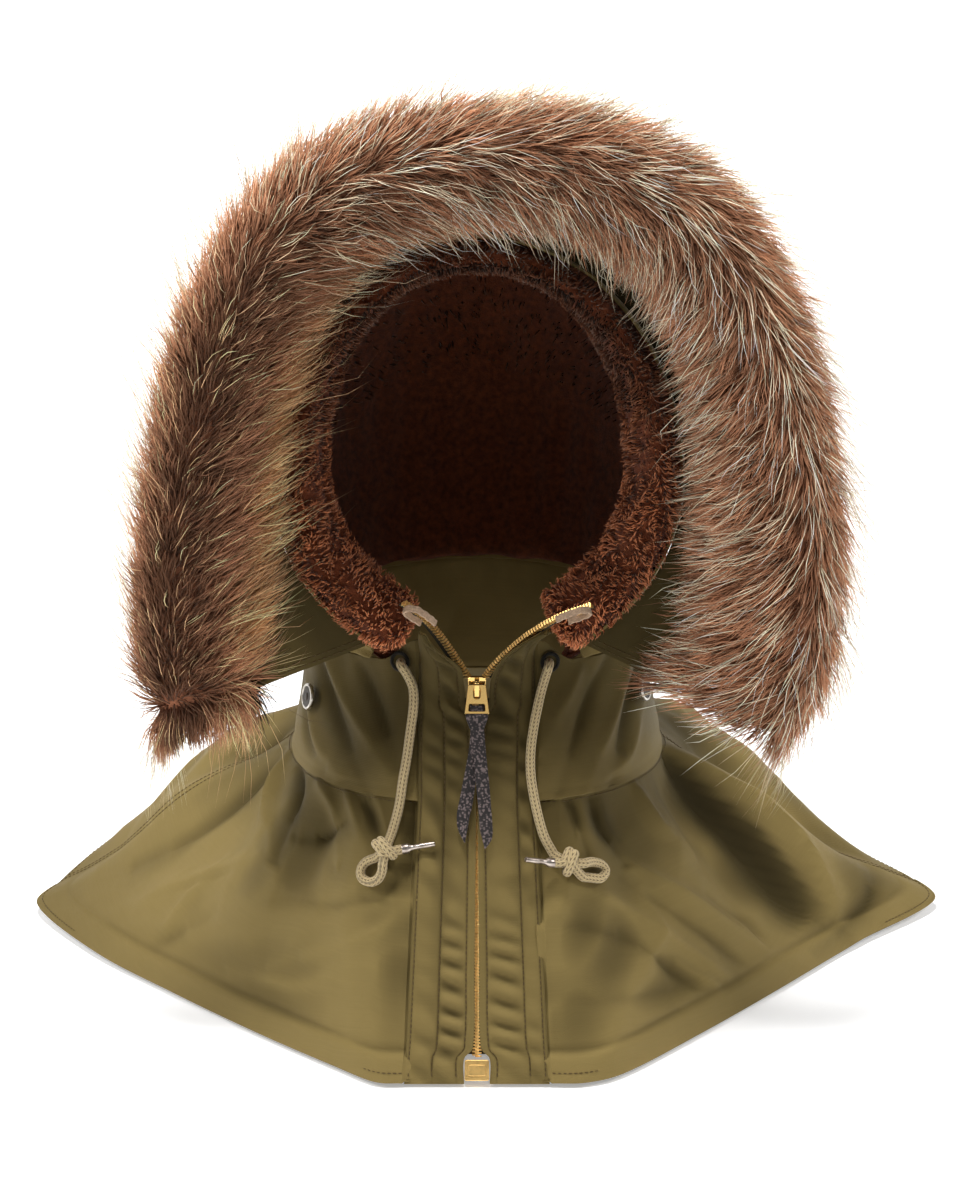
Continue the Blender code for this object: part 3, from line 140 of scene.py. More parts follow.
# Depth of the pile's rolled edge by turn, and the roll's section: ahead and in, outside and inside
PILE_ROLL = [
    (31, 0.036), (60, 0.034), (100, 0.030), (150, 0.022), (180, 0.020), (210, 0.022),
    (260, 0.030), (300, 0.034), (329, 0.036),
]
ROLL_SECTION = [(0.005, 0.0022, -0.001, 1.00), (0.010, 0.0060, 0.006, 0.88), (0.012, 0.0120, 0.011, 0.62)]
# Placket: height, inner and outer edge on the viewer's left, then on the right
PLACKET_EDGES = [
    (0.002, 0.0069, 0.0395, 0.0069, 0.0395), (0.015, 0.0069, 0.0388, 0.0069, 0.0388),
    (0.020, 0.0022, 0.0386, 0.0022, 0.0386), (0.060, 0.0013, 0.0365, 0.0013, 0.0365),
    (0.110, 0.0008, 0.0340, 0.0008, 0.0340), (0.139, 0.0004, 0.0325, 0.0004, 0.0325),
    (0.165, 0.0006, 0.0325, 0.0006, 0.0325), (0.181, 0.0018, 0.0325, 0.0018, 0.0325),
    (0.185, 0.0062, 0.0325, 0.0064, 0.0325), (0.192, 0.0064, 0.0325, 0.0068, 0.0325),
    (0.199, 0.0073, 0.0325, 0.0076, 0.0325), (0.206, 0.0082, 0.0325, 0.0098, 0.0325),
    (0.211, 0.0120, 0.0325, 0.0128, 0.0325), (0.216, 0.0185, 0.0325, 0.0170, 0.0330),
    (0.222, 0.0245, 0.0325, 0.0240, 0.0350), (0.229, 0.0285, 0.0320, 0.0350, 0.0410),
]
PLACKET_FLARE = [
    (0.002, 0.0, 1.0), (0.188, 0.0, 1.0), (0.195, 0.0026, 1.0), (0.204, 0.0064, 1.0),
    (0.213, 0.0095, 1.0), (0.222, 0.0130, 0.5), (0.230, 0.0165, 0.2),
]
# Zip: the teeth line on each side, from the slider to its upper end
ZIP_LEFT = [
    (-0.0036, -0.0940, 0.2020), (-0.0062, -0.0945, 0.2062), (-0.0120, -0.0952, 0.2162),
    (-0.0201, -0.0955, 0.2284), (-0.0287, -0.0990, 0.2396), (-0.0378, -0.1040, 0.2483),
]
ZIP_RIGHT = [
    (0.0036, -0.0940, 0.2020), (0.0063, -0.0945, 0.2062), (0.0143, -0.0952, 0.2155),
    (0.0273, -0.0985, 0.2283), (0.0430, -0.1030, 0.2399), (0.0608, -0.1080, 0.2487),
]
SLIDER_AT = Vector((0.0, -0.0965, 0.1965))
HINGE = Vector((0.0, -0.0995, 0.1980))
PULLER_LEAN = 28.0
BOX_HALF = 0.0066
BOX_BOTTOM = 0.0035
BOX_TOP = 0.0148
BUTTON_TURN = 67.0
BUTTON_HEIGHTS = {"left": 0.1690, "right": 0.1740}

# Drawcords: the run from the eyelet, the tied loop, the tail, and the knot's place and turn
CORD_ROUTES = {
    "left": {
        "run": [
            (-0.0418, -0.0841, 0.2060), (-0.0417, -0.0881, 0.2062), (-0.0403, -0.0895, 0.2043),
            (-0.0384, -0.0895, 0.2013), (-0.0351, -0.0914, 0.1938), (-0.0348, -0.0955, 0.1848),
            (-0.0364, -0.1004, 0.1726), (-0.0383, -0.1068, 0.1598), (-0.0405, -0.1138, 0.1485),
            (-0.0424, -0.1189, 0.1364), (-0.0448, -0.1232, 0.1275), (-0.0473, -0.1276, 0.1208)],
        "loop": [
            (-0.0549, -0.1319, 0.1102), (-0.0580, -0.1306, 0.1084), (-0.0613, -0.1301, 0.1061),
            (-0.0635, -0.1312, 0.1024), (-0.0629, -0.1338, 0.0988), (-0.0584, -0.1373, 0.0979),
            (-0.0540, -0.1392, 0.1006), (-0.0517, -0.1398, 0.1056), (-0.0512, -0.1399, 0.1104)],
        "tail": [(-0.0436, -0.1347, 0.1158), (-0.0228, -0.1369, 0.1206)],
        "knot": (-0.0502, -0.1339, 0.1161), "turn": 35.0,
    },
    "right": {
        "run": [
            (0.0397, -0.0838, 0.2059), (0.0396, -0.0880, 0.2062), (0.0390, -0.0893, 0.2042),
            (0.0379, -0.0893, 0.2007), (0.0352, -0.0921, 0.1917), (0.0330, -0.0971, 0.1831),
            (0.0313, -0.1018, 0.1755), (0.0296, -0.1083, 0.1651), (0.0293, -0.1149, 0.1548),
            (0.0307, -0.1218, 0.1447), (0.0334, -0.1274, 0.1329), (0.0366, -0.1310, 0.1226),
            (0.0410, -0.1333, 0.1146), (0.0432, -0.1348, 0.1123)],
        "loop": [
            (0.0579, -0.1367, 0.1087), (0.0602, -0.1335, 0.1079), (0.0636, -0.1297, 0.1065),
            (0.0681, -0.1267, 0.1037), (0.0706, -0.1268, 0.0998), (0.0680, -0.1314, 0.0977),
            (0.0635, -0.1342, 0.0989), (0.0602, -0.1358, 0.1002), (0.0574, -0.1375, 0.1016)],
        "tail": [(0.0442, -0.1406, 0.1104), (0.0288, -0.1489, 0.1162)],
        "knot": (0.0502, -0.1382, 0.1103), "turn": 100.0,
    },
}


# ---------------------------------------------------------------- shapes from the tables

def read_table(rows, keys):
    """Columns of a table between its rows, eased smoothly, at one key or an array of keys."""
    table = np.asarray(rows, float)
    keys = np.asarray(keys, float)
    if table[0, 0] > table[-1, 0]:
        table = table[::-1]
    heads = table[:, 0]
    at = np.clip(np.searchsorted(heads, keys, side="left") - 1, 0, len(heads) - 2)
    before, after = np.maximum(at - 1, 0), np.minimum(at + 2, len(heads) - 1)
    span = heads[at + 1] - heads[at]
    u = (keys - heads[at]) / span
    cubic = 2 * u ** 3 - 3 * u ** 2
    columns = []
    for column in range(1, table.shape[1]):
        v = table[:, column]
        slope_low = (v[at + 1] - v[before]) / (heads[at + 1] - heads[before]) * span
        slope_high = (v[after] - v[at]) / (heads[after] - heads[at]) * span
        columns.append((1 + cubic) * v[at] - cubic * v[at + 1] + (u ** 3 - 2 * u ** 2 + u) * slope_low
                       + (u ** 3 - u ** 2) * slope_high)
    return columns


def read_path(points, count):
    """Evenly stepped points on a smooth curve through the given ones."""
    rows = [(index,) + tuple(point) for index, point in enumerate(points)]
    return np.stack(read_table(rows, np.linspace(0, len(points) - 1, count)), -1)


def even_path(points, step):
    """A smooth curve through the points, stepped evenly by length."""
    fine = read_path(points, 40 * len(points))
    lengths = np.concatenate([[0], np.cumsum(np.linalg.norm(np.diff(fine, axis=0), axis=1))])
    places = np.linspace(0, lengths[-1], max(int(round(lengths[-1] / step)), 2) + 1)
    return np.stack([np.interp(places, lengths, fine[:, k]) for k in range(3)], -1)


def unit(vectors):
    """The vectors at length one."""
    return vectors / (np.linalg.norm(vectors, axis=-1, keepdims=True) + 1e-12)


def ease(values, low, high):
    """Smooth step from 0 at low to 1 at high."""
    u = np.clip((values - low) / (high - low), 0, 1)
    return u * u * (3 - 2 * u)


def hood_surface(tilt, turn):
    """Points of the hood's outer face."""
    reach, width, belly = read_table(HOOD_ARCHES, tilt)
    first = np.arcsin(END_HALF / width)
    angle = first + (turn - TURN_FIRST) / TURN_SPAN * (2 * pi - 2 * first)
    depth = np.where(np.cos(angle) > 0, (belly - END_LIFT) / np.cos(first), reach - belly)
    out = belly - depth * np.cos(angle)
    lean = np.radians(tilt)
    return np.stack([-width * np.sin(angle), PIVOT_Y + out * np.cos(lean), PIVOT_Z + out * np.sin(lean)], -1)


def brim_frame(turn):
    """The brim's inner edge, outer rim, direction across and front normal at each turn."""
    tilt = np.full_like(turn, BRIM_TILT)
    edge = hood_surface(tilt, turn)
    ahead = unit(hood_surface(tilt, turn + 1.0) - hood_surface(tilt, turn - 1.0))
    forward = unit(edge - hood_surface(tilt - 3.2, turn))
    outward = unit(np.cross(forward, ahead))
    middle = np.stack([np.zeros_like(turn), edge[..., 1], np.full_like(turn, 0.310)], -1)
    facing = np.sign(np.sum(outward * (edge - middle), -1, keepdims=True))
    start = edge + outward * facing * GAP - forward * 0.001
    rim = np.stack(read_table(BRIM_RIM, turn), -1)
    width = unit(rim - start)
    normal = unit(np.cross(width, ahead))
    normal *= -np.sign(normal[..., 1:2])
    return start, rim, width, normal


def neck_surface(turn, height):
    """Points of the neck's outer face; turn runs from the front over the viewer's right."""
    width, front, back = read_table(NECK_RINGS, height)
    angle = np.radians(turn)
    depth = np.where(np.cos(angle) > 0, front, back)
    return np.stack([width * np.sin(angle), -depth * np.cos(angle), height], -1)


def front_turn(height):
    """The turn at which the neck and cape meet the placket."""
    return np.degrees(np.arcsin(FRONT_EDGE / read_table(NECK_RINGS, height)[0]))


def placket_surface(side, across, height):
    """Points of the placket's outer face; side is -1 on the viewer's left and 1 on the right."""
    edges = read_table(PLACKET_EDGES, height)
    inner, outer = (edges[0], edges[1]) if side < 0 else (edges[2], edges[3])
    x = inner + (outer - inner) * across
    yoke = YOKE_SEAM[0][1]
    width, front, _back = read_table(NECK_RINGS, np.maximum(height, yoke))
    y = -front * np.cos(np.arcsin(x / width))
    fall = np.clip((yoke - height) / (yoke - CAPE_HEM[0][3]), 0, 1)
    y = y + (CAPE_HEM[0][2] - y) * fall - CAPE_HEM[0][4] * 0.8 * np.sin(pi * fall)
    flare, held = read_table(PLACKET_FLARE, height)
    forward = PLACKET_LIFT + flare * (1 - held * across ** 3)
    return np.stack([side * x, y - forward, height], -1)


def soft_noise(a, b, seed, scale):
    """Smooth seeded unevenness over two coordinates, from about -1 to 1."""
    rng = np.random.default_rng(seed)
    total = np.zeros_like(a)
    for _ in range(9):
        way = rng.uniform(0, 2 * pi)
        rate = scale * rng.uniform(0.5, 1.6)
        total += np.sin((a * cos(way) + b * sin(way)) * rate + rng.uniform(0, 2 * pi))
    return total / 3.0


# ---------------------------------------------------------------- meshes

CLOTH_FACES = {}


def make_piece(name, points, faces, finish, uv=None, tints_and_shade=None, sharp=None):
    """A mesh object lowered to the seat; faces is a list of arrays of vertex numbers."""
    points = np.asarray(points, float) - np.array([0.0, 0.0, SEAT_HEIGHT])
    corners = np.concatenate([np.asarray(group, np.int32).ravel() for group in faces])
    sizes = np.concatenate([np.full(len(group), np.asarray(group).shape[1], np.int32) for group in faces])
    starts = np.concatenate([[0], np.cumsum(sizes)[:-1]]).astype(np.int32)
    data = bpy.data.meshes.new(name)
    data.vertices.add(len(points))
    data.vertices.foreach_set("co", points.astype(np.float32).ravel())
    data.loops.add(len(corners))
    data.loops.foreach_set("vertex_index", corners)
    data.polygons.add(len(sizes))
    data.polygons.foreach_set("loop_start", starts)
    data.update(calc_edges=True)
    if uv is not None:
        layer = data.uv_layers.new(name="Cloth")
        layer.data.foreach_set("uv", np.asarray(uv, np.float32)[corners].ravel())
    # This colour attribute carries the hairs' own colours together with painted shade and light; on cloth it carries
    # only painted shade and light.
    if tints_and_shade is not None:
        layer = data.color_attributes.new("Tint", "FLOAT_COLOR", "POINT")
        full = np.concatenate([tints_and_shade, np.ones((len(tints_and_shade), 1))], 1)
        layer.data.foreach_set("color", full.astype(np.float32).ravel())
    data.shade_smooth()
    if sharp is not None:
        data.set_sharp_from_angle(angle=radians(sharp))
    piece = bpy.data.objects.new(name, data)
    bpy.context.scene.collection.objects.link(piece)
    piece.data.materials.append(finish)
    turn_outwards(piece)
    return piece


def turn_outwards(piece):
    """Flip a closed mesh whose faces point inwards."""
    data = piece.data
    data.calc_loop_triangles()
    tri = np.empty(len(data.loop_triangles) * 3, np.int32)
    data.loop_triangles.foreach_get("vertices", tri)
    co = np.empty(len(data.vertices) * 3, np.float32)
    data.vertices.foreach_get("co", co)
    co = co.reshape(-1, 3).astype(float)
    a, b, c = (co[tri.reshape(-1, 3)[:, k]] for k in range(3))
    if np.sum(a * np.cross(b, c)) < 0:
        data.flip_normals()


def grid_normals(grid, inside):
    """Unit normals of a grid, all turned away from the inside point on the whole."""
    along = np.gradient(grid, axis=1)
    across = np.gradient(grid, axis=0)
    normals = unit(np.cross(along, across))
    return normals if np.sum(normals * (grid - np.asarray(inside))) > 0 else -normals


def grid_uv(grid):
    """Distances along and down a grid of points, in metres."""
    along = np.linalg.norm(np.diff(grid, axis=1), axis=-1)
    down = np.linalg.norm(np.diff(grid, axis=0), axis=-1)
    u = np.concatenate([np.zeros((len(grid), 1)), np.cumsum(along, 1)], 1)
    v = np.concatenate([np.zeros((1, grid.shape[1])), np.cumsum(down, 0)], 0)
    return np.stack([u - u[:, -1:] / 2, v], -1)


def fold_shade(height, deep):
    """Painted shade in the hollows of folds and painted light on their ridges, from the height of the folds."""
    eased = np.tanh(height / deep)
    return 1.0 + np.where(eased < 0, 0.74, 0.12) * eased


def wall_piece(name, outer, inner, finish, shade=None):
    """A closed wall between two grids of points; shade is painted shade that darkens its outer face from place to
    place.
    """
    rows, columns = outer.shape[:2]
    count = rows * columns
    at = np.arange(count).reshape(rows, columns)
    quads = np.stack([at[:-1, :-1], at[:-1, 1:], at[1:, 1:], at[1:, :-1]], -1).reshape(-1, 4)
    rims = []
    for line in (at[0], at[:, -1], at[-1, ::-1], at[::-1, 0]):
        rims.append(np.stack([line[1:], line[:-1], line[:-1] + count, line[1:] + count], -1))
    faces = [quads, quads[:, ::-1] + count] + rims
    points = np.concatenate([outer.reshape(-1, 3), inner.reshape(-1, 3)])
    uv = grid_uv(outer).reshape(-1, 2)
    tints_and_shade = np.ones((2 * count, 3))
    if shade is not None:
        tints_and_shade[:count] = shade.reshape(-1, 1)
    return make_piece(name, points, faces, finish, np.concatenate([uv, uv]), tints_and_shade, sharp=50)


def cloth_piece(name, outer, inside, finish, thickness=CLOTH, shade=None):
    """A cloth wall of even thickness behind its outer face."""
    normals = grid_normals(outer, inside)
    CLOTH_FACES[name] = (outer, normals)
    return wall_piece(name, outer, outer - normals * thickness, finish, shade)


def loft_piece(name, rings, finish, closed_ends=True, sharp=40):
    """A body through closed rings of points (rings, sides, 3), with a fan over each end."""
    count, sides = rings.shape[:2]
    at = np.arange(count * sides).reshape(count, sides)
    after = np.roll(at, -1, axis=1)
    quads = np.stack([at[:-1], after[:-1], after[1:], at[1:]], -1).reshape(-1, 4)
    points = rings.reshape(-1, 3)
    faces = [quads]
    if closed_ends:
        points = np.concatenate([points, rings[:1].mean(1), rings[-1:].mean(1)])
        first, last = count * sides, count * sides + 1
        faces.append(np.stack([after[0], at[0], np.full(sides, first)], -1))
        faces.append(np.stack([at[-1], after[-1], np.full(sides, last)], -1))
    around = np.tile(np.arange(sides) / sides, count)
    steps = np.linalg.norm(np.diff(rings.mean(1), axis=0), axis=-1)
    along = np.repeat(np.concatenate([[0], np.cumsum(steps)]), sides)
    uv = np.stack([around, along], -1)
    if closed_ends:
        uv = np.concatenate([uv, [[0.5, along[0]], [0.5, along[-1]]]])
    return make_piece(name, points, faces, finish, uv, sharp=sharp)


def tube_rings(path, radii, sides):
    """Round rings about a path, carried along it without twist."""
    way = unit(np.gradient(path, axis=0))
    side = np.cross(way[0], [0.0, 0.0, 1.0])
    if np.linalg.norm(side) < 0.1:
        side = np.cross(way[0], [1.0, 0.0, 0.0])
    rings = []
    for point, direction, radius in zip(path, way, radii):
        side = side - direction * np.dot(side, direction)
        side = side / np.linalg.norm(side)
        other = np.cross(direction, side)
        turns = np.linspace(0, 2 * pi, sides, endpoint=False)[:, None]
        rings.append(point + radius * (side * np.cos(turns) + other * np.sin(turns)))
    return np.array(rings)


def turned_piece(name, profile, place, axis, finish, sides=40, sharp=40):
    """A turned solid: (radius, along) points about an axis."""
    axis = unit(np.asarray(axis, float))
    base = unit(np.cross(axis, [0.0, 0.0, 1.0]) if abs(axis[2]) < 0.9 else np.cross(axis, [1.0, 0.0, 0.0]))
    other = np.cross(axis, base)
    turns = np.linspace(0, 2 * pi, sides, endpoint=False)[:, None]
    rings = [np.asarray(place) + axis * along + radius * (base * np.cos(turns) + other * np.sin(turns))
             for radius, along in profile]
    return loft_piece(name, np.array(rings), finish, sharp=sharp)


def sample(grid, rows, columns):
    """Values of a grid at fractional rows and columns."""
    rows = np.clip(rows, 0, len(grid) - 1.001)
    columns = np.clip(columns, 0, grid.shape[1] - 1.001)
    r, c = rows.astype(int), columns.astype(int)
    fr, fc = (rows - r)[..., None], (columns - c)[..., None]
    return ((grid[r, c] * (1 - fc) + grid[r, c + 1] * fc) * (1 - fr)
            + (grid[r + 1, c] * (1 - fc) + grid[r + 1, c + 1] * fc) * fr)


def as_plain_mesh(piece):
    """Apply a piece's modifiers, so that only its finished mesh is left."""
    depsgraph = bpy.context.evaluated_depsgraph_get()
    data = bpy.data.meshes.new_from_object(piece.evaluated_get(depsgraph))
    finish = [slot.material for slot in piece.material_slots]
    piece.modifiers.clear()
    old = piece.data
    piece.data = data
    if not data.materials:
        for material in finish:
            data.materials.append(material)
    bpy.data.meshes.remove(old)
    return piece


def plate_piece(name, outline, depths, origin, lean, finish, holes=(), bevel=0.0002):
    """A flat plate leaned out below, with rounded edges and holes; outlines are (across, down)."""
    turn = Matrix.Rotation(radians(-lean), 3, "X")

    def solid(shape, front, back, label):
        mesh = bmesh.new()
        loops = [[mesh.verts.new(turn @ Vector((across, depth, -down)) + Vector(origin))
                  for across, down in shape] for depth in (front, back)]
        count = len(shape)
        mesh.faces.new(loops[0])
        mesh.faces.new(list(reversed(loops[1])))
        for k in range(count):
            after = (k + 1) % count
            mesh.faces.new((loops[0][k], loops[1][k], loops[1][after], loops[0][after]))
        bmesh.ops.recalc_face_normals(mesh, faces=mesh.faces)
        bmesh.ops.translate(mesh, verts=mesh.verts, vec=(0, 0, -SEAT_HEIGHT))
        data = bpy.data.meshes.new(label)
        mesh.to_mesh(data)
        mesh.free()
        made = bpy.data.objects.new(label, data)
        bpy.context.scene.collection.objects.link(made)
        return made

    piece = solid(outline, depths[0], depths[1], name)
    piece.data.materials.append(finish)
    cutters = [solid(hole, depths[0] - 0.002, depths[1] + 0.002, name + "_cut") for hole in holes]
    for cutter in cutters:
        change = piece.modifiers.new("Window", "BOOLEAN")
        change.operation = "DIFFERENCE"
        change.object = cutter
        change.solver = "EXACT"
    if bevel:
        round_edges(piece, bevel)
    bpy.context.view_layer.update()
    as_plain_mesh(piece)
    for cutter in cutters:
        bpy.data.objects.remove(cutter)
    return piece


def round_edges(piece, width, segments=3):
    """Round a piece's sharp edges."""
    change = piece.modifiers.new("Rounding", "BEVEL")
    change.width = width
    change.segments = segments
    change.limit_method = "ANGLE"
    change.angle_limit = radians(35)
    change.harden_normals = False


def rounded_outline(points, radius, steps=4):
    """An outline with its corners turned into short arcs."""
    count = len(points)
    made = []
    for k in range(count):
        before, here, after = (np.array(points[(k + d) % count], float) for d in (-1, 0, 1))
        reach = min(radius, np.linalg.norm(before - here) / 2.2, np.linalg.norm(after - here) / 2.2)
        first = here + unit(before - here) * reach
        last = here + unit(after - here) * reach
        for step in range(steps + 1):
            u = step / steps
            made.append(tuple((1 - u) ** 2 * first + 2 * u * (1 - u) * here + u * u * last))
    return made


def join_pieces(name, pieces):
    """Several pieces with one finish made into one mesh."""
    mesh = bmesh.new()
    for piece in pieces:
        mesh.from_mesh(piece.data)
    data = bpy.data.meshes.new(name)
    mesh.to_mesh(data)
    mesh.free()
    data.materials.append(pieces[0].data.materials[0])
    for piece in pieces:
        old = piece.data
        bpy.data.objects.remove(piece)
        bpy.data.meshes.remove(old)
    joined = bpy.data.objects.new(name, data)
    bpy.context.scene.collection.objects.link(joined)
    return joined


def settle(piece, body, *nodes):
    """Let a finished piece ride on its body and stand for its nodes."""
    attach(piece, body)
    if nodes:
        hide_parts(*nodes)
    return piece


# ---------------------------------------------------------------- finishes

def linear(red, green, blue):
    """A colour given as on a screen, from 0 to 255, in the values that shaders use."""
    values = []
    for part in (red, green, blue):
        share = part / 255
        values.append(share / 12.92 if share <= 0.04045 else ((share + 0.055) / 1.055) ** 2.4)
    return tuple(values)


class Finish:
    """Builds one procedural material, node by node."""

    def __init__(self, name, roughness, metallic=0.0, **constants):
        self.material = bpy.data.materials.new(name)
        self.material.use_nodes = True
        self.tree = self.material.node_tree
        self.shader = self.tree.nodes["Principled BSDF"]
        self.shader.inputs["Roughness"].default_value = roughness
        self.shader.inputs["Metallic"].default_value = metallic
        for label, value in constants.items():
            self.shader.inputs[label.replace("_", " ")].default_value = value
        self.place = self.add("ShaderNodeTexCoord").outputs["Object"]

    def add(self, kind, inputs=None, **settings):
        """A node with its settings and inputs; an input may be another node's output."""
        made = self.tree.nodes.new(kind)
        for label, value in settings.items():
            setattr(made, label, value)
        for label, value in (inputs or {}).items():
            self.feed(made.inputs[label], value)
        return made

    def feed(self, socket, value):
        """Link an output to the socket, or set a plain value on it."""
        if isinstance(value, bpy.types.NodeSocket):
            self.tree.links.new(value, socket)
        else:
            socket.default_value = value

    def math(self, operation, first, second=0.0, third=0.0):
        """One step of arithmetic."""
        return self.add("ShaderNodeMath", {0: first, 1: second, 2: third}, operation=operation).outputs[0]

    def noise(self, scale, detail=2.0, rough=0.5, place=None, distort=0.0):
        """Even noise over the piece."""
        made = self.add("ShaderNodeTexNoise", {"Vector": place or self.place, "Scale": scale, "Detail": detail,
                                               "Roughness": rough, "Distortion": distort})
        return made.outputs["Fac"]

    def ramp(self, value, *stops):
        """A colour for each stop of a value."""
        made = self.add("ShaderNodeValToRGB", {"Fac": value})
        elements = made.color_ramp.elements
        while len(elements) < len(stops):
            elements.new(0.5)
        for element, (position, colour) in zip(elements, stops):
            element.position = position
            element.color = tuple(colour) + (1.0,)
        return made.outputs["Color"]

    def blend(self, share, first, second, kind="MIX"):
        """Two colours mixed by a share."""
        made = self.add("ShaderNodeMix", data_type="RGBA", blend_type=kind)
        self.feed(made.inputs[0], share)
        for socket, value in ((made.inputs[6], first), (made.inputs[7], second)):
            self.feed(socket, value if isinstance(value, bpy.types.NodeSocket) else tuple(value) + (1.0,))
        return made.outputs[2]

    def spread(self, value, low, high):
        """A value from 0 to 1 stretched between low and high."""
        return self.math("MULTIPLY_ADD", value, high - low, low)

    def colour(self, value):
        """Set the surface's colour."""
        self.feed(self.shader.inputs["Base Color"], value)

    def roughness(self, value):
        """Set how rough the surface is from place to place."""
        self.feed(self.shader.inputs["Roughness"], value)

    def relief(self, height, distance, strength=1.0, under=None):
        """Fine relief from a height; under is an earlier relief that it lies on."""
        inputs = {"Height": height, "Distance": distance, "Strength": strength}
        if under is not None:
            inputs["Normal"] = under
        made = self.add("ShaderNodeBump", inputs).outputs["Normal"]
        self.feed(self.shader.inputs["Normal"], made)
        return made


def cloth_finish(name, tone, weave_pitch):
    """Cotton sateen: a fine slanted weave, slubs, faint creases and a soft sheen."""
    made = Finish(name, 0.62, Sheen_Weight=0.04, Sheen_Roughness=0.45, Sheen_Tint=(0.78, 0.66, 0.40, 1.0),
                  Specular_IOR_Level=0.14, Specular_Tint=(0.80, 0.68, 0.40, 1.0))
    uv = made.add("ShaderNodeUVMap", uv_map="Cloth").outputs["UV"]
    split = made.add("ShaderNodeSeparateXYZ", {"Vector": uv})
    across, down = split.outputs["X"], split.outputs["Y"]
    slant = made.math("MULTIPLY_ADD", down, 0.55, across)
    weave = made.math("SINE", made.math("MULTIPLY", slant, 2 * pi / weave_pitch))
    fill = made.math("SINE", made.math("MULTIPLY", down, 2 * pi / (weave_pitch * 1.25)))
    thread = made.math("MULTIPLY_ADD", fill, 0.45, weave)
    stretched = made.add("ShaderNodeMapping", {"Vector": uv, "Scale": (26.0, 900.0, 1.0)}).outputs["Vector"]
    slub = made.noise(1.0, 3.0, 0.6, stretched)
    wide = made.noise(7.0, 3.0, 0.55)
    patch = made.noise(46.0, 3.0, 0.6)
    red, green, blue = tone
    base = made.ramp(wide, (0.30, (red * 0.86, green * 0.87, blue * 0.86)),
                     (0.52, tone), (0.74, (red * 1.13, green * 1.12, blue * 1.16)))
    worn = made.blend(made.spread(patch, 0.0, 0.34), base, (red * 0.74, green * 0.75, blue * 0.74))
    threads = made.blend(made.spread(slub, 0.0, 0.42), worn, (red * 1.38, green * 1.36, blue * 1.42))
    woven = made.blend(made.spread(thread, 0.07, 0.12), threads, (red * 0.5, green * 0.5, blue * 0.45))
    # Painted shade and light from the mesh's colour attribute darken the folds' hollows and the cloth under the hood
    # and the fur, and pale the ridges a little.
    shade = made.add("ShaderNodeVertexColor", layer_name="Tint").outputs["Color"]
    made.colour(made.blend(1.0, woven, shade, "MULTIPLY"))
    made.roughness(made.spread(patch, 0.50, 0.72))
    creases = made.relief(made.noise(95.0, 4.0, 0.6, None, 0.6), 0.0007, 0.32)
    made.relief(thread, 0.00006, 0.55, creases)
    return made.material


def hair_finish(name, roughness, specular, sheen):
    """Hair coloured from root to tip, with unevenness from lock to lock."""
    made = Finish(name, roughness, Specular_IOR_Level=specular, Sheen_Weight=sheen, Sheen_Roughness=0.4,
                  Sheen_Tint=(0.95, 0.82, 0.70, 1.0))
    tint = made.add("ShaderNodeVertexColor", layer_name="Tint").outputs["Color"]
    lock = made.noise(60.0, 3.0, 0.6)
    shade = made.ramp(lock, (0.3, (0.74, 0.72, 0.70)), (0.7, (1.18, 1.18, 1.18)))
    made.colour(made.blend(0.85, tint, shade, "MULTIPLY"))
    made.roughness(made.spread(lock, roughness - 0.08, roughness + 0.10))
    return made.material


def felt_finish(name, dark, light, scale, depth, roughness=0.95):
    """Short fibres: a mottled colour with a fine nap."""
    made = Finish(name, roughness, Specular_IOR_Level=0.12, Sheen_Weight=0.12, Sheen_Roughness=0.5)
    coarse = made.noise(scale, 5.0, 0.65)
    made.colour(made.ramp(coarse, (0.30, dark), (0.70, light)))
    made.roughness(made.spread(coarse, roughness - 0.12, roughness))
    made.relief(made.noise(scale * 5.0, 4.0, 0.7), depth, 0.8)
    return made.material


def metal_finish(name, dark, light, roughness, scale=240.0, metallic=1.0):
    """Plated metal with fine scratches, its tone and dullness uneven from place to place."""
    made = Finish(name, roughness, metallic)
    grain = made.noise(scale, 4.0, 0.6)
    brushed = made.add("ShaderNodeMapping", {"Vector": made.place, "Scale": (1.0, 1.0, 0.08)}).outputs["Vector"]
    scratch = made.noise(scale * 9.0, 2.0, 0.5, brushed)
    made.colour(made.ramp(grain, (0.28, dark), (0.62, light)))
    made.roughness(made.spread(grain, roughness - 0.07, roughness + 0.12))
    made.relief(scratch, 0.00004, 0.35)
    return made.material


def cord_finish(name, dark, light, strands=4.0, pitch=0.0046):
    """A braid: pairs of slanting threads that meet in chevrons round the cord."""
    made = Finish(name, 0.86, Specular_IOR_Level=0.15, Sheen_Weight=0.15, Sheen_Roughness=0.5)
    uv = made.add("ShaderNodeUVMap", uv_map="Cloth").outputs["UV"]
    split = made.add("ShaderNodeSeparateXYZ", {"Vector": uv})
    around = made.math("MULTIPLY", split.outputs["X"], strands)
    chevron = made.math("PINGPONG", around, 0.5)
    along = made.math("MULTIPLY_ADD", split.outputs["Y"], 1.0 / pitch, made.math("MULTIPLY", chevron, 1.7))
    stripe = made.math("SINE", made.math("MULTIPLY", along, 4 * pi))
    valley = made.math("ABSOLUTE", made.math("SINE", made.math("MULTIPLY", around, 2 * pi)))
    height = made.math("MULTIPLY_ADD", stripe, 0.5, valley)
    fuzz = made.noise(1400.0, 3.0, 0.7)
    # Painted shade and light: the grooves between the threads are painted dark and the raised threads pale.
    shade = made.ramp(made.spread(height, 0.32, 0.86), (0.30, dark), (0.68, light))
    made.colour(made.blend(made.spread(fuzz, 0.0, 0.5), shade, tuple(part * 0.62 for part in light)))
    made.roughness(made.spread(fuzz, 0.78, 0.95))
    under = made.relief(height, 0.00028, 0.9)
    made.relief(fuzz, 0.0001, 0.5, under)
    return made.material


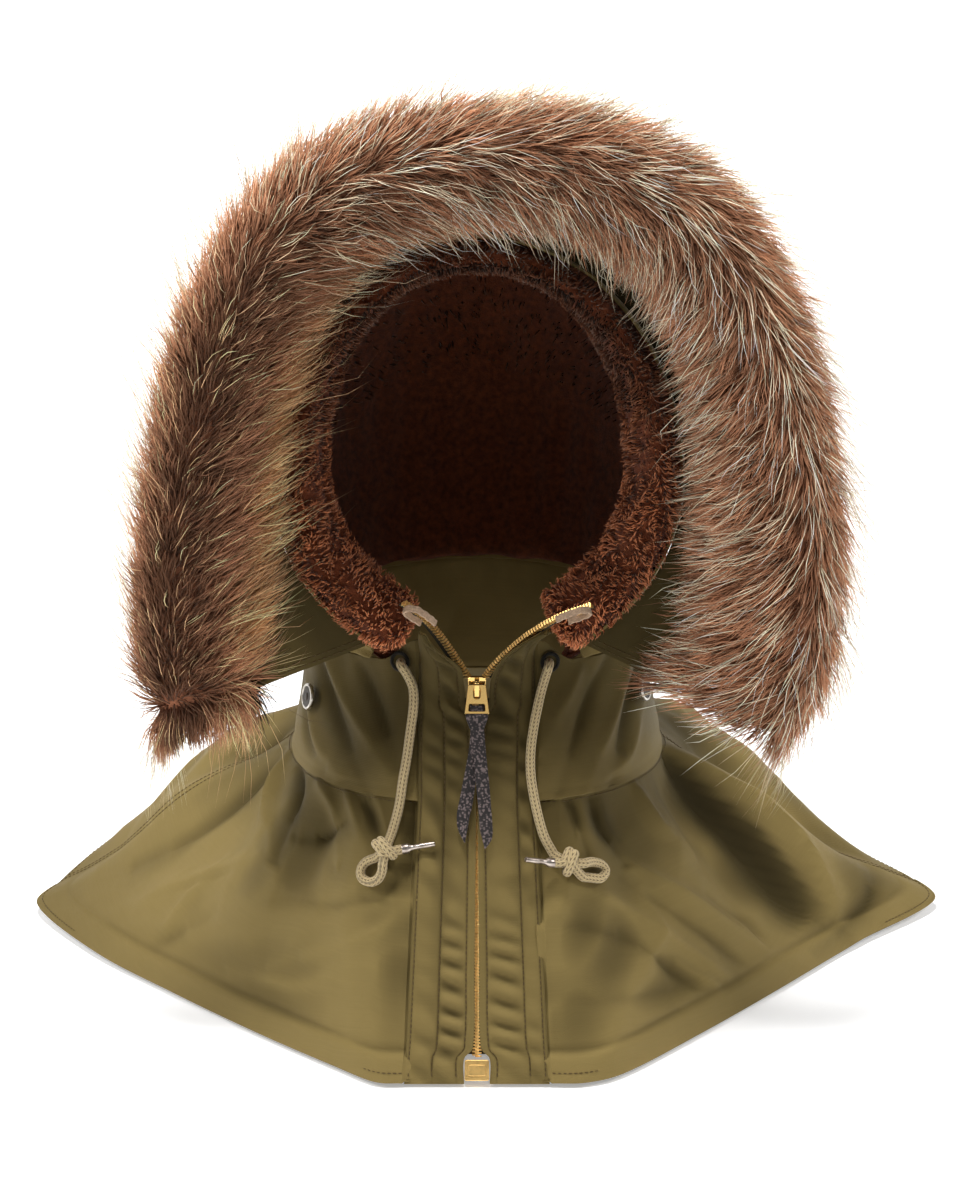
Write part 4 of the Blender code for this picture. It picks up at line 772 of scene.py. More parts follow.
def leather_finish(name, dark, light):
    """Pebbled leather: pebble tops painted pale and the creases between them dark, partly rubbed wear and partly
    painted highlight and shade.
    """
    made = Finish(name, 0.46, Specular_IOR_Level=0.45)
    pebble = made.add("ShaderNodeTexVoronoi", {"Vector": made.place, "Scale": 760.0, "Randomness": 1.0},
                      feature="SMOOTH_F1")
    cell = pebble.outputs["Distance"]
    rubbed = made.noise(420.0, 4.0, 0.7)
    made.colour(made.ramp(made.math("MULTIPLY_ADD", rubbed, 0.6, made.math("MULTIPLY_ADD", cell, -1.0, 0.5)),
                          (0.28, dark), (0.40, tuple(part * 1.6 for part in dark)), (0.56, light)))
    made.roughness(made.spread(rubbed, 0.36, 0.66))
    made.relief(made.math("MULTIPLY", cell, -1.0), 0.00035, 0.9)
    return made.material


# ---------------------------------------------------------------- sizes and colours to change

def colour_setting(label, text, red, green, blue):
    """A colour that a user may change."""
    return FloatVectorProperty(name=label, description=text, default=linear(red, green, blue), min=0.0,
                               max=1.0, subtype="COLOR")


def length_setting(label, text, value, low, high):
    """A length that a user may change."""
    return FloatProperty(name=label, description=text, default=value, min=low, max=high, precision=5,
                         unit="LENGTH")


class HOOD_PG_cloth(bpy.types.PropertyGroup):
    """Sizes and colours of the outer cloth and its sewing."""
    tone: colour_setting("Cloth", "Colour of the cotton sateen", 126, 109, 66)
    thread: colour_setting("Thread", "Colour of the seams' thread", 80, 63, 34)
    weave_pitch: length_setting("Weave pitch", "Distance between the weave's ribs", 0.00075, 0.0002, 0.003)
    stitch_pitch: length_setting("Stitch pitch", "Distance from one stitch to the next", 0.0029, 0.001, 0.01)
    stitch_length: length_setting("Stitch length", "Length of one stitch", 0.0023, 0.0005, 0.008)
    stitch_width: length_setting("Stitch width", "Thickness of the thread", 0.00075, 0.0001, 0.003)


class HOOD_PG_fur(bpy.types.PropertyGroup):
    """Sizes, counts and colours of the ruff."""
    under_count: IntProperty(name="Underfur hairs", description="Soft hairs on each half of the ruff",
                             default=14500, min=100, max=19900)
    guard_count: IntProperty(name="Guard hairs", description="Long pale hairs on the ruff",
                             default=8800, min=100, max=12400)
    under_length: length_setting("Underfur length", "Length of the soft hairs", 0.022, 0.005, 0.06)
    guard_length: length_setting("Guard length", "Length of the long hairs", 0.033, 0.005, 0.08)
    dark: colour_setting("Root", "Colour at the roots", 112, 72, 52)
    middle: colour_setting("Middle", "Colour along the soft hairs", 216, 156, 118)
    pale: colour_setting("Tip", "Colour of the guard hairs' tips", 255, 236, 204)
    golden: colour_setting("Golden", "Colour of the band beside the face on the viewer's left", 240, 180, 122)
    seed: IntProperty(name="Seed", description="Fixes where each hair stands", default=11, min=0, max=9999)


class HOOD_PG_pile(bpy.types.PropertyGroup):
    """Sizes and colours of the pile lining."""
    curl_count: IntProperty(name="Curls", description="Short curls on the lining", default=14500, min=100,
                            max=19900)
    curl_length: length_setting("Curl length", "Length of one curl", 0.0052, 0.001, 0.02)
    dark: colour_setting("Deep pile", "Colour between the curls", 104, 52, 27)
    light: colour_setting("Curl tips", "Colour at the curls' ends", 190, 118, 78)
    seed: IntProperty(name="Seed", description="Fixes where each curl stands", default=23, min=0, max=9999)


class HOOD_PG_trim(bpy.types.PropertyGroup):
    """Sizes and colours of the cords, the zip, its pull and its suede strips."""
    cord_diameter: length_setting("Cord", "Diameter of the drawcords", 0.0053, 0.002, 0.01)
    # The two cord colours are painted light on the raised threads and painted shade between them.
    cord_light: colour_setting("Cord light", "Colour of the braid's raised threads", 204, 182, 138)
    cord_dark: colour_setting("Cord dark", "Colour between the braid's threads", 74, 60, 36)
    tooth_pitch: length_setting("Tooth pitch", "Distance between the zip's teeth", 0.00175, 0.001, 0.005)
    brass: colour_setting("Brass", "Colour of the zip's metal", 250, 206, 128)
    leather: colour_setting("Leather", "Colour of the pull", 48, 41, 40)
    suede: colour_setting("Suede", "Colour of the strips at the zip's ends", 184, 156, 130)


class HOOD_PG_stage(bpy.types.PropertyGroup):
    """The floor and the studio light."""
    floor: colour_setting("Floor", "Colour of the floor", 240, 240, 240)
    key_power: FloatProperty(name="Key", description="Power of the light from the front left", default=30.0,
                             min=0.0, unit="POWER")
    top_power: FloatProperty(name="Top", description="Power of the light from above", default=62.0, min=0.0,
                             unit="POWER")
    fill_power: FloatProperty(name="Fill", description="Power of the light from the right", default=20.0,
                              min=0.0, unit="POWER")
    front_power: FloatProperty(name="Front", description="Power of the wide light above the camera", default=4.0,
                               min=0.0, unit="POWER")
    back_power: FloatProperty(name="Back", description="Power of each light on the floor behind", default=64.0,
                              min=0.0, unit="POWER")
    sky: FloatProperty(name="Surround", description="Brightness of the pale surround", default=0.04, min=0.0)


class HoodStep:
    """What every step of the build shares."""
    bl_options = {"REGISTER", "UNDO"}

    def execute(self, context):
        """Build this step's pieces from the scene's settings."""
        self.build(context.scene)
        return {"FINISHED"}


# ---------------------------------------------------------------- stage and camera

CAMERA_AIM = Vector((0.0017, 0.0, -0.238))
CAMERA_DISTANCE = 2.2
CAMERA_ELEVATION = 20.0
CAMERA_LENS = 144.75


def aim(thing, target):
    """Point a lamp or camera at a place."""
    thing.rotation_euler = (Vector(target) - thing.location).to_track_quat("-Z", "Y").to_euler()


class HOOD_OT_stage(HoodStep, bpy.types.Operator):
    """Make the camera, the pale floor and the soft studio light"""
    bl_idname = "hood.stage"
    bl_label = "Stage"

    def build(self, scene):
        stage = scene.hood_stage
        lens = bpy.data.cameras.new("hood_camera")
        lens.sensor_fit = "HORIZONTAL"
        lens.sensor_width = 36.0
        lens.lens = CAMERA_LENS
        lens.clip_start = 0.05
        camera = bpy.data.objects.new("hood_camera", lens)
        lean = radians(CAMERA_ELEVATION)
        camera.location = CAMERA_AIM + CAMERA_DISTANCE * Vector((0.0, -cos(lean), sin(lean)))
        aim(camera, CAMERA_AIM)
        scene.collection.objects.link(camera)
        scene.camera = camera
        self.build_floor(stage)
        self.build_light(scene, stage)

    def build_floor(self, stage):
        """A wide pale floor that curves up far behind the hood."""
        ahead = np.concatenate([np.linspace(-36.0, 7.0, 12), 7.0 + 2.0 * np.sin(np.linspace(0.1, pi / 2, 9)),
                                [9.0, 9.0]])
        rise = np.concatenate([np.zeros(12), 2.0 - 2.0 * np.cos(np.linspace(0.1, pi / 2, 9)), [3.5, 6.0]])
        across = np.linspace(-36.0, 36.0, 25)
        top = np.stack([np.broadcast_to(across, (len(ahead), 25)), np.broadcast_to(ahead[:, None], (len(ahead), 25)),
                        np.broadcast_to(rise[:, None], (len(ahead), 25))], -1)
        # The floor glows a little by itself: painted light that keeps it evenly pale and lifts the shadows on it.
        made = Finish("floor_finish", 0.85, Specular_IOR_Level=0.1, Emission_Strength=0.34)
        made.shader.inputs["Emission Color"].default_value = (1.0, 1.0, 1.0, 1.0)
        tone = tuple(stage.floor)
        cloud = made.noise(1.5, 2.0)
        made.colour(made.blend(made.spread(cloud, 0.0, 0.5), tone, tuple(part * 0.985 for part in tone)))
        floor = wall_piece("studio_floor", top, top - np.array([0.0, 0.0, 0.01]), made.material)

    def build_light(self, scene, stage):
        """Soft lamps on the hood and on the floor behind it, and a pale surround."""
        front = (0.0, -0.05, -0.22)
        lamps = (("key_lamp", stage.key_power, 1.0, (-1.75, -0.45, 1.15), front),
                 ("top_lamp", stage.top_power, 0.5, (-0.15, -0.18, 2.20), front),
                 ("fill_lamp", stage.fill_power, 0.6, (1.75, -0.45, 1.15), front),
                 ("front_lamp", stage.front_power, 1.4, (0.0, -1.9, 1.08), front),
                 ("back_lamp_left", stage.back_power, 1.2, (-0.9, 2.3, 1.5), (-0.9, 4.0, -0.45)),
                 ("back_lamp_right", stage.back_power, 1.2, (0.9, 2.3, 1.5), (0.9, 4.0, -0.45)))
        for name, power, size, place, target in lamps:
            lamp = bpy.data.lights.new(name, "AREA")
            lamp.energy = power
            lamp.size = size
            thing = bpy.data.objects.new(name, lamp)
            thing.location = place
            aim(thing, target)
            scene.collection.objects.link(thing)
        world = bpy.data.worlds.new("pale_surround")
        world.use_nodes = True
        background = world.node_tree.nodes["Background"]
        background.inputs["Color"].default_value = (1.0, 1.0, 1.0, 1.0)
        background.inputs["Strength"].default_value = stage.sky
        scene.world = world
        scene.view_settings.view_transform = "Standard"


# ---------------------------------------------------------------- drawcords

CLOTH_OUT = np.array([0.0, -0.90, 0.43])
KNOT_LIFT = 0.0018


def cord_path(route, diameter):
    """The whole line of one cord: down the run, through the knot, round the loop, and out at the tail."""
    run, loop, tail = (np.array(route[part]) for part in ("run", "loop", "tail"))
    out = unit(CLOTH_OUT)
    centre = np.array(route["knot"]) + out * KNOT_LIFT
    lean = radians(route["turn"])
    axis = unit(np.array([sin(lean), -0.25, cos(lean)]))
    side = unit(np.cross(axis, out))
    if np.dot(side, tail[1] - tail[0]) < 0:
        side = -side
    wrap = []
    for step in range(15):
        angle = pi - step * (2.55 * pi / 14)
        wrap.append(centre + side * cos(angle) * diameter * 1.06 + out * sin(angle) * diameter * 0.80
                    + axis * (0.0022 - 0.0044 * step / 14))
    entry = centre - out * diameter * 0.10
    points = list(run) + [entry] + list(loop) + [centre + out * diameter * 0.12 + axis * 0.0012] + wrap[1:]
    points += [tail[0] + (tail[1] - tail[0]) * 0.14, tail[0] + (tail[1] - tail[0]) * 0.32]
    return even_path(points, 0.0011)


class HOOD_OT_drawcords(HoodStep, bpy.types.Operator):
    """Make both braided drawcords with their tied loops and metal tags"""
    bl_idname = "hood.drawcords"
    bl_label = "Drawcords"

    def build(self, scene):
        trim = scene.hood_trim
        braid = cord_finish("khaki_braid", tuple(trim.cord_dark), tuple(trim.cord_light))
        steel = metal_finish("tag_steel", linear(120, 108, 100), linear(206, 194, 184), 0.30)
        for side, route in CORD_ROUTES.items():
            path = cord_path(route, trim.cord_diameter)
            radii = np.full(len(path), trim.cord_diameter / 2)
            radii[-4:] *= np.array([0.97, 0.93, 0.88, 0.84])
            cord = loft_piece("drawcord_braid_" + side, tube_rings(path, radii, 16), braid, sharp=60)
            tail = np.array(route["tail"])
            way = unit(tail[1] - tail[0])
            start = tail[0] + way * 0.0030
            profile = [(0.0, 0.0), (0.0027, 0.0), (0.0028, 0.0004), (0.0027, 0.0030), (0.0022, 0.0042),
                       (0.0016, 0.0052), (0.0014, 0.0062), (0.0014, 0.0095), (0.00155, 0.0098),
                       (0.00155, 0.0106), (0.0014, 0.0109), (0.0014, 0.0180), (0.0012, 0.0184), (0.0, 0.0185)]
            tag = turned_piece("aglet_tag_" + side, profile[1:-1], start, way, steel, 24)
            settle(cord, "hood", "drawcord_" + side, "cord_knot_" + side, "cord_loop_" + side)
            settle(tag, "hood", "aglet_" + side)


# ---------------------------------------------------------------- hood, neck, cape and brim

HOOD_INSIDE = (0.0, 0.005, 0.310)
HOOD_SEAM_TURNS = (146.0, 214.0)


def seam_band(distance, half, height):
    """A flat felled seam: a low raised band with a sunk line along each edge."""
    band = height * (1 - ease(np.abs(distance), half * 0.82, half))
    return band - height * 0.7 * np.exp(-((np.abs(distance) - half * 0.62) / (half * 0.12)) ** 2)


class HOOD_OT_hood_cloth(HoodStep, bpy.types.Operator):
    """Make the cloth hood behind the brim and the cloth round the neck"""
    bl_idname = "hood.hood_cloth"
    bl_label = "Hood and neck cloth"

    def build(self, scene):
        finish = outer_cloth(scene)
        tilt, turn = np.meshgrid(np.linspace(BRIM_TILT, 0.0, 76), TURN_FIRST + TURN_SPAN * np.linspace(0, 1, 140),
                                 indexing="ij")
        points = hood_surface(tilt, turn)
        normals = grid_normals(points, HOOD_INSIDE)
        lift = 0.0013 * soft_noise(tilt * 0.06, turn * 0.045, 5, 1.6) * ease(BRIM_TILT - tilt, 2.0, 16.0)
        lift += 0.0007 * soft_noise(tilt * 0.20, turn * 0.10, 8, 1.5) * ease(BRIM_TILT - tilt, 2.0, 12.0)
        for seam in HOOD_SEAM_TURNS:
            distance = (turn - seam) * 0.0017 * np.sin(np.radians(np.clip(tilt, 12, 90)))
            lift += seam_band(distance, 0.0055, 0.0008)
        gather = np.exp(-((tilt - 3.0) / 7.0) ** 2) * np.sin(turn * 0.83 + 1.2 * np.sin(turn * 0.11))
        lift += 0.0006 * gather
        # The hollows of its folds and seams get painted shade, the ridges a little painted light.
        piece = cloth_piece("hood_cloth", points + normals * lift[..., None], HOOD_INSIDE, finish,
                            shade=fold_shade(lift, 0.004))
        settle(piece, "hood", "hood_shell")
        self.build_neck(finish)

    def build_neck(self, finish):
        """The neck cloth, gathered a little where the drawcord runs in it."""
        share, place = np.meshgrid(np.linspace(0, 1, 40), np.linspace(0, 1, 216), indexing="ij")
        rough_turn = 24.0 + 312.0 * place
        low = read_table(YOKE_SEAM, rough_turn)[0] - 0.0005
        top = read_table(NECK_TOP, rough_turn)[0]
        height = low + (top - low) * share
        edge = front_turn(height)
        turn = edge + (360 - 2 * edge) * place
        points = neck_surface(turn, height)
        normals = grid_normals(points, (0.0, 0.0, 0.150))
        high = ease(height, 0.180, 0.203)
        lift = 0.0012 * high * np.sin(turn * 0.62 + 2.0 * np.sin(turn * 0.07)) * (0.6 + 0.4 * np.sin(turn * 0.19))
        body = np.sin(pi * np.clip((height - 0.139) / 0.066, 0, 1))
        lift += 0.0012 * body * soft_noise(turn * 0.055, height * 22, 14, 1.4)
        lift += crease_height(points, normals, neck_surface, NECK_CREASES)
        lip = np.exp(-((height - low) / 0.0022) ** 2)
        lift += 0.0009 * lip - 0.0004 * np.exp(-((height - low - 0.0030) / 0.0008) ** 2)
        # Painted shade: darker in the folds' hollows and darker all over towards the top, under the hood and the
        # ruff.
        shade = fold_shade(lift, 0.0045) * (0.41 + 0.41 * (1 - ease(height, 0.125, 0.175)))
        points = points + normals * lift[..., None]
        under = (ease(turn[-1], 37, 43) * (1 - ease(turn[-1], 317, 323)))[:, None]
        up = np.array([0.0, 0.0, 1.0])
        step = points[-1] + up * 0.0002 + under * (up * 0.0004 - normals[-1] * 0.0017)
        slip = step + up * 0.0002 + under * up * 0.0035
        points = np.concatenate([points, step[None], slip[None]])
        points = tuck_ends(points, np.concatenate([normals, normals[-1:], normals[-1:]]))
        shade = np.pad(shade, ((0, 2), (2, 2)), "edge")
        piece = cloth_piece("neck_cloth", points, (0.0, 0.0, 0.150), finish, shade=shade)
        settle(piece, "hood", "neck_band")


def outer_cloth(scene):
    """The one cloth that the hood, neck, cape, brim and placket share."""
    found = bpy.data.materials.get("olive_sateen")
    if found is None:
        cloth = scene.hood_cloth
        found = cloth_finish("olive_sateen", tuple(cloth.tone), cloth.weave_pitch)
    return found


# Folds of the neck cloth: rise, spread on either side, and a line of turns and heights
NECK_CREASES = [
    (-0.0046, 0.007, 0.008, [(291, 0.200), (302, 0.176), (317, 0.152)]),
    (0.0035, 0.006, 0.006, [(300, 0.201), (312, 0.178), (326, 0.158)]),
    (-0.0035, 0.005, 0.006, [(318, 0.201), (326, 0.180), (331, 0.165)]),
    (0.0030, 0.006, 0.006, [(286, 0.168), (298, 0.150), (306, 0.144)]),
    (-0.0030, 0.005, 0.005, [(280, 0.160), (290, 0.146), (300, 0.141)]),
    (0.0041, 0.006, 0.006, [(60, 0.198), (50, 0.172), (41, 0.152)]),
    (-0.0051, 0.008, 0.008, [(71, 0.192), (58, 0.166), (50, 0.147)]),
    (-0.0043, 0.006, 0.006, [(47, 0.201), (37, 0.178), (30, 0.155)]),
    (0.0030, 0.005, 0.005, [(36, 0.201), (29, 0.184), (24, 0.172)]),
    (0.0027, 0.005, 0.005, [(66, 0.160), (56, 0.146), (46, 0.141)]),
    (-0.0041, 0.014, 0.014, [(150, 0.200), (155, 0.175), (152, 0.145)]),
    (0.0041, 0.014, 0.014, [(190, 0.200), (186, 0.175), (192, 0.145)]),
    (-0.0041, 0.014, 0.014, [(222, 0.200), (226, 0.172), (221, 0.145)]),
]
# Creases that the cape keeps from folding: rise, spread on either side, and a line of turns and falls
CAPE_CREASES = [
    (0.0100, 0.016, 0.004, [(86.5, 0.02), (85.4, 0.11), (84.4, 0.4), (83.7, 0.58), (81.6, 0.76), (80.2, 0.86)]),
    (-0.0150, 0.006, 0.026, [(84.4, 0.02), (82.3, 0.2), (80.8, 0.45), (79.0, 0.68), (78.0, 0.82)]),
    (-0.0067, 0.007, 0.007, [(77.1, 0.95), (81.6, 0.9), (85.4, 0.86), (88.2, 0.82)]),
    (0.0057, 0.007, 0.007, [(55.5, 0.03), (57.5, 0.19), (60.7, 0.27)]),
    (-0.0060, 0.006, 0.006, [(36.3, 0.02), (38.4, 0.12), (42.2, 0.2)]),
    (-0.0045, 0.005, 0.005, [(27.9, 0.0), (30.4, 0.07), (32.5, 0.15)]),
    (0.0044, 0.005, 0.008, [(42.6, 0.23), (53.0, 0.4), (62.4, 0.65), (69.0, 0.91)]),
    (-0.0032, 0.005, 0.005, [(47.8, 0.41), (57.5, 0.64), (63.1, 0.85)]),
    (0.0036, 0.005, 0.008, [(25.5, 0.29), (41.9, 0.42), (54.4, 0.69), (60.7, 0.91)]),
    (-0.0036, 0.005, 0.005, [(45.0, 0.59), (51.3, 0.76), (54.8, 0.86)]),
    (0.0036, 0.003, 0.005, [(54.8, 0.8), (57.5, 0.89), (53.7, 0.89)]),
    (-0.0030, 0.005, 0.005, [(61.0, 0.51), (67.6, 0.7), (68.3, 0.85)]),
    (0.0022, 0.004, 0.004, [(49.2, 0.47), (49.9, 0.58), (47.4, 0.65)]),
    (-0.0020, 0.005, 0.005, [(25.5, 0.45), (35.9, 0.49), (45.0, 0.59)]),
    (-0.0024, 0.007, 0.007, [(25.1, 0.71), (39.4, 0.75), (52.7, 0.82)]),
    (0.0067, 0.005, 0.012, [(275.6, 0.02), (281.9, 0.16), (292.0, 0.27)]),
    (-0.0060, 0.007, 0.008, [(285.0, 0.01), (295.5, 0.09), (297.6, 0.22)]),
    (0.0051, 0.006, 0.006, [(302.1, 0.0), (311.5, 0.08), (315.0, 0.17)]),
    (-0.0045, 0.005, 0.005, [(307.0, 0.23), (310.8, 0.21), (316.0, 0.15)]),
    (0.0039, 0.006, 0.004, [(315.7, 0.0), (318.8, 0.06), (322.0, 0.13)]),
    (-0.0048, 0.006, 0.005, [(323.0, 0.03), (326.8, 0.08), (328.9, 0.14)]),
    (0.0039, 0.005, 0.005, [(326.8, 0.0), (329.3, 0.05), (332.1, 0.12)]),
    (-0.0040, 0.005, 0.005, [(335.2, 0.06), (335.2, 0.19), (334.9, 0.29)]),
    (-0.0054, 0.009, 0.008, [(276.3, 0.03), (273.9, 0.14), (273.2, 0.37), (272.1, 0.53)]),
    (-0.0044, 0.006, 0.006, [(253.7, 0.08), (258.6, 0.16), (252.3, 0.3)]),
    (0.0036, 0.008, 0.008, [(295.5, 0.36), (284.0, 0.54), (278.8, 0.8)]),
    (-0.0028, 0.004, 0.004, [(289.9, 0.47), (282.9, 0.61), (279.8, 0.74)]),
    (0.0026, 0.005, 0.005, [(285.0, 0.53), (285.4, 0.68), (286.8, 0.83)]),
    (0.0028, 0.005, 0.007, [(311.5, 0.67), (326.8, 0.51), (335.2, 0.38)]),
    (-0.0026, 0.006, 0.006, [(309.1, 0.47), (319.5, 0.43), (333.1, 0.33)]),
    (-0.0026, 0.007, 0.007, [(287.8, 0.93), (287.1, 0.85), (289.6, 0.75)]),
    (0.0024, 0.006, 0.006, [(303.9, 0.81), (312.9, 0.77), (323.0, 0.66)]),
    (0.0048, 0.010, 0.010, [(130, 0.1), (133, 0.4), (134, 0.85)]),
    (-0.0044, 0.010, 0.010, [(165, 0.1), (162, 0.5), (163, 0.85)]),
    (0.0048, 0.010, 0.010, [(196, 0.1), (200, 0.5), (199, 0.9)]),
    (-0.0044, 0.010, 0.010, [(232, 0.1), (227, 0.5), (226, 0.85)]),
]

# Painted shade in the deep hollows between the cape's folds: how dark, spread on either side, and turns and falls
CAPE_HOLLOW_SHADE = [
    (0.66, 0.003, 0.022, [(85.4, 0.02), (83.6, 0.2), (82.3, 0.45), (80.6, 0.68), (79.4, 0.84)]),
    (0.45, 0.006, 0.008, [(77.1, 0.93), (81.6, 0.9), (85.4, 0.86), (88.2, 0.80)]),
    (0.40, 0.010, 0.012, [(66.0, 0.02), (64.0, 0.14), (68.0, 0.30)]),
    (0.42, 0.008, 0.010, [(40.0, 0.02), (42.0, 0.12), (46.0, 0.22)]),
    (0.40, 0.008, 0.010, [(288.0, 0.02), (297.0, 0.10), (301.0, 0.24)]),
    (0.36, 0.007, 0.009, [(323.0, 0.03), (326.8, 0.09), (329.5, 0.18)]),
]


def crease_height(points, lift, surface, creases):
    """How far creases raise each point; each runs along a line of places on the surface."""
    total = np.zeros(points.shape[:-1])
    for rise, left, right, places in creases:
        line = even_path(surface(*np.array(places, float).T), 0.003)
        reach = 2.6 * max(left, right)
        near = np.all((points > line.min(0) - reach) & (points < line.max(0) + reach), axis=-1)
        gap = points[near][:, None] - line[None]
        which = np.argmin(np.sum(gap ** 2, -1), axis=1)
        way = unit(np.gradient(line, axis=0))[which]
        gap = gap[np.arange(len(gap)), which]
        gap = gap - way * np.sum(gap * way, -1, keepdims=True)
        on_left = np.sum(np.cross(lift[near], way) * gap, -1) > 0
        width = np.where(on_left, left, right)
        taper = np.sqrt(np.sin(pi * (which + 0.5) / len(line)))
        total[near] += rise * taper * np.exp(-1.5 * (np.linalg.norm(gap, axis=-1) / width) ** 1.4)
    return total


def tuck_ends(points, normals):
    """Columns added past both ends, so that the cloth runs in under the placket."""
    columns = [points]
    for end in (0, -1):
        out = normals[:, end]
        way = np.stack([-np.sign(points[:, end, 0]), np.zeros(len(out)), np.zeros(len(out))], -1)
        way = unit(way - out * np.sum(way * out, -1, keepdims=True))
        near = points[:, end] + way * 0.0008 - out * 0.0010
        far = points[:, end] + way * 0.0045 - out * 0.0014
        if end:
            columns += [near[:, None], far[:, None]]
        else:
            columns = [far[:, None], near[:, None]] + columns
    return np.concatenate(columns, 1)


def cape_surface(turn, fall):
    """Points of the cape from the yoke seam (fall 0) to the hem (fall 1), before its fine creases."""
    x, y, z, belly, _roll = read_table(CAPE_HEM, turn)
    top = neck_surface(turn, read_table(YOKE_SEAM, turn)[0] - 0.0006)
    narrow = (np.abs(top[..., 0]) < FRONT_EDGE) | (turn < 25) | (turn > 335)
    top[..., 0] = np.where(narrow, np.where(turn < 180, FRONT_EDGE, -FRONT_EDGE), top[..., 0])
    hem = np.stack([x, y, z], -1)
    down = unit(hem - top)
    lift = unit(np.array([0.0, 0.0, 1.0]) - down * down[..., 2:3])
    height = belly * np.sin(pi * np.clip(fall, 0, 1))
    for turn_top, turn_end, spread, rise, start, stop in CAPE_FOLDS:
        across = (turn - (turn_top + (turn_end - turn_top) * fall)) / spread
        along = np.clip((fall - start) / (stop - start), 0, 1)
        height = height + rise * np.sin(pi * along) * np.exp(-across ** 2)
    return top + (hem - top) * fall[..., None] + lift * height[..., None], down, lift


class HOOD_OT_cape(HoodStep, bpy.types.Operator):
    """Make the shoulder cape with its folds, creases and rolled hem"""
    bl_idname = "hood.cape"
    bl_label = "Cape"

    def build(self, scene):
        fall, turn = np.meshgrid(CAPE_FALLS, CAPE_TURNS, indexing="ij")
        points, _down, lift = cape_surface(turn, fall)
        height = crease_height(points, lift, lambda *places: cape_surface(*places)[0], CAPE_CREASES)
        height *= 1 - 0.75 * ease(fall, 0.80, 0.92)
        x, y, z, _belly, roll = read_table(CAPE_HEM, turn[0])
        roll = np.clip(roll, 0, 1)
        height += roll * (0.0018 * ease(fall, 0.885, 0.925) - 0.0012 * np.exp(-((fall - 0.885) / 0.012) ** 2))
        height *= ease(fall, 0.0, 0.02)
        middle = np.sin(pi * np.clip(fall, 0, 1)) ** 0.6
        crumple = (0.5 - np.abs(soft_noise(turn * 0.07 + fall * 3.0, fall * 5.0, 43, 1.5))) * 0.0024
        crumple += (0.4 - np.abs(soft_noise(turn * 0.16 - fall * 4.0, fall * 9.0, 47, 1.5))) * 0.0013
        # Painted shade: darker in the hollows of the folds and crumples and near the neck under the hood, with a
        # little painted light on the ridges and more painted shade in the deepest hollows.
        shade = fold_shade(height + 1.3 * crumple * middle, 0.0046) * (1 - 0.40 * (1 - ease(fall, 0.0, 0.42)))
        shade *= 1 - np.clip(crease_height(points, lift, lambda *places: cape_surface(*places)[0], CAPE_HOLLOW_SHADE),
                             0, 0.85)
        height += middle * (crumple + 0.0012 * soft_noise(turn * 0.055, fall * 4.2, 31, 1.5))
        points = points + lift * height[..., None]
        edge, inward = points[-1], points[-1] - points[-8]
        level = unit(np.stack([-inward[:, 0], -inward[:, 1], np.zeros(len(x))], -1))
        rows = [points]
        floor = np.stack([x, y, np.maximum(z - 0.0016, 0.0004)], -1)
        for under, drop in ((0.0022, 0.35), (0.0046, 0.8), (0.0080, 1.0), (0.0125, 0.96), (0.0180, 0.9)):
            rolled = edge + level * under
            rolled[:, 2] = edge[:, 2] + (floor[:, 2] - edge[:, 2]) * drop
            flat = edge + unit(inward) * 0.00035 * (1 + under * 60)
            rows.append((flat + (rolled - flat) * roll[:, None])[None])
        outer = np.concatenate(rows)
        normals = grid_normals(outer, (0.0, 0.0, 0.030))
        CLOTH_FACES["cape_cloth"] = (outer[:len(fall)], normals[:len(fall)])
        roll = np.pad(roll, 2, "edge")
        outer = tuck_ends(outer, normals)
        # Painted shade: the tip on the viewer's left is darker.
        shade *= 1 - 0.26 * ease(-points[..., 0], 0.17, 0.25)
        shade = np.pad(shade, ((0, len(outer) - len(fall)), (2, 2)), "edge")
        # Painted shade: the rolled-under rows of the hem are much darker.
        shade[len(fall):] *= 0.30
        inner = outer - grid_normals(outer, (0.0, 0.0, 0.030)) * CLOTH
        for row in range(len(fall), len(outer)):
            raised = outer[row] + np.array([0.0, 0.0, CLOTH])
            inner[row] = inner[row] + (raised - inner[row]) * roll[:, None]
        piece = wall_piece("cape_cloth", outer, inner, outer_cloth(scene), shade)
        settle(piece, "hood", "cape")


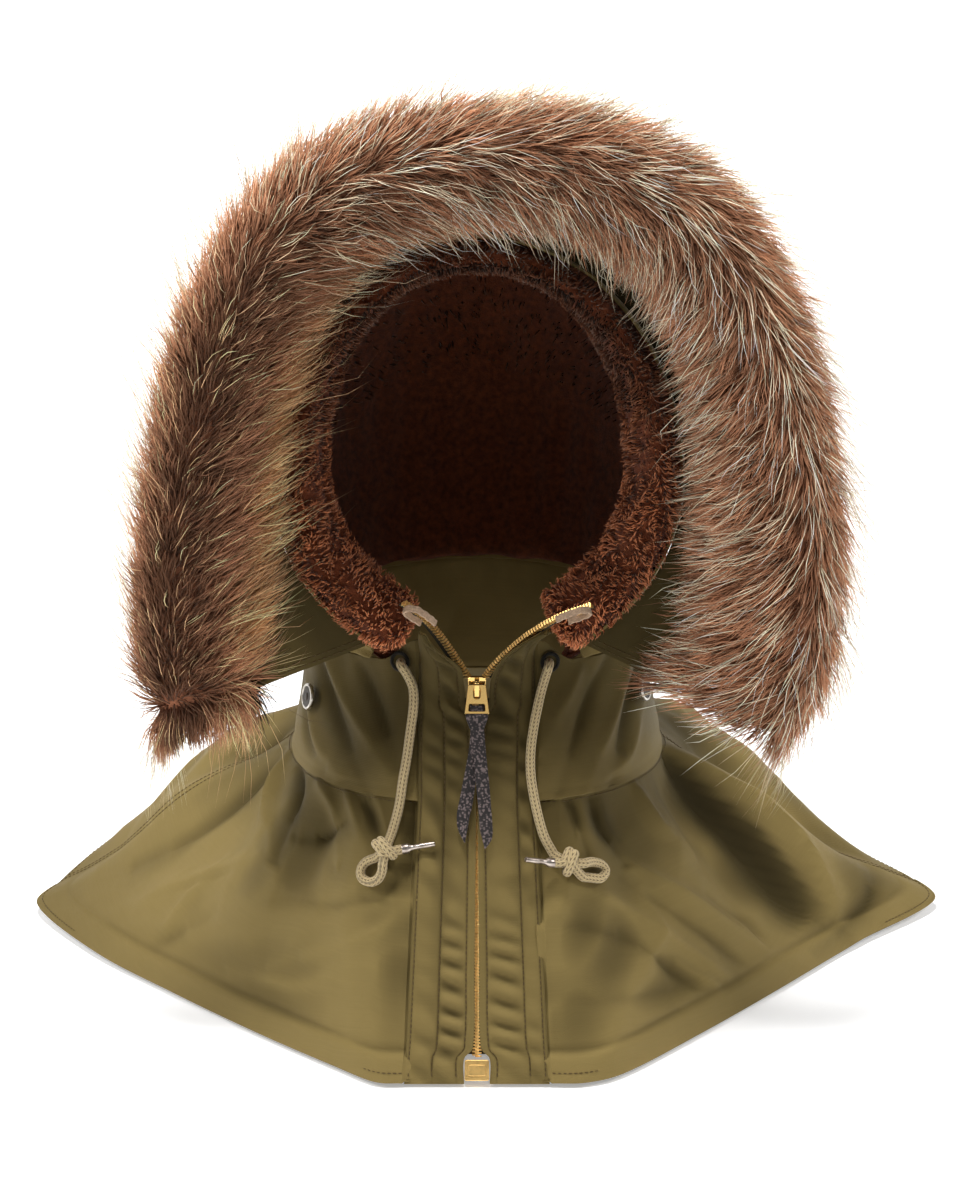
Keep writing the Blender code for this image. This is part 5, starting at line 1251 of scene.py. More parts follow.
class HOOD_OT_brim(HoodStep, bpy.types.Operator):
    """Make the stiff flared brim and the leather side of the pelt sewn to it"""
    bl_idname = "hood.brim"
    bl_label = "Brim and pelt"

    def build(self, scene):
        across, turn = np.meshgrid(np.linspace(0, 1, 40), TURN_FIRST + TURN_SPAN * np.linspace(0, 1, 200),
                                   indexing="ij")
        start, rim, width, normal = brim_frame(turn)
        span = np.linalg.norm(rim - start, axis=-1)
        bare = np.clip((span - PELT_REACH) / span, 0, 1)
        lift = 0.0004 * soft_noise(across * 6, turn * 0.09, 4, 1.5) * (1 - ease(across, bare - 0.08, bare - 0.02))
        lift = lift - 0.0004
        points = start + (rim - start) * across[..., None] + normal * np.minimum(lift, 0.0)[..., None]
        back = start + (rim - start) * across[..., None] - normal * BRIM_THICKNESS
        back = back - normal * (0.0006 * soft_noise(across * 5, turn * 0.06, 3, 1.5))[..., None] * np.sin(
            pi * across)[..., None]
        for k, edge in ((0, 0.0009), (-1, 0.0009)):
            middle = (points[:, k] + back[:, k]) / 2
            points[:, k] = middle + (points[:, k] - middle) * 0.45
            back[:, k] = middle + (back[:, k] - middle) * 0.45
        CLOTH_FACES["brim_cloth"] = (points, -grid_normals(points, (0.0, -1.0, 0.35)))
        CLOTH_FACES["brim_back"] = (back, grid_normals(back, (0.0, -1.0, 0.35)))
        # Painted shade: the brim is dark under the ruff, darkest at its inner edge and over the top, where the ruff
        # hangs over it.
        shade = 0.27 + 0.24 * ease(across, bare * 0.3, bare)
        shade *= 1 - 0.80 * ease(turn, 62, 90) * (1 - ease(turn, 270, 298))
        piece = wall_piece("brim_cloth", points, back, outer_cloth(scene), shade)
        settle(piece, "hood", "brim")
        self.build_pelt()

    def build_pelt(self):
        """The pelt's leather side, a pale strip under the fur with a slightly uneven cut edge."""
        made = Finish("pelt_leather", 0.72, Specular_IOR_Level=0.25)
        grain = made.noise(180.0, 5.0, 0.65)
        made.colour(made.ramp(grain, (0.25, linear(196, 164, 128)), (0.6, linear(238, 212, 180))))
        made.roughness(made.spread(grain, 0.6, 0.85))
        made.relief(grain, 0.0003, 0.5)
        share, turn = np.meshgrid(np.linspace(0, 1, 14), TURN_FIRST + TURN_SPAN * np.linspace(0, 1, 240),
                                  indexing="ij")
        _start, rim, width, normal = brim_frame(turn)
        reach = PELT_REACH * read_table(PELT_WIDTHS, turn)[0] - 0.0006 + 0.0005 * np.sin(turn * 3.1)
        inward = 0.001 + (reach - 0.001) * share
        base = rim - width * inward[..., None]
        low = base + normal * GAP
        high = base + normal * (GAP + PELT_THICKNESS)
        piece = wall_piece("pelt_leather_side", high, low, made.material)
        settle(piece, "hood", "pelt_backing")


PLACKET_LEFT_ROWS = (0.13, 0.54, 0.94)
PLACKET_RIGHT_ROWS = (0.12, 0.68, 0.94)


class HOOD_OT_placket(HoodStep, bpy.types.Operator):
    """Make both halves of the front placket, puckered between their stitch lines"""
    bl_idname = "hood.placket"
    bl_label = "Placket"

    def build(self, scene):
        for name, side, rows in (("placket_left", -1, PLACKET_LEFT_ROWS), ("placket_right", 1, PLACKET_RIGHT_ROWS)):
            heights = np.concatenate([np.linspace(0.0022, 0.181, 132), np.linspace(0.1815, 0.229, 38)])
            shares = np.sort(np.concatenate([np.linspace(0, 1, 32)]
                                            + [row + np.linspace(-0.02, 0.02, 4) for row in rows]))
            height, across = np.meshgrid(heights, np.clip(shares, 0, 1), indexing="ij")
            points = placket_surface(side, across, height)
            normals = grid_normals(points, (0.0, 0.3, 0.100))
            pucker = np.zeros_like(height)
            for low, high, depth, rate, seed in ((rows[0], rows[1], 0.00190, 520.0, 3),
                                                 (rows[1], rows[2], 0.00130, 400.0, 4)):
                inside = np.sin(pi * np.clip((across - low) / (high - low), 0, 1)) ** 0.8
                wander = 1.6 * np.sin(height * 61.0 + seed * side) + 0.9 * np.sin(height * 133.0 + seed)
                wave = np.sin(height * rate + wander + 1.5 * side * across * 4)
                gathered = 0.55 + 0.45 * np.sin(height * 43.0 + seed * 2.0)
                pucker += depth * inside * wave * gathered
                pucker += 0.0005 * inside
            for row in rows:
                pucker -= 0.00055 * np.exp(-((across - row) / 0.018) ** 2)
            pucker += 0.0008 * soft_noise(across * 3.0, height * 30.0, 40 + side, 1.3) * np.sin(pi * across)
            edge = np.exp(-((across - 1.0) / 0.03) ** 2)
            pucker -= 0.0010 * edge
            fade = ease(height, 0.0022, 0.010)
            points = points + normals * (pucker * fade)[..., None]
            # Painted shade: darker in the puckers' hollows and along the stitch lines, a little paler on their
            # ridges, and darker towards the top under the ruff.
            shade = fold_shade(pucker - 0.0003, 0.0022) * (0.86 - 0.52 * ease(height, 0.105, 0.185))
            piece = cloth_piece(name + "_cloth", points, (0.0, 0.3, 0.100), outer_cloth(scene), 0.0013, shade)
            settle(piece, "hood", name)


# ---------------------------------------------------------------- fur

# Along the ruff: turn, where the hair parts across it, how far the outer and the inner hair turn
# away from the ruff's own line (degrees), and how strong the golden band is
FUR_FLOW = [
    (31, 0.40, 30, 34, 1.0), (60, 0.38, 38, 40, 1.0), (90, 0.36, 42, 44, 1.0), (120, 0.38, 42, 48, 0.6),
    (150, 0.40, 38, 52, 0.25), (180, 0.42, 34, 54, 0.10), (210, 0.42, 32, 60, 0.05), (240, 0.38, 28, 68, 0.0),
    (270, 0.34, 20, 76, 0.0), (300, 0.34, 14, 74, 0.0), (329, 0.36, 10, 52, 0.0),
]
FUR_ROWS = 420
FUR_COLUMNS = 60


def fur_grid(height_share, reach_share=1.0):
    """The ruff's surface as a grid: rows along the turn, columns from the outer edge to the inner."""
    turn, place = np.meshgrid(TURN_FIRST + TURN_SPAN * np.linspace(0, 1, FUR_ROWS),
                              np.linspace(0, len(FUR_SECTION) - 1, FUR_COLUMNS), indexing="ij")
    rows = [(index,) + point for index, point in enumerate(FUR_SECTION)]
    inward, height = read_table(rows, place)
    _start, rim, width, normal = brim_frame(turn)
    middle = np.abs(2 * (turn - TURN_FIRST) / TURN_SPAN - 1)
    swell = (1.0 - 0.45 * middle ** 14) * height_share
    height = np.where(height < 0.004, height, 0.004 + (height - 0.004) * swell)
    inward = np.where(inward > 0, inward * read_table(PELT_WIDTHS, turn)[0], inward * reach_share)
    centre = 0.030
    inward = centre + (inward - centre) * (0.55 + 0.45 * reach_share)
    return rim - width * inward[..., None] + normal * (height + 0.0002)[..., None]


def hair_mesh(name, paths, radii, sides_to, tints_and_shade, finish):
    """Closed three-sided hairs; paths (hairs, rings + 1, 3) end in a point, tints match them."""
    count, stations = paths.shape[:2]
    rings = stations - 1
    way = unit(np.gradient(paths, axis=1))
    side = unit(np.cross(way, sides_to[:, None, :]))
    other = np.cross(way, side)
    points = []
    for k in range(3):
        angle = 2 * pi * k / 3
        points.append(paths[:, :rings] + radii[:, :rings, None] * (side[:, :rings] * cos(angle)
                                                                   + other[:, :rings] * sin(angle)))
    body = np.stack(points, 2).reshape(count, rings * 3, 3)
    points = np.concatenate([body, paths[:, -1:]], 1).reshape(-1, 3)
    each = rings * 3 + 1
    quads, ends = [], []
    for ring in range(rings - 1):
        for k in range(3):
            low, high = ring * 3, ring * 3 + 3
            quads.append((low + k, low + (k + 1) % 3, high + (k + 1) % 3, high + k))
    for k in range(3):
        ends.append(((rings - 1) * 3 + k, (rings - 1) * 3 + (k + 1) % 3, rings * 3))
    ends.append((2, 1, 0))
    starts = (np.arange(count) * each)[:, None, None]
    faces = [(starts + np.array(quads)[None]).reshape(-1, 4), (starts + np.array(ends)[None]).reshape(-1, 3)]
    body_tints = np.repeat(tints_and_shade[:, :rings], 3, axis=1)
    all_tints = np.concatenate([body_tints, tints_and_shade[:, -1:]], 1).reshape(-1, 3)
    return make_piece(name, points, faces, finish, tints_and_shade=all_tints)


class FurField:
    """Where each hair of the ruff stands, which way it lies, and the lock that it belongs to."""

    def __init__(self, seed):
        self.rng = np.random.default_rng(seed)
        self.grid = fur_grid(0.66, 0.62)
        self.along = unit(np.gradient(self.grid, axis=0))
        self.inward = np.gradient(self.grid, axis=1)
        self.inward = unit(self.inward - self.along * np.sum(self.inward * self.along, -1, keepdims=True))
        middle = fur_grid(0.05, 0.3)[:, 26:34].mean(1)[:, None, :]
        normals = unit(np.cross(self.along, self.inward))
        self.out = normals * np.sign(np.sum(normals * (self.grid - middle)))
        self.jitter = self.rng.uniform(0.15, 0.85, (400, 80, 2))
        self.mood = self.rng.normal(0, 1, (400, 80, 3))

    def look(self, grid, turn, place):
        """Values of a grid of the field at turns and places across (0 to 1)."""
        rows = (turn - TURN_FIRST) / TURN_SPAN * (FUR_ROWS - 1)
        return sample(grid, rows, place * (FUR_COLUMNS - 1))

    def flow(self, turn, place):
        """The direction that the hair lies in, along the ruff's surface."""
        part, outer, inner, _golden = read_table(FUR_FLOW, turn)
        side = (place - part) / 0.16
        splay = np.where(side < 0, outer * np.tanh(side), inner * np.tanh(side))
        swirl = 7.0 * np.sin(turn * 0.21 + 2.2 * np.sin(turn * 0.083)) + 6.0 * np.sin(turn * 0.57 + place * 5)
        angle = np.radians(splay + swirl)[..., None]
        along = self.look(self.along, turn, place)
        flow = along * np.cos(angle) + self.look(self.inward, turn, place) * np.sin(angle)
        low_end = (1 - ease(turn, 32.5, 39.0))[..., None]
        return unit(flow * (1 - low_end) - (along * 1.1 + np.array([0.0, 0.0, 0.5])) * low_end)

    def lock_of(self, turn, place, turn_step, place_step):
        """The middle of the lock that each hair belongs to, and that lock's own mood."""
        row = np.floor((turn - TURN_FIRST) / turn_step + 0.35 * np.sin(place * 23)).astype(int)
        column = np.floor(place / place_step + 0.35 * np.sin(turn * 0.9)).astype(int)
        row, column = np.clip(row, 0, 399), np.clip(column, 0, 79)
        jitter, mood = self.jitter[row, column], self.mood[row, column]
        lock_turn = np.clip(TURN_FIRST + (row + jitter[:, 0]) * turn_step, TURN_FIRST, TURN_FIRST + TURN_SPAN)
        lock_place = np.clip((column + jitter[:, 1]) * place_step, 0.0, 1.0)
        return lock_turn, lock_place, mood

    def paths(self, turn, place, length, rise, gather, stations, lock_steps, droop, scatter):
        """Curved hair lines from their roots, drawn together towards their lock's tip."""
        root = self.look(self.grid, turn, place)
        flow, out = self.flow(turn, place), self.look(self.out, turn, place)
        wild = self.rng.normal(0, scatter, root.shape)
        own = unit(flow + wild)
        lock_turn, lock_place, mood = self.lock_of(turn, place, *lock_steps)
        lock_root = self.look(self.grid, lock_turn, lock_place)
        lock_flow = unit(self.flow(lock_turn, lock_place) + 0.24 * mood)
        lock_out = self.look(self.out, lock_turn, lock_place)
        steps = np.linspace(0, 1, stations)
        lines = []
        for u in steps:
            lift = rise[:, None] * (1.0 * u - 0.42 * u * u)
            single = root + own * (length * u)[:, None] + out * lift
            common = lock_root + lock_flow * (length * u)[:, None] + lock_out * lift
            share = gather * u ** 1.3
            line = single + (common - single) * share
            line[:, 2] -= droop * u * u * length
            lines.append(line)
        return np.stack(lines, 1), mood


def keep_below(paths, top):
    """Hairs that would rise past the top are shortened, each towards its own root."""
    root = paths[:, :1]
    rise = paths[:, :, 2].max(1) - root[:, 0, 2]
    share = np.clip((top - root[:, 0, 2]) / np.maximum(rise, 1e-6), 0.0, 1.0)
    return root + (paths - root) * share[:, None, None]


def hair_colours_and_shade(settings, field, turn, place, mood, stations, guard, rng):
    """Colour of each hair from root to tip by where on the ruff it stands, with painted shade at the inner edge."""
    part, _outer, _inner, golden = read_table(FUR_FLOW, turn)
    dark, middle, pale, gold = (np.array(tuple(getattr(settings, part_name)))
                                for part_name in ("dark", "middle", "pale", "golden"))
    u = np.linspace(0, 1, stations)[None, :, None]
    left = (1 - ease(turn, 105, 165))[:, None, None]
    right = ease(turn, 200, 240)[:, None, None]
    unevenness = 0.26 if guard else 0.16
    bright = np.clip(1 + unevenness * mood[:, :1] + rng.normal(0, 0.10, (len(turn), 1)), 0.35, 1.9)[:, :, None]
    band = (golden * ease(turn, 35, 48))[:, None, None] * (ease(place, 0.62, 0.74) * (1 - ease(place, 0.84, 0.92)))[:, None, None]
    valley = np.exp(-((place - part - 0.02) / 0.19) ** 2)[:, None, None]
    rim = (1 - ease(place, 0.05, 0.24))[:, None, None]
    edge = ease(place, 0.86, 0.94)[:, None, None] * (1 - 0.75 * right)
    tan = middle * (1 - (0.26 + 0.54 * left) * valley)
    tan = tan * (1 - band) + gold * 0.86 * band
    tan = tan * (1 + 0.18 * rim)
    if guard:
        tip = pale * (1 - 0.75 * left) + gold * 1.05 * 0.75 * left
        tip = tip + (pale - tip) * 0.7 * rim * left
        tip = tip * (1 - 0.35 * rim * right) + middle * 0.35 * rim * right
        tip = tip * 1.12
        colour = tan * 0.9 + (tip - tan * 0.9) * ease(u, 0.10, 0.45)
        black = (rng.uniform(0, 1, len(turn)) < 0.06)[:, None, None]
        colour = np.where(black, colour * (1 - ease(u, 0.35, 0.75)) + dark * 0.35 * ease(u, 0.35, 0.75), colour)
    else:
        colour = dark + (tan - dark) * ease(u, 0.0, 0.75)
    # Hairs at the inner edge are near black: partly the fur's own dark tips, partly painted shade where the opening
    # lies under the ruff; less so on the viewer's right.
    colour = colour * (1 - edge) + np.array([0.012, 0.008, 0.006]) * edge
    return np.clip(colour * bright, 0.003, 0.95)


class HOOD_OT_fur(HoodStep, bpy.types.Operator):
    """Make the ruff: its dense base, its soft underfur and its long guard hairs"""
    bl_idname = "hood.fur"
    bl_label = "Fur"

    def build(self, scene):
        fur = scene.hood_fur
        field = FurField(fur.seed)
        soft = hair_finish("fur_soft", 0.66, 0.10, 0.06)
        crisp = hair_finish("fur_guard", 0.50, 0.16, 0.02)
        self.build_base(fur)
        halves = (("fur_soft_left", 0.0, 0.5), ("fur_soft_right", 0.5, 1.0))
        for name, low, high in halves:
            self.build_soft(name, fur, field, low, high, soft)
        self.build_guard("fur_guard_hairs", fur, field, crisp)

    def build_base(self, fur):
        """The dense body of the ruff that the hairs stand on."""
        made = Finish("fur_base", 0.9, Specular_IOR_Level=0.1)
        tuft = made.noise(150.0, 4.0, 0.7)
        dark = np.array(tuple(fur.dark))
        made.colour(made.ramp(tuft, (0.3, tuple(dark * 0.8)), (0.7, tuple(dark * 2.4))))
        made.roughness(made.spread(tuft, 0.8, 1.0))
        made.relief(tuft, 0.002, 1.0)
        top = fur_grid(0.66, 0.62)[::3, ::2]
        under = top[:, [-1, 0]]
        rim_side = np.stack([under[:, 0] + (under[:, 1] - under[:, 0]) * share for share in (0.25, 0.5, 0.75)], 1)
        rings = np.concatenate([top, rim_side], 1)
        piece = loft_piece("fur_base", rings, made.material, sharp=80)
        settle(piece, "hood", "fur_ruff")

    def finish_hairs(self, name, fur, field, hairs, thick, sizes, finish, guard):
        """Give the hairs their thickness and colours, and put them on the hood."""
        turn, place, paths, mood = hairs
        radii = thick[:, None] * np.array(sizes)
        tints_and_shade = hair_colours_and_shade(fur, field, turn, place, mood, len(sizes), guard, field.rng)
        piece = hair_mesh(name, paths, radii, field.look(field.out, turn, place), tints_and_shade, finish)
        settle(piece, "hood", "fur_ruff")

    def build_soft(self, name, fur, field, low, high, finish):
        """Soft hairs over one half of the ruff, with a tuft that hides the low end."""
        count = fur.under_count
        rng = field.rng
        turn = TURN_FIRST + TURN_SPAN * rng.uniform(low, high, count)
        if low == 0.0:
            turn[:count // 18] = TURN_FIRST + rng.uniform(0.0, 4.0, count // 18)
        place = rng.uniform(0.0, 1.0, count)
        part = read_table(FUR_FLOW, turn)[0]
        length = fur.under_length * rng.uniform(0.70, 1.20, count)
        length *= 1.0 - 0.25 * np.exp(-((place - part) / 0.10) ** 2)
        overhang = ease(place, 0.80, 0.95) * ease(turn, 84, 110)
        length *= 1.0 + 0.45 * overhang - 0.10 * ease(place, 0.88, 1.0)
        rise = length * rng.uniform(0.34, 0.66, count)
        paths, mood = field.paths(turn, place, length, rise, 0.42, 3, (1.5, 0.062), 0.05, 0.26)
        thick = rng.uniform(0.00026, 0.00046, count)
        self.finish_hairs(name, fur, field, (turn, place, paths, mood), thick, (1.05, 0.85, 0.0), finish, False)

    def build_guard(self, name, fur, field, finish):
        """Long hairs with pale ends, in loose locks, and the thin fringe round the outside."""
        count = fur.guard_count
        rng = field.rng
        turn = TURN_FIRST + TURN_SPAN * rng.uniform(0.0, 1.0, count)
        turn[:count // 40] = TURN_FIRST + rng.uniform(0.0, 4.0, count // 40)
        place = rng.uniform(0.0, 1.0, count)
        fringe = rng.uniform(0, 1, count) < 0.36
        place = np.where(fringe, rng.uniform(0.0, 0.16, count), place)
        left, right = 1 - ease(turn, 105, 165), ease(turn, 200, 240)
        moved = (rng.uniform(0, 1, count) < 0.5 * left) & (place > 0.10) & (place < 0.60)
        place = np.where(moved, rng.uniform(0.62, 0.93, count), place)
        length = fur.guard_length * rng.uniform(0.62, 1.18, count)
        length *= 1.0 - 0.30 * left * (1 - ease(place, 0.55, 0.75)) * ~fringe
        length *= 1.0 - 0.45 * right * (1 - ease(place, 0.20, 0.40)) * ~fringe
        length *= 1.0 + 0.55 * fringe - 0.20 * ease(place, 0.88, 1.0)
        rise = length * rng.uniform(0.42, 0.78, count)
        paths, mood = field.paths(turn, place, length, rise, 0.55, 4, (1.9, 0.075), 0.04, 0.36)
        paths = keep_below(paths, HAIR_TOP)
        thick = rng.uniform(0.00017, 0.00028, count) * np.where(fringe, 0.55, 0.9)
        self.finish_hairs(name, fur, field, (turn, place, paths, mood), thick, (1.1, 1.0, 0.75, 0.0), finish, True)


# ---------------------------------------------------------------- pile lining

def pile_rings(turns):
    """Closed sections of the lining at the turns: in from the back, round the roll, and out again."""
    tilts = np.array([0.0, 5.0, 11.0, 16.0, 22.0, 27.0, 32.0, 37.0, 42.0, 47.0, 52.0, 57.0, 62.0, 67.0, 72.0,
                      76.0, 80.0, 83.0, 85.2])
    tilt, turn = np.meshgrid(tilts, turns, indexing="ij")
    grid = hood_surface(tilt, turn)
    normals = grid_normals(grid, HOOD_INSIDE)
    forward = unit(grid[-1] - grid[-3])
    roll = read_table(PILE_ROLL, turns)[0][:, None]
    skin = CLOTH + GAP
    outer = list(grid - normals * (skin + 0.0004))
    share = np.interp(tilts, [0.0, 62.0, 72.0, 80.0, 85.2], [0.0, 0.0, 0.5, 0.75, 0.92])[:, None]
    depth = np.maximum(skin + PILE, roll[None, :, 0] * share)
    inner = list(grid - normals * depth[..., None])
    inward = -normals[-1]
    for ahead_out, in_out, ahead_in, in_in in ROLL_SECTION:
        outer.append(grid[-1] + forward * ahead_out + inward * in_out)
        inner.append(grid[-1] + forward * ahead_in + inward * roll * in_in)
    ring = np.stack(inner + outer[::-1], 0)
    return np.transpose(ring, (1, 0, 2))


class HOOD_OT_pile(HoodStep, bpy.types.Operator):
    """Make the pile lining: its rolled body and its short curls"""
    bl_idname = "hood.pile"
    bl_label = "Pile lining"

    def build(self, scene):
        pile = scene.hood_pile
        turns = TURN_FIRST + TURN_SPAN * np.linspace(0, 1, 150)
        rings = pile_rings(turns)
        rings = self.round_ends(rings)
        fine = self.refine(rings, 2)
        centre = fine.mean(1, keepdims=True)
        count, sides = fine.shape[:2]
        lumps = 0.0011 * soft_noise(np.arange(count)[:, None] * 0.47 + np.zeros(sides),
                                    np.arange(sides)[None, :] * 0.75 + np.zeros((count, 1)), 61, 1.5)
        normals = self.ring_normals(fine)
        body = fine - normals * 0.0016 + normals * lumps[..., None] * 0.6
        dark, light = np.array(tuple(pile.dark)), np.array(tuple(pile.light))
        base = felt_finish("pile_base", tuple(dark * 0.5), tuple(dark * 1.5), 260.0, 0.0015)
        piece = loft_piece("pile_body", body, base, sharp=80)
        settle(piece, "hood", "pile_lining")
        self.build_curls(pile, fine, normals, dark, light)

    def round_ends(self, rings):
        """Rings added past both ends so that the pile ends in soft lobes."""
        made = []
        front = rings.shape[1] // 2
        for at, step_from, reach in ((0, 3, 0.012), (-1, -4, 0.006)):
            ring = rings[at]
            step = unit(ring[front] - rings[step_from][front]) * reach
            half = len(ring) // 2
            middles = (ring + ring[::-1]) / 2
            lobes = [middles + step * share + (ring - middles) * size
                     for share, size in ((0.30, 0.97), (0.58, 0.88), (0.82, 0.72), (0.96, 0.45), (1.0, 0.15))]
            made.append(np.array(lobes if at else lobes[::-1]))
        return np.concatenate([made[0], rings, made[1]])

    def refine(self, rings, times):
        """The same sections with more points round them."""
        count, sides = rings.shape[:2]
        closed = np.concatenate([rings[:, -1:], rings, rings[:, :2]], 1)
        rows = np.arange(closed.shape[1])
        keys = 1 + np.arange(sides * times) / times
        made = np.empty((count, sides * times, 3))
        at = np.floor(keys).astype(int)
        u = (keys - at)[None, :, None]
        p0, p1, p2, p3 = (closed[:, at + d] for d in (-1, 0, 1, 2 if at.max() + 2 < len(rows) else 1))
        made[:] = 0.5 * (2 * p1 + (p2 - p0) * u + (2 * p0 - 5 * p1 + 4 * p2 - p3) * u ** 2
                         + (3 * p1 - p0 - 3 * p2 + p3) * u ** 3)
        return made

    def ring_normals(self, rings):
        """Outward normals of lofted rings."""
        along = np.gradient(rings, axis=0)
        around = np.roll(rings, -1, axis=1) - np.roll(rings, 1, axis=1)
        normals = unit(np.cross(along, around))
        sign = np.sign(np.sum(normals[:, :10] * (rings[:, :10] - np.array(HOOD_INSIDE))))
        return -normals * sign

    def build_curls(self, pile, fine, normals, dark, light):
        """Short bent curls, closest together on the roll that shows."""
        rng = np.random.default_rng(pile.seed)
        count = pile.curl_count
        rings, sides = fine.shape[:2]
        front = sides * 0.5
        row = rng.uniform(0, rings - 1.01, count)
        deep = rng.uniform(0, 1, count) < 0.30
        place = np.where(deep, rng.uniform(sides * 0.12, sides * 0.40, count),
                         front - sides * 0.145 + sides * 0.20 * rng.uniform(0, 1, count))
        root = sample(fine, row, place)
        out = unit(sample(normals, row, place))
        along = unit(sample(np.gradient(fine, axis=0), row, place))
        side = np.cross(out, along)
        swirl = np.sin(row * 0.42 + 2.0 * np.sin(place * 0.9)) * 1.6 + rng.normal(0, 0.35, count)
        lean = along * np.cos(swirl)[:, None] + side * np.sin(swirl)[:, None]
        length = pile.curl_length * rng.uniform(0.7, 1.2, count)[:, None]
        start = root - out * 0.0020
        bend = root + out * length * 0.42 + lean * length * 0.18
        tip = root + out * length * 0.62 + lean * length * 0.62
        paths = np.stack([start, bend, tip], 1)
        thick = rng.uniform(0.00036, 0.00062, count)
        radii = np.stack([thick, thick * 0.9, thick * 0], 1)
        tone = np.clip(1 + 0.14 * np.sin(row * 0.31 + place) + rng.normal(0, 0.13, count), 0.5, 1.6)[:, None, None]
        share = np.array([0.05, 0.45, 1.0])[None, :, None]
        # Painted shade and light: curls over the top of the opening are painted darker, those near the lobed low
        # ends paler.
        turn = TURN_FIRST + TURN_SPAN * row / rings
        high = np.exp(-((turn - 180) / 72) ** 6)
        ends = 1 - ease(np.minimum(turn - TURN_FIRST, TURN_FIRST + TURN_SPAN - turn), 6.0, 34.0)
        tone = tone * (1.25 + 0.65 * ends - 0.95 * high)[:, None, None]
        tints_and_shade = (dark * 0.8 + (light - dark * 0.8) * share) * tone
        finish = hair_finish("pile_curls", 0.70, 0.15, 0.18)
        piece = hair_mesh("pile_curls", paths, radii, out, np.clip(tints_and_shade, 0.003, 0.9), finish)
        settle(piece, "hood", "pile_lining")


# ---------------------------------------------------------------- repeats along a line

def line_object(name, lines):
    """A curve of straight pieces through each line of points, in the lowered frame."""
    data = bpy.data.curves.new(name, "CURVE")
    data.dimensions = "3D"
    for line in lines:
        spline = data.splines.new("POLY")
        spline.points.add(len(line) - 1)
        lowered = np.asarray(line) - np.array([0.0, 0.0, SEAT_HEIGHT])
        spline.points.foreach_set("co", np.concatenate([lowered, np.ones((len(line), 1))], 1).ravel())
    made = bpy.data.objects.new(name, data)
    bpy.context.scene.collection.objects.link(made)
    return made


def repeat_tree():
    """Nodes that stand one shape again and again along a line, in step with its direction."""
    found = bpy.data.node_groups.get("repeat_along_line")
    if found:
        return found
    tree = bpy.data.node_groups.new("repeat_along_line", "GeometryNodeTree")
    face = tree.interface
    face.new_socket("Geometry", in_out="INPUT", socket_type="NodeSocketGeometry")
    for label, kind in (("Shape", "NodeSocketObject"), ("Pitch", "NodeSocketFloat"), ("Size", "NodeSocketVector"),
                        ("Across", "NodeSocketVector"), ("Unevenness", "NodeSocketFloat"),
                        ("Seed", "NodeSocketInt"), ("Finish", "NodeSocketMaterial")):
        face.new_socket(label, in_out="INPUT", socket_type=kind)
    face.new_socket("Geometry", in_out="OUTPUT", socket_type="NodeSocketGeometry")
    add, link = tree.nodes.new, tree.links.new
    given, result = add("NodeGroupInput"), add("NodeGroupOutput")
    steps = add("GeometryNodeResampleCurve")
    steps.mode = "LENGTH"
    link(given.outputs["Geometry"], steps.inputs["Curve"])
    link(given.outputs["Pitch"], steps.inputs["Length"])
    shape = add("GeometryNodeObjectInfo")
    link(given.outputs["Shape"], shape.inputs["Object"])
    along, across = add("FunctionNodeAlignRotationToVector"), add("FunctionNodeAlignRotationToVector")
    along.axis, across.axis, across.pivot_axis = "Z", "X", "Z"
    tangent = add("GeometryNodeInputTangent")
    link(tangent.outputs["Tangent"], along.inputs["Vector"])
    link(along.outputs["Rotation"], across.inputs["Rotation"])
    link(given.outputs["Across"], across.inputs["Vector"])
    uneven = add("FunctionNodeRandomValue")
    uneven.data_type = "FLOAT"
    less, more = add("ShaderNodeMath"), add("ShaderNodeMath")
    less.operation, more.operation = "SUBTRACT", "ADD"
    for step in (less, more):
        step.inputs[0].default_value = 1.0
        link(given.outputs["Unevenness"], step.inputs[1])
    link(less.outputs[0], uneven.inputs[2])
    link(more.outputs[0], uneven.inputs[3])
    link(given.outputs["Seed"], uneven.inputs["Seed"])
    scaled = add("ShaderNodeVectorMath")
    scaled.operation = "SCALE"
    link(given.outputs["Size"], scaled.inputs[0])
    link(uneven.outputs[1], scaled.inputs["Scale"])
    stand = add("GeometryNodeInstanceOnPoints")
    link(steps.outputs["Curve"], stand.inputs["Points"])
    link(shape.outputs["Geometry"], stand.inputs["Instance"])
    link(across.outputs["Rotation"], stand.inputs["Rotation"])
    link(scaled.outputs["Vector"], stand.inputs["Scale"])
    real, finish = add("GeometryNodeRealizeInstances"), add("GeometryNodeSetMaterial")
    link(stand.outputs["Instances"], real.inputs["Geometry"])
    link(real.outputs["Geometry"], finish.inputs["Geometry"])
    link(given.outputs["Finish"], finish.inputs["Material"])
    link(finish.outputs["Geometry"], result.inputs["Geometry"])
    return tree


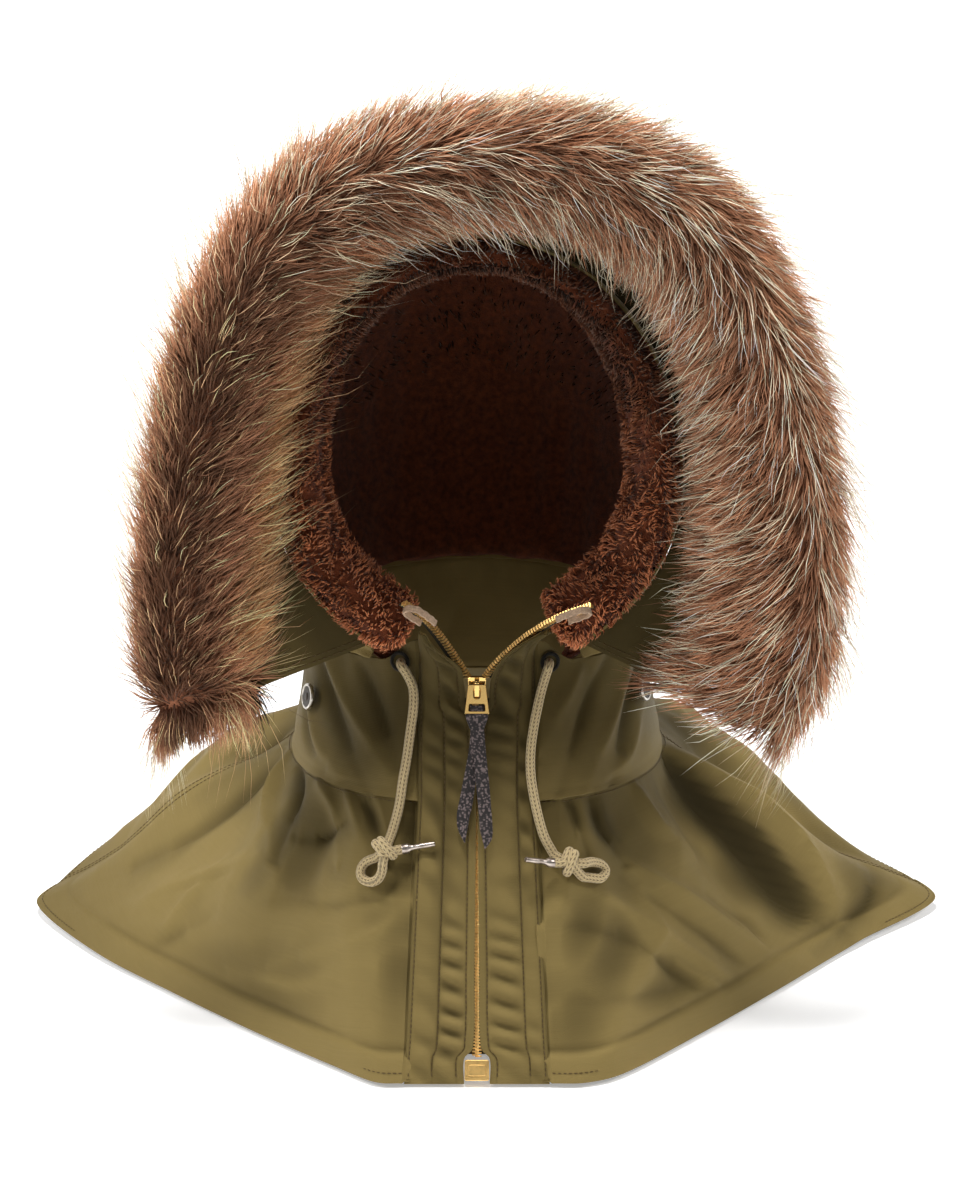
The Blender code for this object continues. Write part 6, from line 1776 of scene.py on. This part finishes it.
def repeat_piece(name, lines, shape, pitch, size, across, finish, unevenness=0.0, seed=1):
    """One mesh of a shape repeated along lines of points."""
    curve = line_object(name + "_line", lines)
    change = curve.modifiers.new("Repeat", "NODES")
    tree = repeat_tree()
    change.node_group = tree
    named = {item.name: item.identifier for item in tree.interface.items_tree if item.in_out == "INPUT"}
    for label, value in (("Shape", shape), ("Pitch", pitch), ("Size", size), ("Across", across),
                         ("Unevenness", unevenness), ("Seed", seed), ("Finish", finish)):
        change[named[label]] = value
    curve.update_tag()
    bpy.context.view_layer.update()
    depsgraph = bpy.context.evaluated_depsgraph_get()
    data = bpy.data.meshes.new_from_object(curve.evaluated_get(depsgraph))
    data.name = name
    bpy.data.objects.remove(curve)
    piece = bpy.data.objects.new(name, data)
    bpy.context.scene.collection.objects.link(piece)
    data.materials.clear()
    data.materials.append(finish)
    data.polygons.foreach_set("material_index", np.zeros(len(data.polygons), dtype=np.int32))
    data.shade_smooth()
    data.set_sharp_from_angle(angle=radians(45))
    return piece


def shape_object(name, mesh):
    """A small shape to be repeated."""
    data = bpy.data.meshes.new(name)
    mesh.to_mesh(data)
    mesh.free()
    made = bpy.data.objects.new(name, data)
    bpy.context.scene.collection.objects.link(made)
    return made


def tooth_shape():
    """One zip tooth of size one: it stands on the tape at X 0 and its head is at X 1."""
    mesh = bmesh.new()
    section = [(0.0, 0.50), (0.0, -0.50), (0.62, -0.50), (0.72, -0.36), (1.0, -0.36), (1.0, 0.36), (0.72, 0.36),
               (0.62, 0.50)]
    loops = [[mesh.verts.new((x, y * size, z)) for x, y in section] for z, size in ((-0.5, 0.84), (-0.34, 1.0),
                                                                                  (0.34, 1.0), (0.5, 0.84))]
    count = len(section)
    for low, high in zip(loops, loops[1:]):
        for k in range(count):
            mesh.faces.new((low[k], low[(k + 1) % count], high[(k + 1) % count], high[k]))
    mesh.faces.new(list(reversed(loops[0])))
    mesh.faces.new(loops[-1])
    bmesh.ops.recalc_face_normals(mesh, faces=mesh.faces)
    return shape_object("tooth_shape", mesh)


def stitch_shape():
    """One stitch of size one: a round-ended thread along Z."""
    mesh = bmesh.new()
    bmesh.ops.create_uvsphere(mesh, u_segments=4, v_segments=3, radius=0.5)
    return shape_object("stitch_shape", mesh)


# ---------------------------------------------------------------- zip

class HOOD_OT_zip(HoodStep, bpy.types.Operator):
    """Make the zip: its tapes, its teeth, its box, its stop and the suede strips at its ends"""
    bl_idname = "hood.zip"
    bl_label = "Zip"

    def build(self, scene):
        trim = scene.hood_trim
        brass_tone = np.array(tuple(trim.brass))
        self.brass = metal_finish("brass", tuple(brass_tone * 0.72), tuple(brass_tone), 0.30, 240.0, 0.75)
        self.tape = felt_finish("zip_tape_weave", linear(34, 30, 20), linear(62, 56, 38), 900.0, 0.0003)
        tooth = tooth_shape()
        for side, points in ((-1, ZIP_LEFT), (1, ZIP_RIGHT)):
            self.build_side(trim, side, points, tooth)
        self.build_chain(trim, tooth)
        bpy.data.objects.remove(tooth)
        self.build_box()
        self.build_ends(trim)

    def build_side(self, trim, side, points, tooth):
        """One opened side above the slider: its tape and its teeth."""
        word = "left" if side < 0 else "right"
        path = even_path(points, 0.0012)
        along = unit(np.gradient(path, axis=0))
        cross = np.array([side, 0.60, -0.25])
        cross = unit(cross - along * (along @ cross)[:, None])
        normal = unit(np.cross(along, cross))
        normal *= -np.sign(normal[:, 1:2])
        shares = np.linspace(0.0011, 0.0066, 8)
        front = path[:, None] + cross[:, None] * shares[None, :, None] + normal[:, None] * 0.0005
        back = front - normal[:, None] * 0.0010
        tape = wall_piece("zip_tape_" + word, front, back, self.tape)
        middle = cross[len(cross) // 2]
        teeth = repeat_piece("zip_teeth_" + word, [path + cross * 0.0002], tooth, trim.tooth_pitch,
                             (0.0037, 0.0027, 0.00112), tuple(middle), self.brass)
        for piece in (tape, teeth):
            settle(piece, "hood", "zip_" + word)

    def build_chain(self, trim, tooth):
        """The closed zip behind the placket's slit."""
        heights = np.linspace(0.1882, BOX_TOP + 0.0010, 160)
        deep = placket_surface(1, np.zeros_like(heights), heights)[:, 1] + CLOTH + 0.0012
        pieces = []
        for side in (-1, 1):
            shift = 0.0 if side < 0 else trim.tooth_pitch / 2
            line = np.stack([np.full_like(heights, side * 0.0026), deep, heights - shift], -1)
            pieces.append(repeat_piece("zip_chain_%d" % side, [line], tooth, trim.tooth_pitch,
                                       (0.0036, 0.0018, 0.00085), (-side, 0.0, 0.0), self.brass))
        teeth = join_pieces("zip_chain_teeth", pieces)
        across = np.linspace(-0.0074, 0.0074, 8)
        front = np.stack([np.broadcast_to(across, (len(heights), 8)),
                          np.broadcast_to(deep[:, None] + 0.0006, (len(heights), 8)),
                          np.broadcast_to(heights[:, None], (len(heights), 8))], -1)
        tape = wall_piece("zip_chain_tape", front, front + np.array([0.0, 0.0008, 0.0]), self.tape)
        for piece in (teeth, tape):
            settle(piece, "hood", "zip_chain")

    def build_box(self):
        """The retaining box at the lower end, with its pressed groove."""
        front = placket_surface(1, np.zeros(2), np.array([BOX_BOTTOM, BOX_TOP]))[:, 1] - 0.0012
        lean = np.degrees(np.arctan2(front[1] - front[0], BOX_TOP - BOX_BOTTOM))
        tall = BOX_TOP - BOX_BOTTOM
        outline = rounded_outline([(-BOX_HALF, 0.0), (BOX_HALF, 0.0), (BOX_HALF * 1.02, tall),
                                   (-BOX_HALF * 1.02, tall)], 0.0012)
        origin = (0.0, front[1], BOX_TOP)
        piece = plate_piece("zip_box_case", outline, (0.0, 0.0036), origin, lean, self.brass, bevel=0.0005)
        ridge = plate_piece("zip_box_ridge", rounded_outline([(-0.0046, 0.0026), (0.0046, 0.0026),
                                                              (0.0048, tall - 0.0026), (-0.0048, tall - 0.0026)],
                                                             0.0010), (-0.0004, 0.0006), origin, lean,
                            self.brass, bevel=0.0003)
        whole = join_pieces("zip_box_brass", [piece, ridge])
        settle(whole, "hood", "zip_box")

    def build_ends(self, trim):
        """The suede strips folded round the upper ends, and the small stop on the right."""
        tone = np.array(tuple(trim.suede))
        suede = felt_finish("suede", tuple(tone * 0.62), tuple(np.minimum(tone * 1.2, 0.9)), 700.0, 0.0004, 0.95)
        route = [(-0.0125, -0.0042), (-0.0060, -0.0050), (0.0010, -0.0050), (0.0048, -0.0030), (0.0056, 0.0006),
                 (0.0048, 0.0036), (0.0010, 0.0052), (-0.0060, 0.0052), (-0.0094, 0.0044)]
        for side, points in ((-1, ZIP_LEFT), (1, ZIP_RIGHT)):
            end, along, cross, forward = self.end_frame(points, side)
            centre = end - along * 0.0060 - cross * 0.0016 + forward * 0.0038
            line = even_path([(ahead, aside, 0.0) for ahead, aside in route], 0.0006)
            spots = centre + line[:, :1] * along + line[:, 1:2] * cross
            way = unit(np.gradient(spots, axis=0))
            out = unit(np.cross(way, forward))
            wide = np.linspace(-0.0018, 0.0018, 7)
            wave = 0.0002 * np.sin(np.arange(len(spots)) * 0.7)
            outer = (spots + out * 0.0006)[:, None] + forward * (wide[None, :, None] + wave[:, None, None])
            inner = (spots - out * 0.0006)[:, None] + forward * (wide[None, :, None] + wave[:, None, None])
            piece = wall_piece("suede_strip_" + ("left" if side < 0 else "right"), outer, inner, suede)
            settle(piece, "hood", "zip_tab_left" if side < 0 else "zip_tab_right")
        end, along, cross, forward = self.end_frame(ZIP_RIGHT, 1)
        rings = []
        for ahead, size in ((-0.0094, 0.6), (-0.0092, 0.9), (-0.0088, 1.0), (-0.0056, 1.0), (-0.0052, 0.9),
                            (-0.0050, 0.6)):
            place = end + along * ahead + cross * 0.0008 + forward * 0.0024
            turns = np.linspace(0, 2 * pi, 16, endpoint=False)
            wide = np.sign(np.cos(turns)) * np.abs(np.cos(turns)) ** 0.5 * 0.0014 * size
            high = np.sign(np.sin(turns)) * np.abs(np.sin(turns)) ** 0.5 * 0.0007 * size
            rings.append(place + cross * wide[:, None] + forward * high[:, None])
        stop = loft_piece("zip_stop_brass", np.array(rings), self.brass)
        settle(stop, "hood", "zip_stop")

    def end_frame(self, points, side):
        """The upper end of a zip side: its place, and its directions along, across and forward."""
        end, before = np.array(points[-1]), np.array(points[-2])
        along = unit(end - before)
        cross = np.array([side, 0.60, -0.25])
        cross = unit(cross - along * np.dot(cross, along))
        forward = unit(np.cross(along, cross))
        return end, along, cross, forward if forward[1] < 0 else -forward


# Leather tails: down, left edge, right edge, how far each stands behind the pull's front
LEATHER_TAILS = (
    ("front", (-0.0022, -0.0007), [
        (0.0190, -0.0036, 0.0037), (0.0250, -0.0034, 0.0040), (0.0350, -0.0022, 0.0048), (0.0550, -0.0004, 0.0068),
        (0.0700, 0.0010, 0.0080), (0.0790, 0.0017, 0.0086), (0.0840, 0.0030, 0.0080), (0.0890, 0.0042, 0.0047)]),
    ("back", (-0.0004, 0.0011), [
        (0.0190, -0.0036, 0.0008), (0.0250, -0.0036, 0.0008), (0.0350, -0.0044, 0.0005), (0.0553, -0.0081, -0.0010),
        (0.0660, -0.0102, -0.0026), (0.0717, -0.0110, -0.0040), (0.0785, -0.0102, -0.0052),
        (0.0856, -0.0068, -0.0064)]),
)


class HOOD_OT_pull(HoodStep, bpy.types.Operator):
    """Make the slider with its bridge, the puller plate and the leather pull"""
    bl_idname = "hood.pull"
    bl_label = "Slider and pull"

    def build(self, scene):
        brass_tone = np.array(tuple(scene.hood_trim.brass))
        brass = bpy.data.materials.get("brass") or metal_finish("brass", tuple(brass_tone * 0.72),
                                                                 tuple(brass_tone), 0.24)
        body = rounded_outline([(-0.0052, -0.0046), (-0.0034, -0.0060), (0.0034, -0.0060), (0.0052, -0.0046),
                                (0.0040, 0.0062), (-0.0040, 0.0062)], 0.0010)
        plate = plate_piece("slider_plate", body, (-0.0004, 0.0016), SLIDER_AT, 0.0, brass, bevel=0.0004)
        profile = [(0.0004, 0.0052), (-0.0040, 0.0052), (-0.0062, 0.0034), (-0.0062, -0.0036), (-0.0044, -0.0050),
                   (0.0004, -0.0050), (0.0004, -0.0034), (-0.0036, -0.0034), (-0.0048, -0.0026),
                   (-0.0048, 0.0026), (-0.0036, 0.0036), (0.0004, 0.0036)]
        bridge = self.bridge_piece(rounded_outline(profile, 0.0006, 3), brass)
        slider = join_pieces("zip_slider_brass", [plate, bridge])
        settle(slider, "hood", "zip_slider")
        outline = rounded_outline([(-0.0050, -0.0008), (0.0050, -0.0008), (0.0054, 0.0030), (0.0069, 0.0154),
                                   (-0.0069, 0.0154), (-0.0054, 0.0030)], 0.0009)
        slot = rounded_outline([(-0.0018, 0.0008), (0.0018, 0.0008), (0.0018, 0.0070), (-0.0018, 0.0070)], 0.0016)
        window = rounded_outline([(-0.0042, 0.0100), (0.0042, 0.0100), (0.0045, 0.0138), (-0.0045, 0.0138)],
                                 0.0008)
        puller = plate_piece("zip_puller_plate", outline, (-0.0008, 0.0008), HINGE, PULLER_LEAN, brass,
                             (slot, window), 0.00028)
        settle(puller, "puller", "zip_puller")
        self.build_leather(scene)

    def bridge_piece(self, profile, finish):
        """The raised bridge, one profile of (depth, up) points as wide as the slider's rail."""
        mesh = bmesh.new()
        centre = SLIDER_AT - Vector((0, 0, SEAT_HEIGHT))
        loops = [[mesh.verts.new(centre + Vector((x, depth, up))) for depth, up in profile]
                 for x in (-0.0013, 0.0013)]
        count = len(profile)
        mesh.faces.new(loops[0])
        mesh.faces.new(list(reversed(loops[1])))
        for k in range(count):
            after = (k + 1) % count
            mesh.faces.new((loops[0][k], loops[1][k], loops[1][after], loops[0][after]))
        bmesh.ops.recalc_face_normals(mesh, faces=mesh.faces)
        data = bpy.data.meshes.new("slider_bridge")
        mesh.to_mesh(data)
        mesh.free()
        data.materials.append(finish)
        piece = bpy.data.objects.new("slider_bridge", data)
        bpy.context.scene.collection.objects.link(piece)
        round_edges(piece, 0.0003)
        bpy.context.view_layer.update()
        return as_plain_mesh(piece)

    def leaned(self, points):
        """Points given as (across, depth, down) from the hinge, turned to the pull's lean."""
        lean = radians(-PULLER_LEAN)
        x, y, z = points[..., 0], points[..., 1], -points[..., 2]
        return np.stack([x + HINGE.x, y * cos(lean) - z * sin(lean) + HINGE.y,
                         y * sin(lean) + z * cos(lean) + HINGE.z], -1)

    def build_leather(self, scene):
        """The keeper folded round the puller's lower bar, and the two cut tails."""
        tone = np.array(tuple(scene.hood_trim.leather))
        leather = leather_finish("pebbled_leather", tuple(tone * 0.45), tuple(tone * 5.0))
        cut = felt_finish("cut_leather", linear(96, 74, 66), linear(150, 118, 104), 900.0, 0.0003)
        tails = []
        for word, depths, rows in LEATHER_TAILS:
            down, across = np.meshgrid(np.linspace(rows[0][0], rows[-1][0], 90), np.linspace(0, 1, 12),
                                       indexing="ij")
            left, right = read_table(rows, down)
            x = left + (right - left) * across
            camber = -0.00035 * np.sin(pi * across) - 0.0005 * np.sin((down - 0.02) * 62.0 + (word == "back") * 1.7)
            front = self.leaned(np.stack([x, depths[0] + camber, down], -1))
            back = self.leaned(np.stack([x, depths[1] + camber * 0.8, down], -1))
            tail = wall_piece("leather_tail_" + word, front, back, leather)
            tail.data.materials.append(cut)
            for face in tail.data.polygons[2 * 89 * 11:]:
                face.material_index = 1
            settle(tail, "puller", "leather_pull")
            tails.append(tail)
        keeper = rounded_outline([(-0.0064, 0.0157), (0.0064, 0.0157), (0.0056, 0.0186), (0.0038, 0.0236),
                                  (-0.0038, 0.0236), (-0.0056, 0.0186)], 0.0010)
        fold = plate_piece("keeper_fold", keeper, (-0.0030, 0.0021), HINGE, PULLER_LEAN, leather, bevel=0.0006)
        inside = plate_piece("keeper_inside", [(-0.0039, 0.0103), (0.0039, 0.0103), (0.0040, 0.0200),
                                               (-0.0040, 0.0200)], (0.0003, 0.0022), HINGE, PULLER_LEAN, leather,
                             bevel=0.0004)
        keeper_piece = join_pieces("leather_keeper", [fold, inside])
        settle(keeper_piece, "puller", "leather_pull")


# ---------------------------------------------------------------- buttons, eyelets and sewing

def neck_frame(turn, height):
    """A point of the neck's outer face and the direction out of it."""
    turns, heights = np.array([turn, turn + 1, turn - 1, turn, turn]), np.full(5, height)
    heights[3:] += (0.002, -0.002)
    points = neck_surface(turns, heights)
    out = unit(np.cross(points[1] - points[2], points[3] - points[4]))
    return points[0], out if out[1] < 0 else -out


class HOOD_OT_fastenings(HoodStep, bpy.types.Operator):
    """Make the neck buttons and the worked eyelets of the drawcords"""
    bl_idname = "hood.fastenings"
    bl_label = "Buttons and eyelets"

    def build(self, scene):
        steel = metal_finish("button_steel", linear(122, 116, 108), linear(212, 206, 196), 0.26)
        dark = metal_finish("button_dark", linear(28, 24, 20), linear(62, 54, 46), 0.42)
        for word, side in (("left", -1), ("right", 1)):
            turn = 360 - BUTTON_TURN if side < 0 else BUTTON_TURN
            point, out = neck_frame(turn, BUTTON_HEIGHTS[word])
            rim = turned_piece("button_rim_" + word, [
                (0.0022, 0.0004), (0.0022, 0.0016), (0.0064, 0.0018), (0.0073, 0.0022), (0.0075, 0.0028),
                (0.0075, 0.0036), (0.0072, 0.0042), (0.0066, 0.0044), (0.0060, 0.0042), (0.0058, 0.0038)],
                point, out, steel, 48)
            face = turned_piece("button_face_" + word, [
                (0.0060, 0.0034), (0.0059, 0.0039), (0.0045, 0.0042), (0.0024, 0.0040), (0.0020, 0.0043),
                (0.0012, 0.0045)], point, out, dark, 48)
            for piece in (rim, face):
                settle(piece, "hood", "neck_button_" + word)
        thread = felt_finish("eyelet_thread", linear(16, 14, 11), linear(40, 36, 28), 1500.0, 0.0003, 0.8)
        for word, route in CORD_ROUTES.items():
            start = np.array(route["run"][0])
            width = read_table(NECK_RINGS, start[2])[0]
            point, out = neck_frame(float(np.degrees(np.arcsin(start[0] / width))), start[2])
            base = unit(np.cross(out, [0.0, 0.0, 1.0]))
            other = np.cross(out, base)
            rings = []
            for k in range(144):
                angle = 2 * pi * k / 144
                way = base * cos(angle) + other * sin(angle)
                swell = 1.0 + 0.16 * sin(angle * 36)
                turns = np.linspace(0, 2 * pi, 12, endpoint=False)[:, None]
                rings.append(point + out * 0.0017 + way * 0.0048
                             + (way * np.cos(turns) * 0.0010 + out * np.sin(turns) * 0.0008) * swell)
            rings.append(rings[0])
            piece = loft_piece("eyelet_stitches_" + word, np.array(rings), thread, closed_ends=False, sharp=80)
            mesh = bmesh.new()
            mesh.from_mesh(piece.data)
            bmesh.ops.remove_doubles(mesh, verts=mesh.verts, dist=1e-6)
            mesh.to_mesh(piece.data)
            mesh.free()
            settle(piece, "hood", "eyelet_" + word)


def cape_line(turns, falls, lift=0.00012):
    """A line of sewing on the cape through turns and falls."""
    grid, normals = CLOTH_FACES["cape_cloth"]
    turns, falls = np.broadcast_arrays(np.asarray(turns, float), np.asarray(falls, float))
    columns = np.interp(turns, CAPE_TURNS, np.arange(len(CAPE_TURNS)))
    rows = np.interp(falls, CAPE_FALLS, np.arange(len(CAPE_FALLS)))
    return sample(grid, rows, columns) + sample(normals, rows, columns) * lift


def face_line(name, row_shares, column_shares, lift=0.00012):
    """A line of sewing on a kept cloth face, by shares of its rows and columns."""
    grid, normals = CLOTH_FACES[name]
    row_shares, column_shares = np.broadcast_arrays(np.asarray(row_shares, float), np.asarray(column_shares, float))
    rows, columns = row_shares * (len(grid) - 1), column_shares * (grid.shape[1] - 1)
    return sample(grid, rows, columns) + sample(normals, rows, columns) * lift


class HOOD_OT_sewing(HoodStep, bpy.types.Operator):
    """Sew the seams: every stitch stands on the finished cloth"""
    bl_idname = "hood.sewing"
    bl_label = "Stitches"

    def build(self, scene):
        cloth = scene.hood_cloth
        tone = np.array(tuple(cloth.thread))
        thread = felt_finish("seam_thread", tuple(tone * 0.75), tuple(np.minimum(tone * 1.3, 0.9)), 1800.0, 0.0002,
                             0.75)
        shape = stitch_shape()
        size = (cloth.stitch_width, cloth.stitch_width, cloth.stitch_length)
        for name, lines in (("cape_stitches", self.cape_rows()), ("placket_stitches", self.placket_rows()),
                            ("hood_stitches", self.hood_rows()), ("brim_stitches", self.brim_rows())):
            piece = repeat_piece(name, lines, shape, cloth.stitch_pitch, size, (0.0, 0.0, 1.0), thread, 0.12, 7)
            settle(piece, "hood")
        bpy.data.objects.remove(shape)

    def cape_rows(self):
        """Hem, yoke seam and shoulder seams."""
        turns = np.linspace(83.0, 277.0, 260)
        rows = [cape_line(turns, 0.978), cape_line(np.linspace(24.2, 335.8, 300), 0.016)]
        rows += [cape_line(np.linspace(24.0, 33.0, 30), 0.965), cape_line(np.linspace(327.0, 336.0, 30), 0.965)]
        falls = np.linspace(0.02, 0.97, 60)
        for centre in (96.0, 262.0):
            for offset in (-0.9, 0.9):
                rows.append(cape_line(centre + offset * (1 - 0.35 * falls), falls))
        return rows

    def placket_rows(self):
        """The lines beside the zip, the channel line and the outer seam on both halves."""
        rows = []
        for name, shares, top in (("placket_left_cloth", PLACKET_LEFT_ROWS, 0.985),
                                  ("placket_right_cloth", PLACKET_RIGHT_ROWS, 0.985)):
            for share in shares:
                columns = placket_column(name, share)
                rows.append(face_line(name, np.linspace(0.02, top, 200), columns))
        return rows

    def hood_rows(self):
        """Both seams from the face to the nape."""
        rows = []
        tilts = np.linspace(83.0, 14.0, 120)
        for seam in HOOD_SEAM_TURNS:
            for side in (-1, 1):
                reach = side * 0.0034 / (0.0017 * np.sin(np.radians(tilts)))
                rows.append(face_line("hood_cloth", 1 - tilts / BRIM_TILT,
                                      (seam + reach - TURN_FIRST) / TURN_SPAN))
        return rows

    def brim_rows(self):
        """Two close lines along both lower ends, front and back, and one round the rim's back."""
        rows = []
        for turn in (32.3, 34.0, 326.0, 327.7):
            share = (turn - TURN_FIRST) / TURN_SPAN
            for name in ("brim_cloth", "brim_back"):
                rows.append(face_line(name, np.linspace(0.04, 0.97, 60), share))
        for level in (0.94, 0.90, 0.10):
            rows.append(face_line("brim_back", level, np.linspace(0.01, 0.99, 400)))
        return rows


def placket_column(name, share):
    """The column share of a placket's kept face that lies at this share of its width."""
    grid = CLOTH_FACES[name][0]
    row = grid[60]
    reach = np.abs(row[:, 0] - row[0, 0]) / abs(row[-1, 0] - row[0, 0])
    return float(np.interp(share, reach, np.linspace(0, 1, len(reach))))


# ---------------------------------------------------------------- panel and order of work

class HOOD_PT_parts(bpy.types.Panel):
    """Lists the hood's settings and the steps that build it"""
    bl_idname = "HOOD_PT_parts"
    bl_label = "Parka hood"
    bl_space_type = "VIEW_3D"
    bl_region_type = "UI"
    bl_category = "Hood"

    def draw(self, context):
        for label, group in SETTINGS:
            box = self.layout.box()
            box.label(text=label)
            settings = getattr(context.scene, group)
            for name in settings.__annotations__:
                box.prop(settings, name)
        column = self.layout.column(align=True)
        for step in STEPS:
            column.operator(step.bl_idname)


SETTINGS = (("Cloth", "hood_cloth"), ("Fur", "hood_fur"), ("Pile", "hood_pile"), ("Cords and zip", "hood_trim"),
            ("Stage", "hood_stage"))
GROUPS = (HOOD_PG_cloth, HOOD_PG_fur, HOOD_PG_pile, HOOD_PG_trim, HOOD_PG_stage)
STEPS = (HOOD_OT_stage, HOOD_OT_drawcords, HOOD_OT_hood_cloth, HOOD_OT_cape, HOOD_OT_brim, HOOD_OT_placket,
         HOOD_OT_fur, HOOD_OT_pile, HOOD_OT_zip, HOOD_OT_pull, HOOD_OT_fastenings, HOOD_OT_sewing)


def register():
    """Register the settings, steps and panel."""
    for made in GROUPS + STEPS + (HOOD_PT_parts,):
        bpy.utils.register_class(made)
    for (_label, name), group in zip(SETTINGS, GROUPS):
        setattr(bpy.types.Scene, name, PointerProperty(type=group))


def unregister():
    """Remove the settings, steps and panel."""
    for _label, name in SETTINGS:
        delattr(bpy.types.Scene, name)
    for made in reversed(GROUPS + STEPS + (HOOD_PT_parts,)):
        bpy.utils.unregister_class(made)


def main():
    """Build every piece in order."""
    register()
    for step in STEPS:
        family, name = step.bl_idname.split(".")
        getattr(getattr(bpy.ops, family), name)()


if __name__ == "__main__":
    main()
